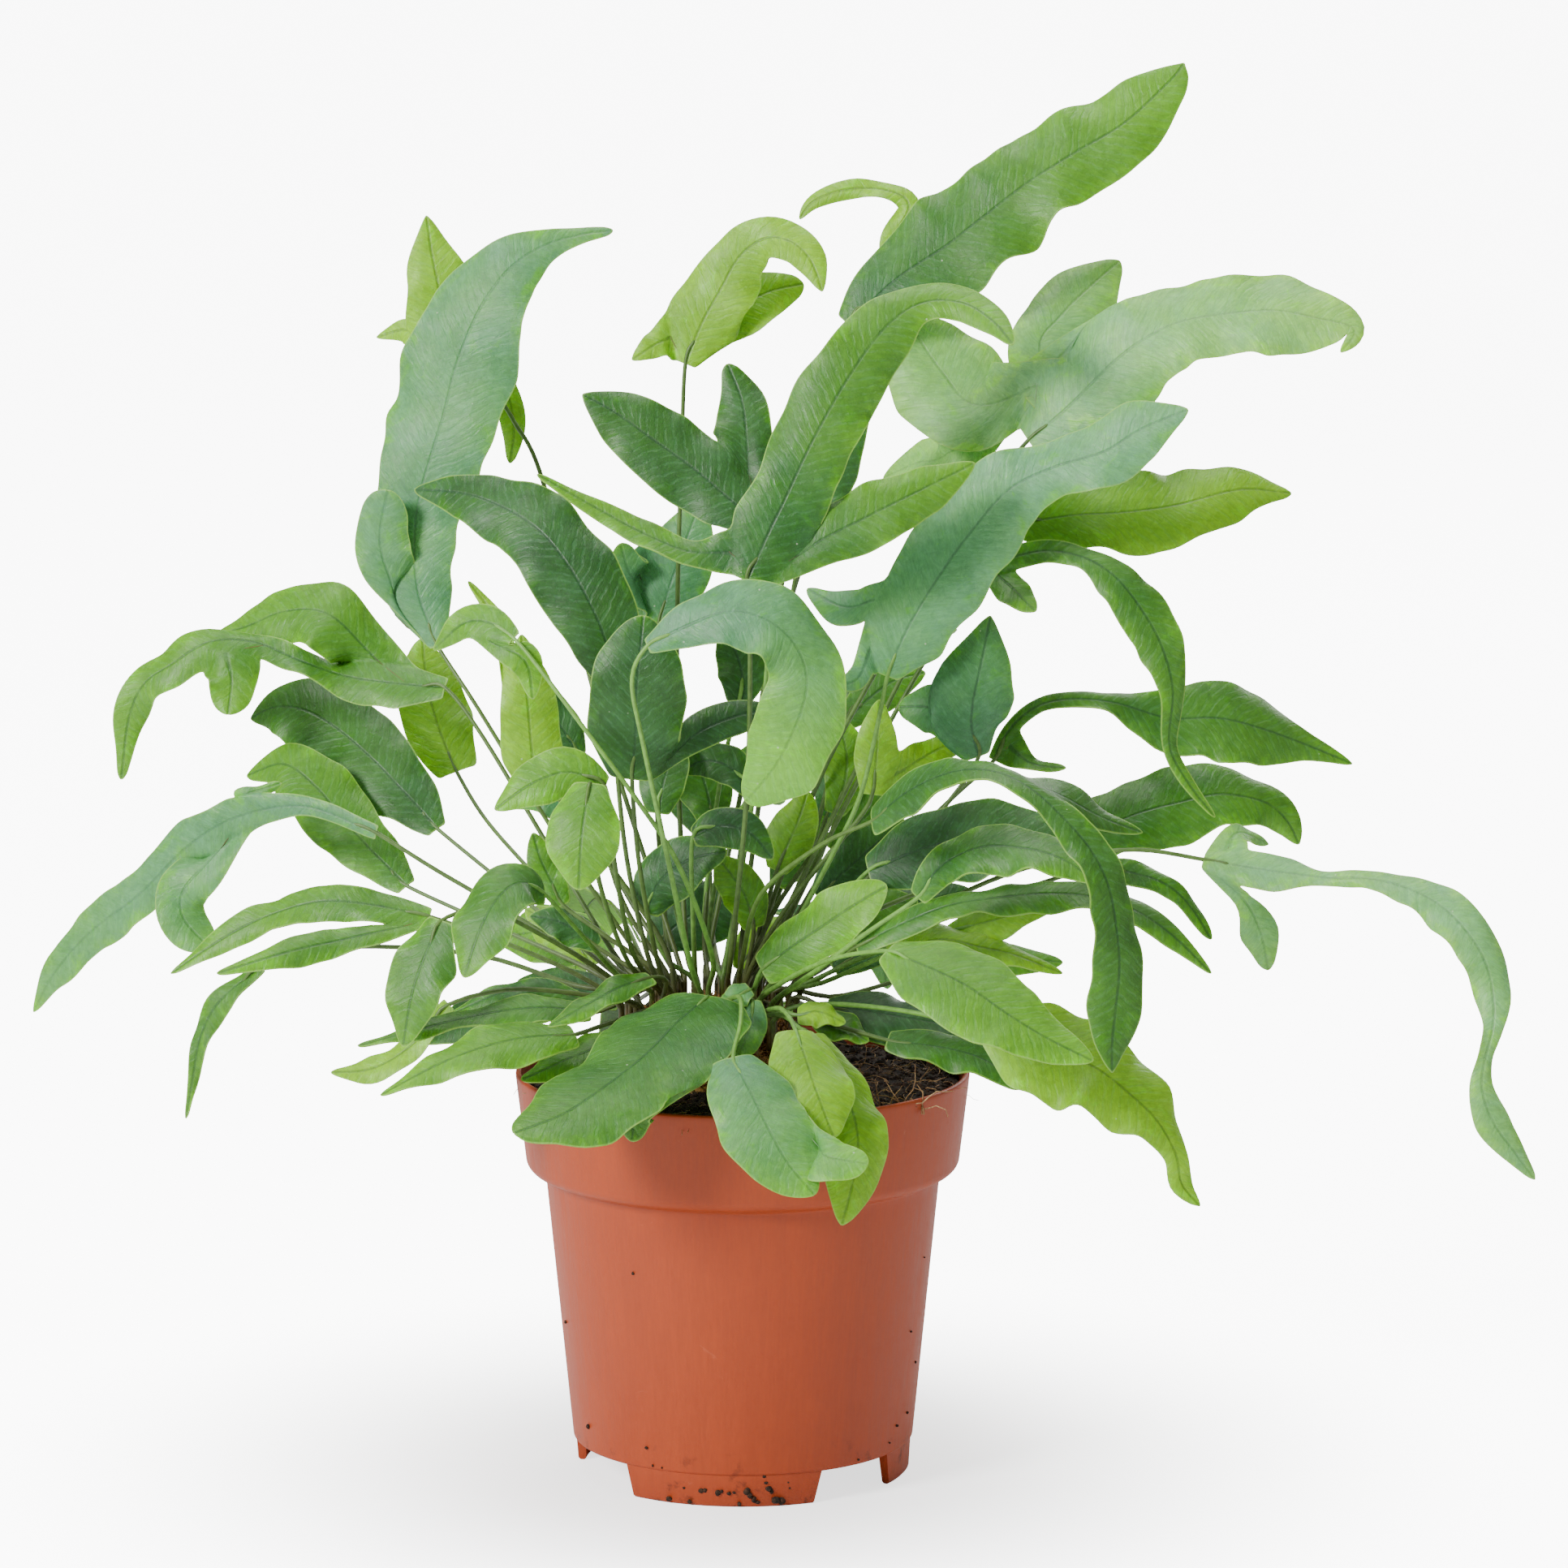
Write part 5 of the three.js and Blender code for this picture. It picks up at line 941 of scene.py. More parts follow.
def carried_axes(centres):
    """Two directions across a line of centres, carried along it without twist"""
    tangents = unit(np.gradient(centres, axis=0))
    first = np.zeros_like(centres)
    axis = np.array([1.0, 0, 0])
    for i, tangent in enumerate(tangents):
        axis = axis - tangent * (axis @ tangent)
        axis = axis / np.linalg.norm(axis)
        first[i] = axis
    return first, np.cross(tangents, first)


def crown_height(x, y):
    """How high the rhizomes' mound is"""
    share = min(1, math.hypot(x - CROWN_ACROSS, y) / CROWN_RADIUS)
    return SOIL_TOP + CLEARANCE + CROWN_FOOT + CROWN_RISE * math.sqrt(1 - share * share)


def stipe_line(spec, main_curve):
    """The centres of a frond's stipe: straight out of the rhizome, through its points, under the blade"""
    x, y = spec["root"]
    height = crown_height(x, y)
    foot = np.array([x, y, height - HOLE_DEPTH + CLEARANCE])
    bend = np.array([x, y, height + STIPE_UPRIGHT])
    share = min(STIPE_SHARE, STIPE_IN_BLADE / main_curve.length)
    sunk = main_curve.point(main_curve.times_at([share]))[0]
    through = [foot, bend] + [place(p) for p in spec["stipe"]] + [place(spec["main"]["rib"][0][:3]), sunk]
    rise = Route(through)
    after = 1 / (len(through) - 1)
    steps = max(4, int(rise.length / STIPE_STEP))
    upright = np.linspace(0, 1, 4)[:-1, None] * (bend - foot) + foot
    return np.vstack([upright, rise.point(np.linspace(after, 1, steps))])


def add_stipe(build, spec, main_curve):
    """A round stipe that thins towards its blade"""
    centres = stipe_line(spec, main_curve)
    first, second = carried_axes(centres)
    share = np.linspace(0, 1, len(centres))
    radius = STIPE_FOOT_RADIUS + (STIPE_TOP_RADIUS - STIPE_FOOT_RADIUS) * share
    radius[-1] *= STIPE_END_SHARE
    points, faces = tube(centres, first * radius[:, None], second * radius[:, None], STIPE_SIDES)
    build.add(points, faces, tube_places(centres, faces, STIPE_SIDES), 2)


def add_rib(build, line, width, fine):
    """A fine rib laid along the sheet, which stands out mostly under it"""
    surface = BVHTree.FromPolygons(fine["points"].tolist(), fine["faces"])
    run = Route(line)
    count = max(4, int(run.length / RIB_STEP))
    centres, normals = [], []
    for p in run.point(np.linspace(0, RIB_END, count)):
        spot, _, face, _ = surface.find_nearest(Vector(p))
        centres.append(np.array(spot))
        normals.append(unit(fine["normals"][list(fine["faces"][face])].mean(axis=0)))
    centres, normals = np.array(centres), np.array(normals)
    tangents = unit(np.gradient(centres, axis=0))
    sides = unit(np.cross(tangents, normals))
    taper = np.linspace(1, RIB_TIP_SHARE, count)[:, None] * width
    above = HALF_THICKNESS + RIB_ABOVE * taper
    below = HALF_THICKNESS + RIB_BELOW * taper
    centres = centres + normals * (above - below) / 2
    points, faces = tube(centres, sides * RIB_HALF_WIDTH * taper, normals * (above + below) / 2, RIB_SIDES)
    build.add(points, faces, tube_places(centres, faces, RIB_SIDES), 3)


def frond_piece(node, specs, materials):
    """The fronds of a node as one finished piece"""
    build = Build()
    sheet = Sheet()
    lines = []
    for number, spec in enumerate(specs):
        lines += add_blades(sheet, spec, number + SEED_PER_LETTER * len(node))
    fine = smoothed(sheet)
    thicken(build, fine)
    for line, width in lines:
        add_rib(build, line, width, fine)
    for spec in specs:
        curve = Route([place(p[:3]) for p in spec["main"]["rib"]])
        add_stipe(build, spec, curve)
    return build.finish(node.replace("frond_", "leaf_"), materials)


class Nodes:
    """A short way to fill a node tree"""

    def __init__(self, tree):
        self.tree = tree

    def add(self, kind, inputs=None, **settings):
        """A new node with its settings, and its inputs linked or set"""
        node = self.tree.nodes.new(kind)
        for name, value in settings.items():
            setattr(node, name, value)
        for key, value in (inputs or {}).items():
            self.feed(node.inputs[key], value)
        return node

    def feed(self, socket, value):
        """Links a socket to a node's output, or sets its value"""
        if isinstance(value, bpy.types.NodeSocket):
            self.tree.links.new(value, socket)
        else:
            socket.default_value = value

    def math(self, operation, *values, clamp=False):
        """The result of a sum with values"""
        inputs = dict(enumerate(values))
        return self.add("ShaderNodeMath", inputs, operation=operation, use_clamp=clamp).outputs[0]

    def plus(self, first, second, clamp=False):
        """One value added to another"""
        return self.math("ADD", first, second, clamp=clamp)

    def minus(self, first, second):
        """The second value taken from the first"""
        return self.math("SUBTRACT", first, second)

    def times(self, first, second, clamp=False):
        """One value times another"""
        return self.math("MULTIPLY", first, second, clamp=clamp)

    def ramp(self, value, low, high, to_low=0.0, to_high=1.0):
        """Value carried smoothly from one range to another"""
        inputs = {"Value": value, "From Min": low, "From Max": high, "To Min": to_low, "To Max": to_high}
        return self.add("ShaderNodeMapRange", inputs, interpolation_type="SMOOTHSTEP").outputs["Result"]

    def mix(self, share, first, second, blend="MIX"):
        """Two colours mixed: the node's colour inputs are its seventh and eighth"""
        inputs = {"Factor": share, 6: first, 7: second}
        return self.add("ShaderNodeMix", inputs, data_type="RGBA", blend_type=blend).outputs[2]

    def noise(self, vector, scale, detail=3.0, roughness=0.55, distortion=0.0):
        """Cloudy noise from 0 to 1"""
        inputs = {
            "Vector": vector, "Scale": scale, "Detail": detail, "Roughness": roughness,
            "Distortion": distortion,
        }
        return self.add("ShaderNodeTexNoise", inputs).outputs["Fac"]

    def specks(self, vector, scale, fewest, most):
        """Small round dots in those of a pattern's cells whose draw lies past a range"""
        cells = self.add("ShaderNodeTexVoronoi", {"Vector": vector, "Scale": scale})
        draw = self.add("ShaderNodeSeparateColor", {0: cells.outputs["Color"]}).outputs[0]
        dot = self.ramp(cells.outputs["Distance"], 0.03, 0.07, 1.0, 0.0)
        return self.times(dot, self.ramp(draw, fewest, most))

    def vector(self, x, y, z):
        """A vector of three values"""
        return self.add("ShaderNodeCombineXYZ", {0: x, 1: y, 2: z}).outputs[0]

    def parts(self, vector):
        """The three parts of a vector"""
        return self.add("ShaderNodeSeparateXYZ", {0: vector}).outputs

    def body(self):
        """The place on the object itself, in metres"""
        return self.add("ShaderNodeTexCoord").outputs["Object"]

    def blade_place(self):
        """Across and along a blade, or round and along a stipe or rib, in millimetres"""
        return self.parts(self.add("ShaderNodeUVMap", uv_map="blade").outputs[0])

    def lit(self, color, value):
        """The colour made lighter or darker"""
        return self.add("ShaderNodeHueSaturation", {"Value": value, "Color": color}).outputs[0]

    def bump(self, height, strength, distance):
        """A surface direction that follows small heights"""
        inputs = {"Strength": strength, "Distance": distance, "Height": height}
        return self.add("ShaderNodeBump", inputs).outputs[0]


def group(name, inputs, outputs):
    """A new shader node group with named inputs and outputs, and its nodes"""
    tree = bpy.data.node_groups.new(name, "ShaderNodeTree")
    for label, kind, value in inputs:
        socket = tree.interface.new_socket(name=label, in_out="INPUT", socket_type=kind)
        socket.default_value = value
    for label in outputs:
        kind = COLOR if label == "Color" else FLOAT
        tree.interface.new_socket(name=label, in_out="OUTPUT", socket_type=kind)
    nodes = Nodes(tree)
    return tree, nodes, nodes.add("NodeGroupInput").outputs, nodes.add("NodeGroupOutput").inputs


FLOAT, COLOR = "NodeSocketFloat", "NodeSocketColor"


def linear(part):
    """One part of a screen colour, from 0 to 255, as light"""
    share = part / 255
    return share / 12.92 if share <= 0.04045 else ((share + 0.055) / 1.055) ** 2.4


def rgb(red, green, blue):
    """A colour as seen on a screen, from 0 to 255, as the shader's linear one"""
    return (linear(red), linear(green), linear(blue), 1.0)


OLD_GREEN = rgb(78, 133, 87)
LIME = rgb(115, 182, 48)
WAX = rgb(108, 168, 126)
MARGIN_LIME = rgb(150, 196, 84)
RIB_GREEN = rgb(30, 66, 40)
DUST = rgb(214, 228, 196)
# What is left of each colour in a patch of fresher green
FRESH_SHARE = (1.05, 1.35, 0.3, 1.0)
# How far the side veins lean towards the tip, and how far apart they are in millimetres
VEIN_LEAN = 0.8
VEIN_APART = 2.9
# How strongly the veins show in the wax's colour
VEIN_SHOW = 0.1


def skin_patterns(n):
    """What a blade's skin is drawn from: distance off the rib, margin, streaks, veins and patches"""
    place = n.blade_place()
    body = n.body()
    off = n.math("ABSOLUTE", place[0])
    side = n.math("SIGN", place[0])
    slant = n.minus(place[1], n.times(off, VEIN_LEAN))
    streak_spot = n.vector(n.times(slant, 1.1), n.times(off, 0.24), n.times(side, 3.0))
    crinkle = n.noise(body, 420.0, 4.0, 0.7, 0.8)
    vein_shift = n.times(n.noise(body, 95.0, 3.0), 13.0)
    vein_wave = n.math("SINE", n.plus(n.times(slant, 2 * math.pi / VEIN_APART), vein_shift))
    return {
        "body": body,
        "off": off,
        "margin": n.add("ShaderNodeAttribute", attribute_name="margin").outputs["Fac"],
        "streak": n.noise(streak_spot, 1.0, 5.0, 0.65, 1.2),
        "crinkle": crinkle,
        "vein": n.times(n.ramp(vein_wave, 0.2, 1.0), n.ramp(crinkle, 0.35, 0.6)),
        "patch": n.noise(body, 150.0, 4.0, 0.65, 0.9),
    }


def skin_youth(n, given, at):
    """How young the skin is: the frond's own youth, mottled, and younger in patches near the margin"""
    mottle = n.noise(at["body"], 42.0, 3.0, 0.6)
    drawn = n.add("ShaderNodeAttribute", attribute_name="youth").outputs["Fac"]
    youth = n.plus(drawn, given["Youth added"])
    youth = n.plus(youth, n.times(n.minus(mottle, 0.5), 1.1))
    by_margin = n.times(n.ramp(at["margin"], 0.3, 4.5, 0.4, 0.0), n.ramp(at["patch"], 0.35, 0.65))
    return n.plus(youth, by_margin, clamp=True)


def skin_green(n, given, at, youth):
    """The blade's green, with its bloom of wax and its fresher patches"""
    color = n.mix(youth, given["Old"], given["Young"])
    clouds = n.ramp(n.noise(at["body"], 85.0, 4.0, 0.65, 0.5), 0.36, 0.66, 0.25, 1.0)
    waxy = n.times(n.times(given["Waxiness"], n.minus(1.15, youth)), clouds, clamp=True)
    color = n.mix(waxy, color, given["Wax"])
    fresh = n.ramp(n.plus(at["patch"], n.ramp(at["margin"], 0.3, 5.0, 0.07, 0.0)), 0.58, 0.72, 0.0, 0.55)
    return n.mix(fresh, color, n.mix(1.0, color, FRESH_SHARE, "MULTIPLY"))


def skin_light(n, given, at):
    """How light the streaks and the crinkle leave the green"""
    streaks = n.ramp(at["streak"], 0.28, 0.72, 0.88, 1.12)
    light = n.times(streaks, n.ramp(at["crinkle"], 0.3, 0.7, 0.88, 1.12))
    return n.plus(1.0, n.times(n.minus(light, 1.0), given["Streaks"]))


def blade_skin():
    """A fern blade's colour, gloss and relief, from its place on the blade and how young it is"""
    inputs = [
        ("Old", COLOR, OLD_GREEN), ("Young", COLOR, LIME), ("Wax", COLOR, WAX), ("Waxiness", FLOAT, 0.3),
        ("Youth added", FLOAT, 0.0), ("Streaks", FLOAT, 0.5), ("Margin", COLOR, MARGIN_LIME),
        ("Furrow", FLOAT, 0.3),
    ]
    tree, n, given, out = group("blade skin", inputs, ["Color", "Roughness", "Relief"])
    at = skin_patterns(n)
    green = skin_green(n, given, at, skin_youth(n, given, at))
    tone = n.lit(green, skin_light(n, given, at))
    veined = n.mix(n.times(at["vein"], n.times(given["Streaks"], VEIN_SHOW)), tone, given["Wax"])
    furrow = n.times(n.ramp(at["off"], 0.1, 0.55, 1.0, 0.0), n.ramp(at["patch"], 0.3, 0.55, 0.5, 1.0))
    color = n.mix(n.times(furrow, given["Furrow"]), veined, RIB_GREEN)
    color = n.mix(n.ramp(at["margin"], 0.12, 0.5, 0.6, 0.0), color, given["Margin"])
    color = n.mix(n.times(n.specks(at["body"], 210.0, 0.86, 0.9), 0.5), color, DUST)
    n.feed(out["Color"], color)
    n.feed(out["Roughness"], n.ramp(at["patch"], 0.3, 0.7, 0.5, 0.36))
    relief = n.minus(n.plus(n.times(at["vein"], -0.4), n.times(at["streak"], 0.5)), n.times(furrow, 0.7))
    n.feed(out["Relief"], n.plus(relief, n.plus(n.times(at["patch"], 1.2), n.times(at["crinkle"], 0.5))))
    return tree


def grain():
    """Fine and coarse grain over a surface: a light value, and a relief"""
    inputs = [("Fine scale", FLOAT, 900.0), ("Coarse scale", FLOAT, 120.0), ("Stretch", FLOAT, 1.0)]
    tree, n, given, out = group("grain", inputs, ["Light", "Relief"])
    spot = n.parts(n.body())
    body = n.vector(spot[0], spot[1], n.times(spot[2], given["Stretch"]))
    fine = n.noise(body, given["Fine scale"], 3.0, 0.6)
    coarse = n.noise(body, given["Coarse scale"], 4.0, 0.6)
    n.feed(out["Light"], n.plus(n.times(fine, 0.5), n.times(coarse, 0.5)))
    n.feed(out["Relief"], n.plus(fine, n.times(coarse, 2.0)))
    return tree


def new_material(name, constants):
    """A material with one shader, its nodes and its shader's inputs, of which the constants are set"""
    material = bpy.data.materials.new(name)
    material.use_nodes = True
    material.node_tree.nodes.clear()
    n = Nodes(material.node_tree)
    shader = n.add("ShaderNodeBsdfPrincipled")
    n.add("ShaderNodeOutputMaterial", {"Surface": shader.outputs[0]})
    for label, value in constants.items():
        shader.inputs[label].default_value = value
    return material, n, shader.inputs


def blade_material(name, skin, values, rough=0.0):
    """One side of a blade: the blade skin with its own colours, lit a little from within"""
    material, n, shader = new_material(name, BLADE_BODY)
    skinned = n.add("ShaderNodeGroup", values, node_tree=skin).outputs
    n.feed(shader["Base Color"], skinned["Color"])
    n.feed(shader["Roughness"], n.plus(skinned["Roughness"], rough))
    n.feed(shader["Normal"], n.bump(skinned["Relief"], 0.6, 0.0003))
    return material


# How light passes through a blade, and how much it shines
BLADE_BODY = {
    "Subsurface Weight": 0.2, "Subsurface Radius": (0.5, 1.0, 0.15), "Subsurface Scale": 0.0015,
    "Specular IOR Level": 0.35,
}
BLADE_TONES = {
    # Old green, young green, waxiness, how dark the furrow along the rib is
    "blue": (rgb(56, 112, 62), rgb(92, 152, 44), 0.3, 0.5),
    "green": (rgb(40, 92, 25), rgb(98, 156, 26), 0.11, 0.5),
    "fresh": (rgb(49, 104, 23), rgb(112, 174, 24), 0.09, 0.5),
    "dark": (rgb(34, 76, 24), rgb(70, 122, 26), 0.11, 0.5),
    "olive": (rgb(84, 138, 24), rgb(136, 190, 20), 0.06, 0.4),
    "misty": (rgb(74, 132, 80), rgb(112, 176, 46), 0.35, 0.2),
    # A lighter copy of the blue-green with its bloom, which paints the light on a frond that faces up to
    # the lamps
    "waxy": (rgb(98, 162, 102), rgb(116, 180, 60), 0.4, 0.35),
    # A pale, heavily waxed green: partly the bloom, partly a painted sheen where a frond catches the light
    "pale": (rgb(116, 180, 98), rgb(150, 206, 66), 0.42, 0.2),
}
# Fronds whose tone isn't that of their green; the waxy and pale tones are lighter copies that paint the
# light these fronds catch
TONES = {
    "frond_upper_left": "misty", "frond_right_blue": "waxy", "frond_front_fold": "misty",
    "frond_back_grey": "misty", "frond_right_pale": "pale", "frond_front_left_big": "green",
    "frond_far_left": "misty", "frond_far_right": "pale", "frond_right_drop": "olive",
    "frond_right_yellow_tip": "olive", "frond_left_arch": "dark", "frond_centre_hanging": "misty",
    "frond_right_bright_arch": "green", "frond_left_upper_strap": "dark", "frond_left_straps": "green",
    "frond_left_lower_strap": "green", "frond_right_back_strap": "fresh",
}


def blade_materials():
    """The upper side and the underside of a blade in each tone"""
    skin = blade_skin()
    made = {}
    for tone, (old, young, waxiness, furrow) in BLADE_TONES.items():
        upper = {
            "Old": old, "Young": young, "Waxiness": waxiness, "Youth added": 0.0, "Streaks": 1.0,
            "Furrow": furrow,
        }
        under = {**upper, "Waxiness": waxiness * 0.9, "Youth added": 0.2, "Streaks": 0.7, "Furrow": 0.0}
        above = blade_material("blade_" + tone, skin, upper)
        made[tone] = (above, blade_material("underside_" + tone, skin, under, 0.08))
    return made


FUR_BROWN = rgb(120, 84, 44)


def stalk_material(name, low, high):
    """A stipe or rib: furry brown at its foot, then its own green"""
    material, n, shader = new_material(name, {"Roughness": 0.45})
    run = n.blade_place()[1]
    fleck = n.noise(n.body(), 500.0, 3.0)
    color = n.mix(n.ramp(run, 8.0, 60.0), low, high)
    color = n.mix(n.ramp(run, 6.0, 18.0, 0.8, 0.0), color, FUR_BROWN)
    n.feed(shader["Base Color"], n.lit(color, n.ramp(fleck, 0.3, 0.7, 0.8, 1.15)))
    n.feed(shader["Normal"], n.bump(fleck, 0.3, 0.0001))
    return material


def turned(radius, height, count):
    """Points round the pot's axis, at a height that a number or a function of radius and angle gives"""
    angles = [2 * math.pi * k / count for k in range(count)]
    heights = [height(radius, a) if callable(height) else height for a in angles]
    return [(radius * math.cos(a), radius * math.sin(a), z) for a, z in zip(angles, heights)]


def lathe(profile, count):
    """Points and faces of a profile turned round the pot's axis, which it starts and ends on"""
    points, faces, rows = [], [], []
    for radius, height in profile:
        on_axis = radius == 0
        rows.append([len(points)] * count if on_axis else list(range(len(points), len(points) + count)))
        points += turned(radius, height, 1 if on_axis else count)
    for low, high in zip(rows, rows[1:]):
        for k in range(count):
            m = (k + 1) % count
            faces.append(tuple(dict.fromkeys([low[k], low[m], high[m], high[k]])))
    return points, faces


def arc(centre, radius, start, end, steps):
    """Points of a round stretch of a profile, from one angle in degrees to another"""
    angles = np.radians(np.linspace(start, end, steps))
    return [(centre[0] + radius * math.cos(a), centre[1] + radius * math.sin(a)) for a in angles]


def body_inside(height):
    """The radius of the pot's inner wall at a height"""
    share = (height - FOOT_HEIGHT) / (BODY_TOP - FOOT_HEIGHT)
    return BODY_FOOT_RADIUS + (BODY_TOP_RADIUS - BODY_FOOT_RADIUS) * share - POT_WALL


# The rows of the floor's faces inside and outside the drain holes, and the rounded edges' radii
DRAIN_EDGE = 8
FOOT_ROUND = 1
SHOULDER_ROUND = 1.2
COLLAR_ROUND = 3.2


def pot_profile():
    """The pot's section: under its floor, up its outside, over the rim and down its inside"""
    lip = POT_WALL / 2
    collar = COLLAR_FOOT_RADIUS
    floor = FOOT_HEIGHT + FLOOR
    return [
        (0, FOOT_HEIGHT),
        (DRAIN_CIRCLE - DRAIN_EDGE, FOOT_HEIGHT),
        (DRAIN_CIRCLE + DRAIN_EDGE, FOOT_HEIGHT),
        *arc((BODY_FOOT_RADIUS - FOOT_ROUND, FOOT_HEIGHT + FOOT_ROUND), FOOT_ROUND, -90, -5, 6),
        (BODY_TOP_RADIUS - 0.2, BODY_TOP - 2),
        *arc((BODY_TOP_RADIUS + SHOULDER_ROUND, BODY_TOP - SHOULDER_ROUND / 2), SHOULDER_ROUND, 175, 95, 5),
        (collar - COLLAR_ROUND, BODY_TOP + SHOULDER_ROUND),
        *arc((collar - COLLAR_ROUND, BODY_TOP + SHOULDER_ROUND + COLLAR_ROUND), COLLAR_ROUND, -80, -6, 8),
        (RIM_RADIUS - 0.05, POT_HEIGHT - 1.6),
        *arc((RIM_RADIUS - lip, POT_HEIGHT - lip), lip, 0, 180, 9),
        (collar - POT_WALL, COLLAR_BOTTOM + POT_STEP),
        (collar - POT_WALL - 0.8, COLLAR_BOTTOM),
        (body_inside(BODY_TOP), BODY_TOP + POT_STEP),
        (body_inside(floor), floor),
        (DRAIN_CIRCLE + DRAIN_EDGE, floor),
        (DRAIN_CIRCLE - DRAIN_EDGE, floor),
        (0, floor),
    ]


def around(degrees, radius):
    """A place round the pot, from its front towards the right"""
    angle = math.radians(degrees)
    return radius * math.sin(angle), -radius * math.cos(angle)


# How far the feet reach into the pot's body, and how many degrees each of their steps spans
FOOT_SINK = 0.9
FOOT_STEP = 3


def foot(build, start, end):
    """One foot of the ring, from one gap to the next, with sloped ends"""
    top = FOOT_HEIGHT + FOOT_SINK
    inner = FOOT_RADIUS - FOOT_WALL
    section = [
        (inner, top), (inner, 0.5), (inner + 0.5, 0), (FOOT_RADIUS - 0.6, 0), (FOOT_RADIUS, 0.6),
        (FOOT_RADIUS + 0.5, top),
    ]
    steps = max(4, int((end - start) / FOOT_STEP))
    points, faces = [], []
    count = len(section)
    for i in range(steps + 1):
        for radius, height in section:
            slope = FOOT_SLOPE * (1 - height / top)
            degrees = start + slope + (end - start - 2 * slope) * i / steps
            points.append((*around(degrees, radius), height))
    for i in range(steps):
        for k in range(count):
            m = (k + 1) % count
            faces.append((i * count + k, (i + 1) * count + k, (i + 1) * count + m, i * count + m))
    faces.append(tuple(range(count)))
    faces.append(tuple(steps * count + k for k in range(count))[::-1])
    build.add_plain(points, faces)


def drain_cutters():
    """Short round bars where the floor is pierced"""
    cutters = []
    for i in range(DRAIN_COUNT):
        angle = 2 * math.pi * i / DRAIN_COUNT
        middle = np.array([DRAIN_CIRCLE * math.cos(angle), DRAIN_CIRCLE * math.sin(angle), 0])
        centres = np.array([middle + [0, 0, FOOT_HEIGHT - FLOOR], middle + [0, 0, FOOT_HEIGHT + 2 * FLOOR]])
        across = np.tile([DRAIN_RADIUS, 0, 0], (2, 1))
        cutters.append(mesh_object("drain", *tube(centres, across, across[:, [1, 0, 2]], DRAIN_SIDES)))
    return cutters


def pot_piece(material):
    """The moulded pot: body, stepped collar, rolled rim, drained floor and feet"""
    shell = mesh_object("pot_shell", *lathe(pot_profile(), POT_SEGMENTS))
    cutters = drain_cutters()
    for cutter in cutters:
        cut = shell.modifiers.new("drain", "BOOLEAN")
        cut.object = cutter
        cut.operation = "DIFFERENCE"
        cut.solver = "EXACT"
    plain_mesh(shell)
    build = Build()
    faces = [tuple(p.vertices) for p in shell.data.polygons]
    build.add_plain(read(shell.data.vertices, "co", 3) / MM, faces)
    for spent in [*cutters, shell]:
        bpy.data.objects.remove(spent)
    for (_, start), (end, _) in zip(FOOT_GAPS, FOOT_GAPS[1:] + [[FOOT_GAPS[0][0] + 360, 0]]):
        foot(build, start, end)
    return build.finish("moulded_pot", [material])


# The peat's lumps: how wide they are and how high, the broad ones and the small ones
BROAD_LUMPS = (14, 1.5)
SMALL_LUMPS = (4, 0.8)
# How far the peat's lumps lie under its even top, and how far it keeps off the pot's wall
LUMPS_UNDER = 0.5
SOIL_GAP = 0.4
SOIL_SIDES = 120
SOIL_RINGS = 38
SOIL_INNERMOST = 1.5


def soil_height(radius, angle):
    """The peat's lumpy top"""
    base = np.interp(radius, [0, 36, 48, SOIL_RADIUS], [SOIL_TOP, SOIL_TOP, SOIL_TOP - 0.8, SOIL_EDGE])
    x, y = radius * math.cos(angle), radius * math.sin(angle)
    lumps = [
        noise.noise(Vector((x / wide, y / wide, lane))) * high
        for (wide, high), lane in ((BROAD_LUMPS, 3.0), (SMALL_LUMPS, 8.0))
    ]
    return base + (lumps[0] + lumps[1]) - LUMPS_UNDER


def soil_piece(material):
    """The peat, which fills the pot to near its rim, with its faces sector by sector for the crumbs"""
    floor = FOOT_HEIGHT + FLOOR + CLEARANCE
    rings_out = np.linspace(SOIL_INNERMOST, SOIL_RADIUS - SOIL_GAP, SOIL_RINGS)
    profile = [
        (0, floor),
        (body_inside(floor) - SOIL_GAP, floor),
        (body_inside(BODY_TOP) - SOIL_GAP, BODY_TOP + 1),
        (COLLAR_FOOT_RADIUS - POT_WALL - 0.5, COLLAR_BOTTOM + 2),
        *((radius, soil_height) for radius in rings_out[::-1]),
        (0, soil_height),
    ]
    points, faces = lathe(profile, SOIL_SIDES)
    faces = [faces[row * SOIL_SIDES + k] for k in range(SOIL_SIDES) for row in range(len(profile) - 1)]
    build = Build()
    build.add_plain(points, faces)
    return build.finish("peat", [material])


# Creeping rhizomes over the mound, as in the part
RHIZOMES = [
    ([[-30, 12], [-24, 2], [-15, -9], [-6, -17], [2, -21]], 4.6),
    ([[10, 14], [2, 8], [-8, 3], [-17, 3], [-26, -4]], 5),
    ([[12, -10], [4, -4], [-4, -9], [-13, -15], [-20, -17]], 4.4),
    ([[-20, 18], [-12, 12], [-3, 10], [6, 3], [13, 2]], 4.8),
]
RHIZOME_STEPS = 36
RHIZOME_SIDES = 14
KNOB_HEIGHT = 0.16
# The heap that the rhizomes lie on: how deep it starts, its rings and sides, and its lumps
HEAP_SINK = 1.5
HEAP_RINGS = 12
HEAP_TURN = 84
HEAP_SIDES = 48
HEAP_LUMPS = (5, 1.2)


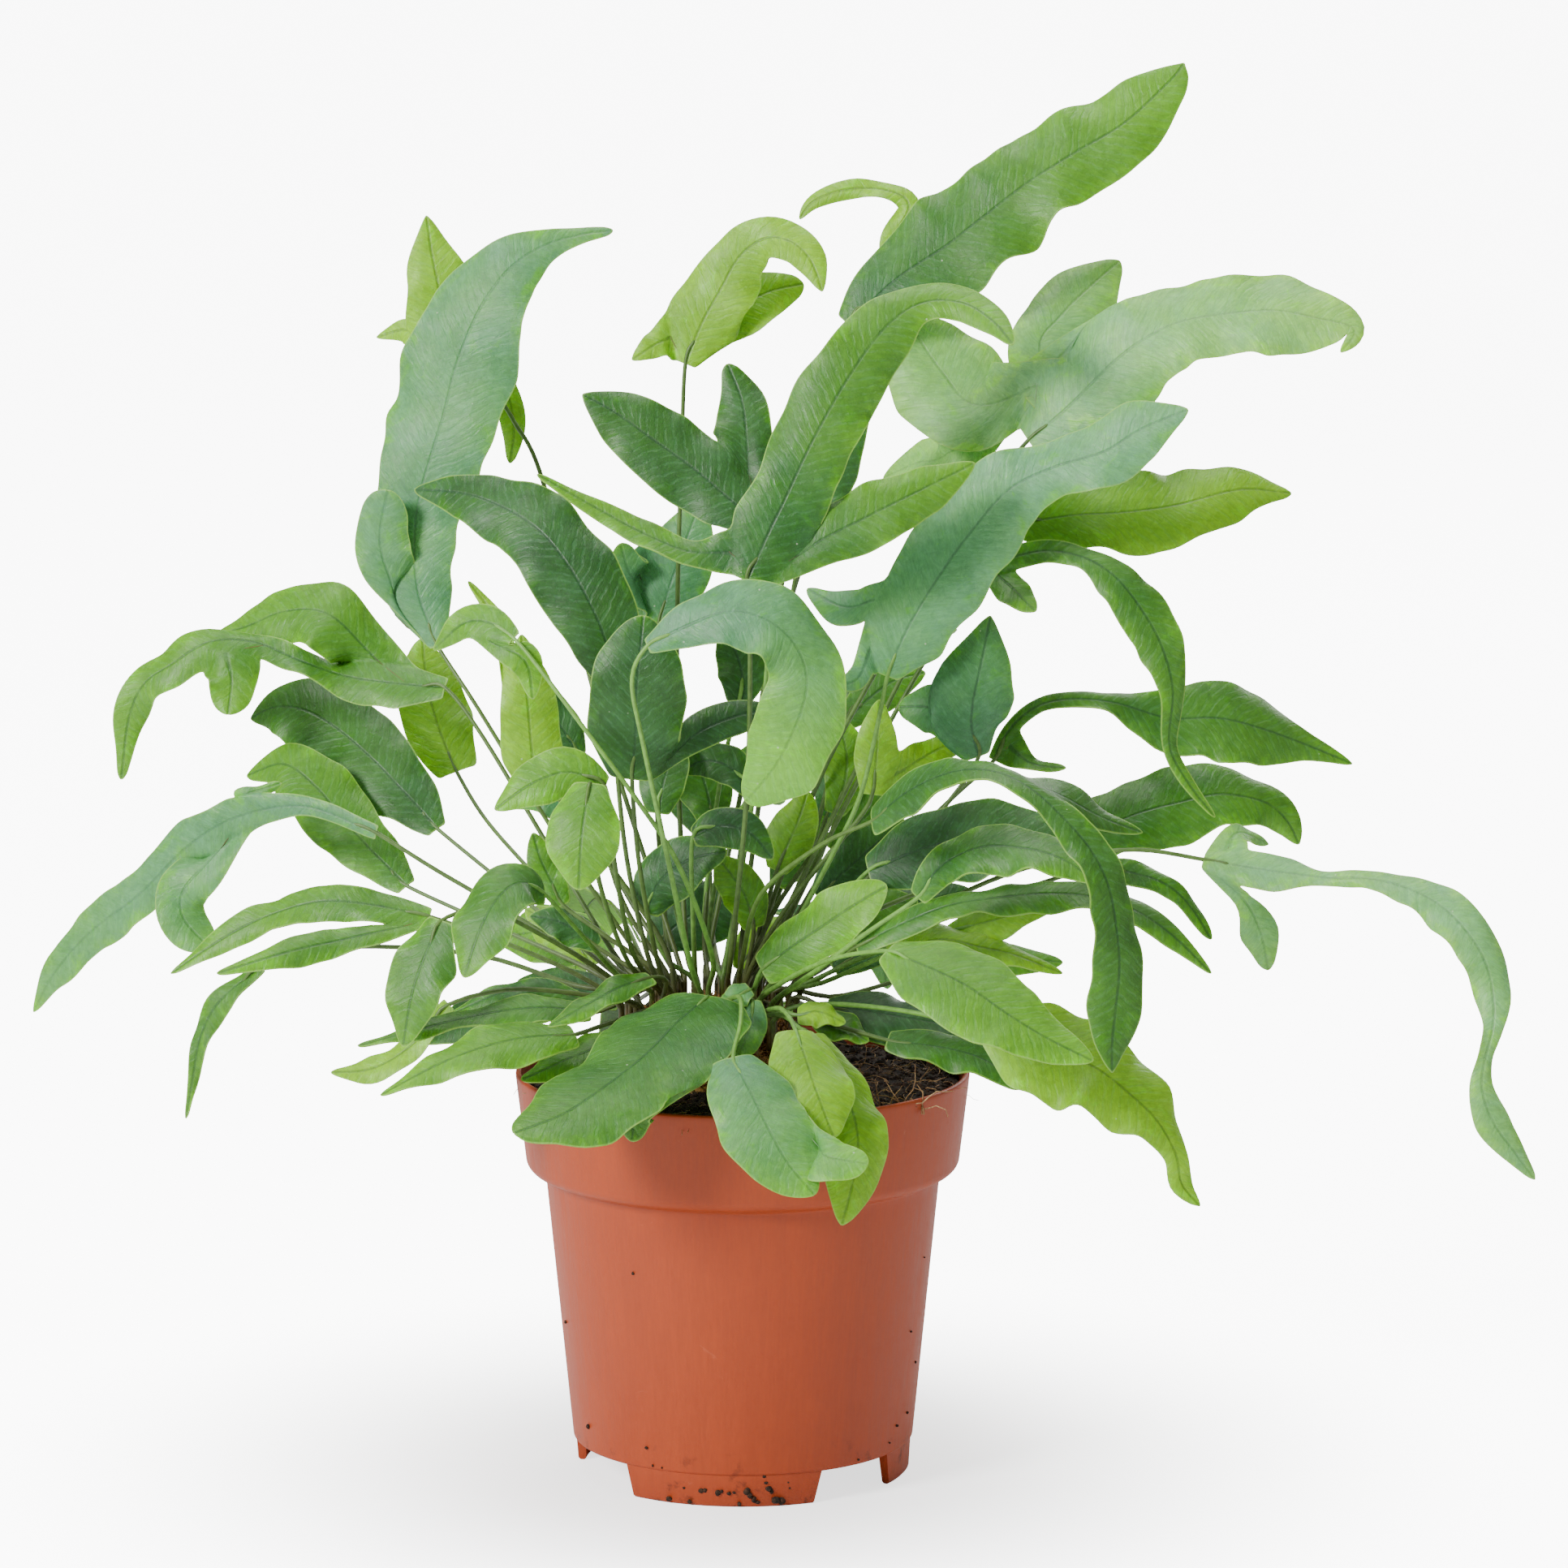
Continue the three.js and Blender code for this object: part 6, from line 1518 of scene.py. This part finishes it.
def add_rhizome(build, number, points, radius):
    """One creeping stem, knobbly and round at its ends"""
    lying = Route([(x, y, crown_height(x, y) - RHIZOME_SINK) for x, y in points])
    share = np.linspace(0, 1, RHIZOME_STEPS)
    centres = lying.point(share)
    knobs = np.array([1 + KNOB_HEIGHT * noise.noise(Vector((s * 9, number * 5.0, 0))) for s in share])
    ends = np.sqrt(np.clip(1 - np.abs(2 * share - 1) ** 8, 0.04, 1))
    first, second = carried_axes(centres)
    size = (radius * knobs * ends)[:, None]
    ring_points, faces = tube(centres, first * size, second * size, RHIZOME_SIDES)
    build.add(ring_points, faces, tube_places(centres, faces, RHIZOME_SIDES), 0)


def rhizome_piece(material):
    """The rhizomes' mound: creeping stems over a low heap"""
    build = Build()
    for number, (points, radius) in enumerate(RHIZOMES):
        add_rhizome(build, number, points, radius)
    base = SOIL_TOP - HEAP_SINK
    rise = CROWN_RISE + CROWN_FOOT
    turns = np.radians(np.linspace(0, HEAP_TURN, HEAP_RINGS))
    profile = [(CROWN_RADIUS * math.cos(a), base + rise * math.sin(a)) for a in turns]
    points, faces = lathe([(0, base), *profile, (0, base + CROWN_RISE + CROWN_FOOT)], HEAP_SIDES)
    wide, high = HEAP_LUMPS
    lumps = [noise.noise(Vector((x / wide, y / wide, z / wide))) * high for x, y, z in points]
    lifted = [z + (lump if z > base else 0) for (_, _, z), lump in zip(points, lumps)]
    points = [(x + CROWN_ACROSS, y, z) for (x, y, _), z in zip(points, lifted)]
    build.add_plain(points, faces)
    return build.finish("creeping_rhizomes", [material])


# What is said of the strewn pieces, before their seed
DRAWN = ("Pieces per square metre", "Smallest", "Largest", "Lean")


def scatter_inputs(tree):
    """The named inputs and the output of the tree that strews pieces"""
    sockets = tree.interface
    sockets.new_socket(name="Surface", in_out="INPUT", socket_type="NodeSocketGeometry")
    for label, value in zip(DRAWN, (1e5, 0.0005, 0.002, 0.5)):
        sockets.new_socket(name=label, in_out="INPUT", socket_type="NodeSocketFloat").default_value = value
    sockets.new_socket(name="Seed", in_out="INPUT", socket_type="NodeSocketInt").default_value = 1
    sockets.new_socket(name="Finish", in_out="INPUT", socket_type="NodeSocketMaterial")
    sockets.new_socket(name="Pieces", in_out="OUTPUT", socket_type="NodeSocketGeometry")


def drawn_turn(n, given, rotation):
    """The surface's own turn at each point, with a drawn lean and spin added"""
    spin = n.vector(given["Lean"], given["Lean"], math.pi)
    back = n.add("ShaderNodeVectorMath", {0: spin, "Scale": -1.0}, operation="SCALE").outputs[0]
    inputs = {1: spin, 0: back, "Seed": given["Seed"]}
    lean = n.add("FunctionNodeRandomValue", inputs, data_type="FLOAT_VECTOR").outputs[0]
    added = n.add("FunctionNodeEulerToRotation", {0: lean}).outputs[0]
    return n.add("FunctionNodeRotateRotation", {0: rotation, 1: added}, rotation_space="LOCAL").outputs[0]


def drawn_scale(n, given, least, most):
    """A drawn size, flattened or stretched by a drawn share each way"""
    inputs = {2: given["Smallest"], 3: given["Largest"], "Seed": given["Seed"]}
    size = n.add("FunctionNodeRandomValue", inputs, data_type="FLOAT").outputs[1]
    shares = n.add("FunctionNodeRandomValue", {0: least, 1: most}, data_type="FLOAT_VECTOR").outputs[0]
    return n.add("ShaderNodeVectorMath", {0: shares, "Scale": size}, operation="SCALE").outputs[0]


def scatter_tree(name, cone):
    """A Geometry Nodes tree that strews small crumbs, or stands small scales, over a surface"""
    tree = bpy.data.node_groups.new(name, "GeometryNodeTree")
    scatter_inputs(tree)
    n = Nodes(tree)
    given = n.add("NodeGroupInput").outputs
    inputs = {"Mesh": given["Surface"], "Density": given["Pieces per square metre"], "Seed": given["Seed"]}
    points = n.add("GeometryNodeDistributePointsOnFaces", inputs).outputs
    if cone:
        sizes = {"Vertices": 4, "Radius Bottom": 0.16, "Depth": 1.0}
        shape = n.add("GeometryNodeMeshCone", sizes).outputs[0]
        scale = drawn_scale(n, given, (0.8, 0.8, 0.8), (1.2, 1.2, 1.2))
    else:
        shape = n.add("GeometryNodeMeshIcoSphere", {"Radius": 0.5, "Subdivisions": 1}).outputs[0]
        scale = drawn_scale(n, given, (0.5, 0.5, 0.5), (1.1, 1.1, 0.9))
    turn = drawn_turn(n, given, points["Rotation"])
    inputs = {"Points": points["Points"], "Instance": shape, "Rotation": turn, "Scale": scale}
    strewn = n.add("GeometryNodeInstanceOnPoints", inputs).outputs[0]
    real = n.add("GeometryNodeRealizeInstances", {0: strewn}).outputs[0]
    smooth = n.add("GeometryNodeSetShadeSmooth", {0: real}).outputs[0]
    finish = n.add("GeometryNodeSetMaterial", {"Geometry": smooth, "Material": given["Finish"]}).outputs[0]
    n.add("NodeGroupOutput", {"Pieces": finish})
    return tree


# Strewn pieces: how many to the square metre, the smallest and largest in metres, their lean and the seed
SMALL_CRUMBS = (260000, 0.0006, 0.0018, 1.5, 4)
LARGE_CRUMBS = (26000, 0.0018, 0.0042, 1.5, 9)
SCALES = (900000, 0.0016, 0.0036, 0.9, 5)


def scatter(name, surface, tree, material, draw):
    """Strews pieces over a surface, given as points in millimetres and faces"""
    made = mesh_object(name, *surface)
    modifier = made.modifiers.new("strewn", "NODES")
    modifier.node_group = tree
    values = dict(zip((*DRAWN, "Seed"), draw), Finish=material)
    for item in tree.interface.items_tree:
        if item.name in values and item.in_out == "INPUT":
            modifier[item.identifier] = values[item.name]
    return plain_mesh(made)


def faces_above(made, height, facing_up=0.2):
    """The upward faces of an object above a height, as points in millimetres and faces"""
    mesh = made.data
    above = [p for p in mesh.polygons if p.center.z > height * MM and p.normal.z > facing_up]
    return read(mesh.vertices, "co", 3) / MM, [tuple(p.vertices) for p in above]


# A root fibre's steps and sides, how far it turns at each step, and its tip's thickness beside its root's
FIBRE_STEPS = 6
FIBRE_SIDES = 4
FIBRE_WANDER = 0.28
FIBRE_TIP_SHARE = 0.4


def fibre(build, start, direction, length, radius, rng, droop):
    """A thin root fibre that wanders from its start"""
    centres = [np.array(start, float)]
    heading = unit(np.array(direction, float))
    for _ in range(FIBRE_STEPS):
        heading = unit(heading + rng.normal(0, FIBRE_WANDER, 3) + np.array([0, 0, -droop]))
        centres.append(centres[-1] + heading * length / FIBRE_STEPS)
    centres = np.array(centres)
    first, second = carried_axes(centres)
    taper = (radius * np.linspace(1, FIBRE_TIP_SHARE, FIBRE_STEPS + 1))[:, None]
    points, faces = tube(centres, first * taper, second * taper, FIBRE_SIDES)
    build.add(points, faces, tube_places(centres, faces, FIBRE_SIDES), 0)


# Dry roots that lie on the peat, and the tuft of them by the rim, at the right of the front
LYING_ROOTS = 420
TUFT_ROOTS = 16
TUFT = (41.0, -37.0)
TUFT_FOOT = 103.5


def root_fibres(material):
    """Fine dry roots that lie on the peat, and a tuft that stands out of it"""
    rng = np.random.default_rng(7)
    build = Build()
    for _ in range(LYING_ROOTS):
        radius = SOIL_RADIUS * math.sqrt(rng.uniform(0.2, 0.93))
        angle = rng.uniform(0, 2 * math.pi)
        start = (radius * math.cos(angle), radius * math.sin(angle), soil_height(radius, angle) + 0.3)
        level = (*rng.normal(0, 1, 2), 0.15)
        fibre(build, start, level, rng.uniform(4, 12), rng.uniform(0.08, 0.2), rng, 0.1)
    for _ in range(TUFT_ROOTS):
        start = (TUFT[0] + rng.normal(0, 3), TUFT[1] + rng.normal(0, 2), TUFT_FOOT)
        upward = (rng.normal(0, 0.6), rng.normal(0, 0.4), 1.0)
        fibre(build, start, upward, rng.uniform(6, 15), rng.uniform(0.14, 0.28), rng, 0.12)
    return build.finish("root_fibres", [material])


# Crumbs of peat stuck to the pot: degrees round from the front, height and size in millimetres
STUCK_CRUMBS = [
    (-25.5, 1.2, 1.6), (-20, 4.6, 0.9), (-14, 4.2, 1.6), (-12.6, 4.4, 1.2), (-8.2, 3.9, 1.7),
    (-6.9, 4.3, 1.2), (-4.4, 3.8, 1.4), (-2.8, 4.1, 1.0), (1.6, 4.4, 2.1), (2.6, 3.3, 2.2),
    (3.9, 2.2, 1.8), (5.2, 1.4, 1.4), (7.4, 8.4, 1.2), (8.0, 6.6, 1.2), (9.0, 5.0, 1.8), (9.9, 4.2, 1.4),
    (11.5, 1.0, 2.6), (13.4, 0.9, 2.0), (15.6, 6.4, 0.8), (16.2, 4.8, 0.8), (-33, 14.5, 1.0),
    (-31, 9.8, 0.7), (-27.5, 9.6, 0.6), (-62, 15.8, 1.3), (-74, 42, 0.9), (-34, 62, 1.0), (62, 16, 0.9),
    (70, 18, 0.8), (58, 12, 0.7), (74, 31, 0.7), (66, 41, 0.7), (72, 60, 0.6), (42, 10, 0.8),
    (-18, 1.0, 1.2), (-1, 0.9, 1.3),
]
# How lumpy a stuck crumb is, how far it stands off the wall and how high its middle is at the least, all
# in its sizes
CRUMB_LUMPS = 0.35
CRUMB_STAND = 0.15
CRUMB_LIFT = 0.72


def stuck_crumbs(material):
    """Lumps of peat that cling to the pot's outside, most of them by its foot"""
    rng = np.random.default_rng(3)
    build = Build()
    lump = bmesh.new()
    bmesh.ops.create_icosphere(lump, subdivisions=2, radius=0.5)
    ball = np.array([v.co for v in lump.verts])
    faces = [tuple(v.index for v in f.verts) for f in lump.faces]
    lump.free()
    for degrees, height, size in STUCK_CRUMBS:
        inside = FOOT_RADIUS if height < FOOT_HEIGHT else body_inside(height) + POT_WALL
        bumps = np.array([noise.noise(Vector(p * 2.5 + rng.uniform(0, 50))) for p in ball])
        shape = ball * (1 + CRUMB_LUMPS * bumps[:, None])
        spot = np.array([*around(degrees, inside + size * CRUMB_STAND), max(height, size * CRUMB_LIFT)])
        build.add_plain(shape * size * rng.uniform(0.7, 1.1, 3) + spot, faces)
    return build.finish("stuck_crumbs", [material])


TERRACOTTA = rgb(170, 68, 27)
DEEP_TERRACOTTA = rgb(148, 54, 22)
SCUFFED = rgb(192, 96, 62)
SMEARED = rgb(62, 30, 16)
SPECKED = rgb(96, 40, 22)
# How light passes a little way into the pot's plastic, and how much it shines
POT_BODY = {
    "Specular IOR Level": 0.4, "Subsurface Weight": 0.08, "Subsurface Radius": (1.0, 0.35, 0.2),
    "Subsurface Scale": 0.002,
}


def grained(n, grains, fine, coarse, stretch=1.0):
    """The outputs of the grain at its scales"""
    values = {"Fine scale": fine, "Coarse scale": coarse, "Stretch": stretch}
    return n.add("ShaderNodeGroup", values, node_tree=grains).outputs


def pot_material(grains):
    """Satin terracotta plastic, faintly brushed, scuffed and smeared with peat near its foot"""
    material, n, shader = new_material("terracotta_plastic", POT_BODY)
    body = n.body()
    brushed = grained(n, grains, 1400.0, 260.0, 0.04)
    pitted = grained(n, grains, 2600.0, 420.0)
    color = n.lit(TERRACOTTA, n.ramp(brushed["Light"], 0.35, 0.65, 0.93, 1.05))
    color = n.mix(n.ramp(n.noise(body, 26.0, 4.0, 0.6), 0.35, 0.75, 0.0, 0.2), color, DEEP_TERRACOTTA)
    color = n.mix(n.ramp(n.noise(body, 90.0, 5.0, 0.75, 1.5), 0.66, 0.72, 0.0, 0.35), color, SCUFFED)
    low = n.ramp(n.parts(body)[2], 0.001, 0.022, 1.0, 0.0)
    smear = n.times(n.ramp(n.noise(body, 150.0, 5.0, 0.7), 0.56, 0.7), low, clamp=True)
    color = n.mix(n.times(smear, 0.75), color, SMEARED)
    color = n.mix(n.times(n.specks(body, 130.0, 0.9, 0.93), 0.6), color, SPECKED)
    n.feed(shader["Base Color"], color)
    n.feed(shader["Roughness"], n.ramp(brushed["Light"], 0.3, 0.7, 0.42, 0.54))
    n.feed(shader["Normal"], n.bump(n.plus(brushed["Relief"], pitted["Relief"]), 0.25, 0.00008))
    return material


def earthy_material(name, grains, dark, light, fine, coarse, depth, rough):
    """Peat, roots or scales: two browns in fine and coarse grain"""
    material, n, shader = new_material(name, {"Roughness": rough})
    grainy = grained(n, grains, fine, coarse)
    n.feed(shader["Base Color"], n.mix(n.ramp(grainy["Light"], 0.38, 0.66), dark, light))
    n.feed(shader["Normal"], n.bump(grainy["Relief"], 0.8, depth))
    return material


# Half the floor's width, in metres
FLOOR_REACH = 14.0
# How the floor glows to the eye alone, so that it looks white as a studio sweep does, and more weakly near
# the pot, which paints a soft disk of shade round it: how far from the pot's axis the glow starts to grow
# and is full, in metres, and how strong it is at both
GLOW_START = 0.045
GLOW_FULL = 0.22
GLOW_IN_PAINTED_SHADE = 1.8
GLOW_FAR = 9.0
WORLD_STRENGTH = 0.3
WHITE = (1, 1, 1, 1)


def link(name, data):
    """A new object in the scene"""
    made = bpy.data.objects.new(name, data)
    bpy.context.scene.collection.objects.link(made)
    return made


def floor_material():
    """A white floor, with a glow that only the camera sees, weaker near the pot so that it paints a soft
    disk of shade there
    """
    constants = {"Base Color": (0.93, 0.93, 0.93, 1), "Roughness": 0.7, "Emission Color": WHITE}
    material, n, shader = new_material("white_floor", constants)
    spot = n.parts(n.body())
    away = n.math("SQRT", n.plus(n.times(spot[0], spot[0]), n.times(spot[1], spot[1])))
    # Painted shade: the glow is weaker near the pot's axis, leaving a soft darker disk round its foot
    glow = n.ramp(away, GLOW_START, GLOW_FULL, GLOW_IN_PAINTED_SHADE, GLOW_FAR)
    seen = n.add("ShaderNodeLightPath").outputs["Is Camera Ray"]
    n.feed(shader["Emission Strength"], n.times(glow, seen))
    return material


def stage():
    """A white floor, with painted shade round the pot, and a white surround"""
    mesh = bpy.data.meshes.new("floor")
    far = FLOOR_REACH
    mesh.from_pydata([(-far, -far, 0), (far, -far, 0), (far, far, 0), (-far, far, 0)], [], [(0, 1, 2, 3)])
    mesh.materials.append(floor_material())
    link("floor", mesh)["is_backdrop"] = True
    world = bpy.data.worlds.new("studio")
    world.use_nodes = True
    background = world.node_tree.nodes["Background"]
    background.inputs["Color"].default_value = WHITE
    background.inputs["Strength"].default_value = WORLD_STRENGTH
    bpy.context.scene.world = world


# Soft lights: name, place in metres, size and power
LIGHTS = [
    ("key_left", (-1.4, -1.3, 1.2), 0.6, 58),
    ("overhead", (-0.1, 0.3, 1.7), 0.9, 17),
    ("fill_right", (1.6, -1.1, 0.6), 1.0, 3),
    ("soft_back", (0.8, 1.7, 1.1), 1.0, 14),
]


def lights():
    """Square soft lights, each aimed at the middle of the plant"""
    for name, spot, size, power in LIGHTS:
        data = bpy.data.lights.new(name, "AREA")
        data.shape = "SQUARE"
        data.size = size
        data.energy = power
        made = link(name, data)
        made.location = spot
        aim = Vector((0, 0, AIM_HEIGHT * MM)) - made.location
        made.rotation_euler = aim.to_track_quat("-Z", "Y").to_euler()


def camera():
    """The camera, where the photo was taken from"""
    data = bpy.data.cameras.new("camera")
    data.sensor_width = SENSOR_WIDTH
    data.lens = SENSOR_WIDTH * EYE_DISTANCE / VIEW_WIDTH
    data.clip_start, data.clip_end = 0.01, 50
    made = link("camera", data)
    target = Vector((AIM_ACROSS, 0, AIM_HEIGHT)) * MM
    made.location = target - Vector(SIGHT) * EYE_DISTANCE * MM
    made.rotation_euler = Vector(SIGHT).to_track_quat("-Z", "Y").to_euler()
    bpy.context.scene.camera = made


def give(piece, slot, *nodes):
    """Hangs a finished piece on the part"""
    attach(piece, "root")
    if nodes:
        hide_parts(*nodes)


# How far inside the part's box such a point is brought, in metres
BOX_MARGIN = 0.00001


def keep_inside(piece, box):
    """Brings the few points of a piece that stand out of the part's box back onto it"""
    points = read(piece.data.vertices, "co", 3)
    points = np.clip(points, np.array(box[0]) + BOX_MARGIN, np.array(box[1]) - BOX_MARGIN)
    piece.data.vertices.foreach_set("co", points.ravel())
    return piece


# Crumbs lie on the peat above this height, and scales on the rhizomes above the other, in millimetres
CRUMBS_ABOVE = 100
SCALES_ABOVE = 104
SCALES_FACING = -0.5


def add_soil(grains):
    """The peat with its crumbs and roots, and the rhizomes with their scales"""
    peat = earthy_material("peat", grains, rgb(20, 14, 9), rgb(74, 50, 32), 1500.0, 300.0, 0.0008, 0.95)
    straw = earthy_material(
        "dry_roots", grains, rgb(120, 84, 52), rgb(196, 158, 112), 900.0, 200.0, 0.0001, 0.7
    )
    fur = earthy_material(
        "golden_scales", grains, rgb(112, 72, 30), rgb(196, 146, 72), 1100.0, 160.0, 0.0003, 0.75
    )
    soil = soil_piece(peat)
    give(soil, "soil", "potting_soil")
    crumbs = scatter_tree("crumbs", cone=False)
    give(scatter("crumbs_small", faces_above(soil, CRUMBS_ABOVE), crumbs, peat, SMALL_CRUMBS), "soil")
    give(scatter("crumbs_large", faces_above(soil, CRUMBS_ABOVE), crumbs, peat, LARGE_CRUMBS), "soil")
    give(root_fibres(straw), "soil")
    give(stuck_crumbs(peat), "soil")
    rhizomes = rhizome_piece(fur)
    give(rhizomes, "rhizome", "rhizome")
    scales = scatter_tree("scales", cone=True)
    surface = faces_above(rhizomes, SCALES_ABOVE, SCALES_FACING)
    give(scatter("rhizome_scales", surface, scales, fur, SCALES), "rhizome")


LEAF_SLOTS = {
    "blue": "leaf_blue_green",
    "green": "leaf_green",
    "fresh": "leaf_fresh_green",
    "dark": "leaf_dark_green",
    "olive": "leaf_olive_green",
}


def by_key(specs, key):
    """Fronds gathered under what the key says of them, in order"""
    gathered = {}
    for spec in specs:
        gathered.setdefault(spec[key], []).append(spec)
    return gathered


def add_fronds(part_box):
    """A piece for each of the part's nodes, and one for each green of the lesser inner fronds"""
    blades = blade_materials()
    pale_stalk = stalk_material("pale_stalk", rgb(96, 134, 60), rgb(112, 164, 66))
    dark_stalk = stalk_material("dark_stalk", rgb(78, 84, 42), rgb(84, 116, 48))
    pale_rib = stalk_material("pale_rib", rgb(140, 190, 134), rgb(146, 192, 110))
    dark_rib = stalk_material("dark_rib", rgb(40, 80, 44), rgb(52, 98, 38))
    for node, specs in by_key(FRONDS, "name").items():
        green = specs[0]["green"]
        stalk = pale_stalk if node in PALE_STIPES else dark_stalk
        rib = pale_rib if node in PALE_RIBS else dark_rib
        piece = frond_piece(node, specs, [*blades[TONES.get(node, green)], stalk, rib])
        give(keep_inside(piece, part_box), LEAF_SLOTS[green], node)
    for green, specs in by_key(INNER_FRONDS, "green").items():
        piece = frond_piece("frond_within_" + green, specs, [*blades[green], dark_stalk, dark_rib])
        give(piece, LEAF_SLOTS[green])


def main():
    """The part with its looks and its stage, the fronds of its nodes kept inside the part's box"""
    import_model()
    part_box = [list(corner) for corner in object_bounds()]
    camera()
    lights()
    stage()
    grains = grain()
    give(pot_piece(pot_material(grains)), "pot_plastic", "nursery_pot")
    add_soil(grains)
    add_fronds(part_box)
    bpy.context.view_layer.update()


main()
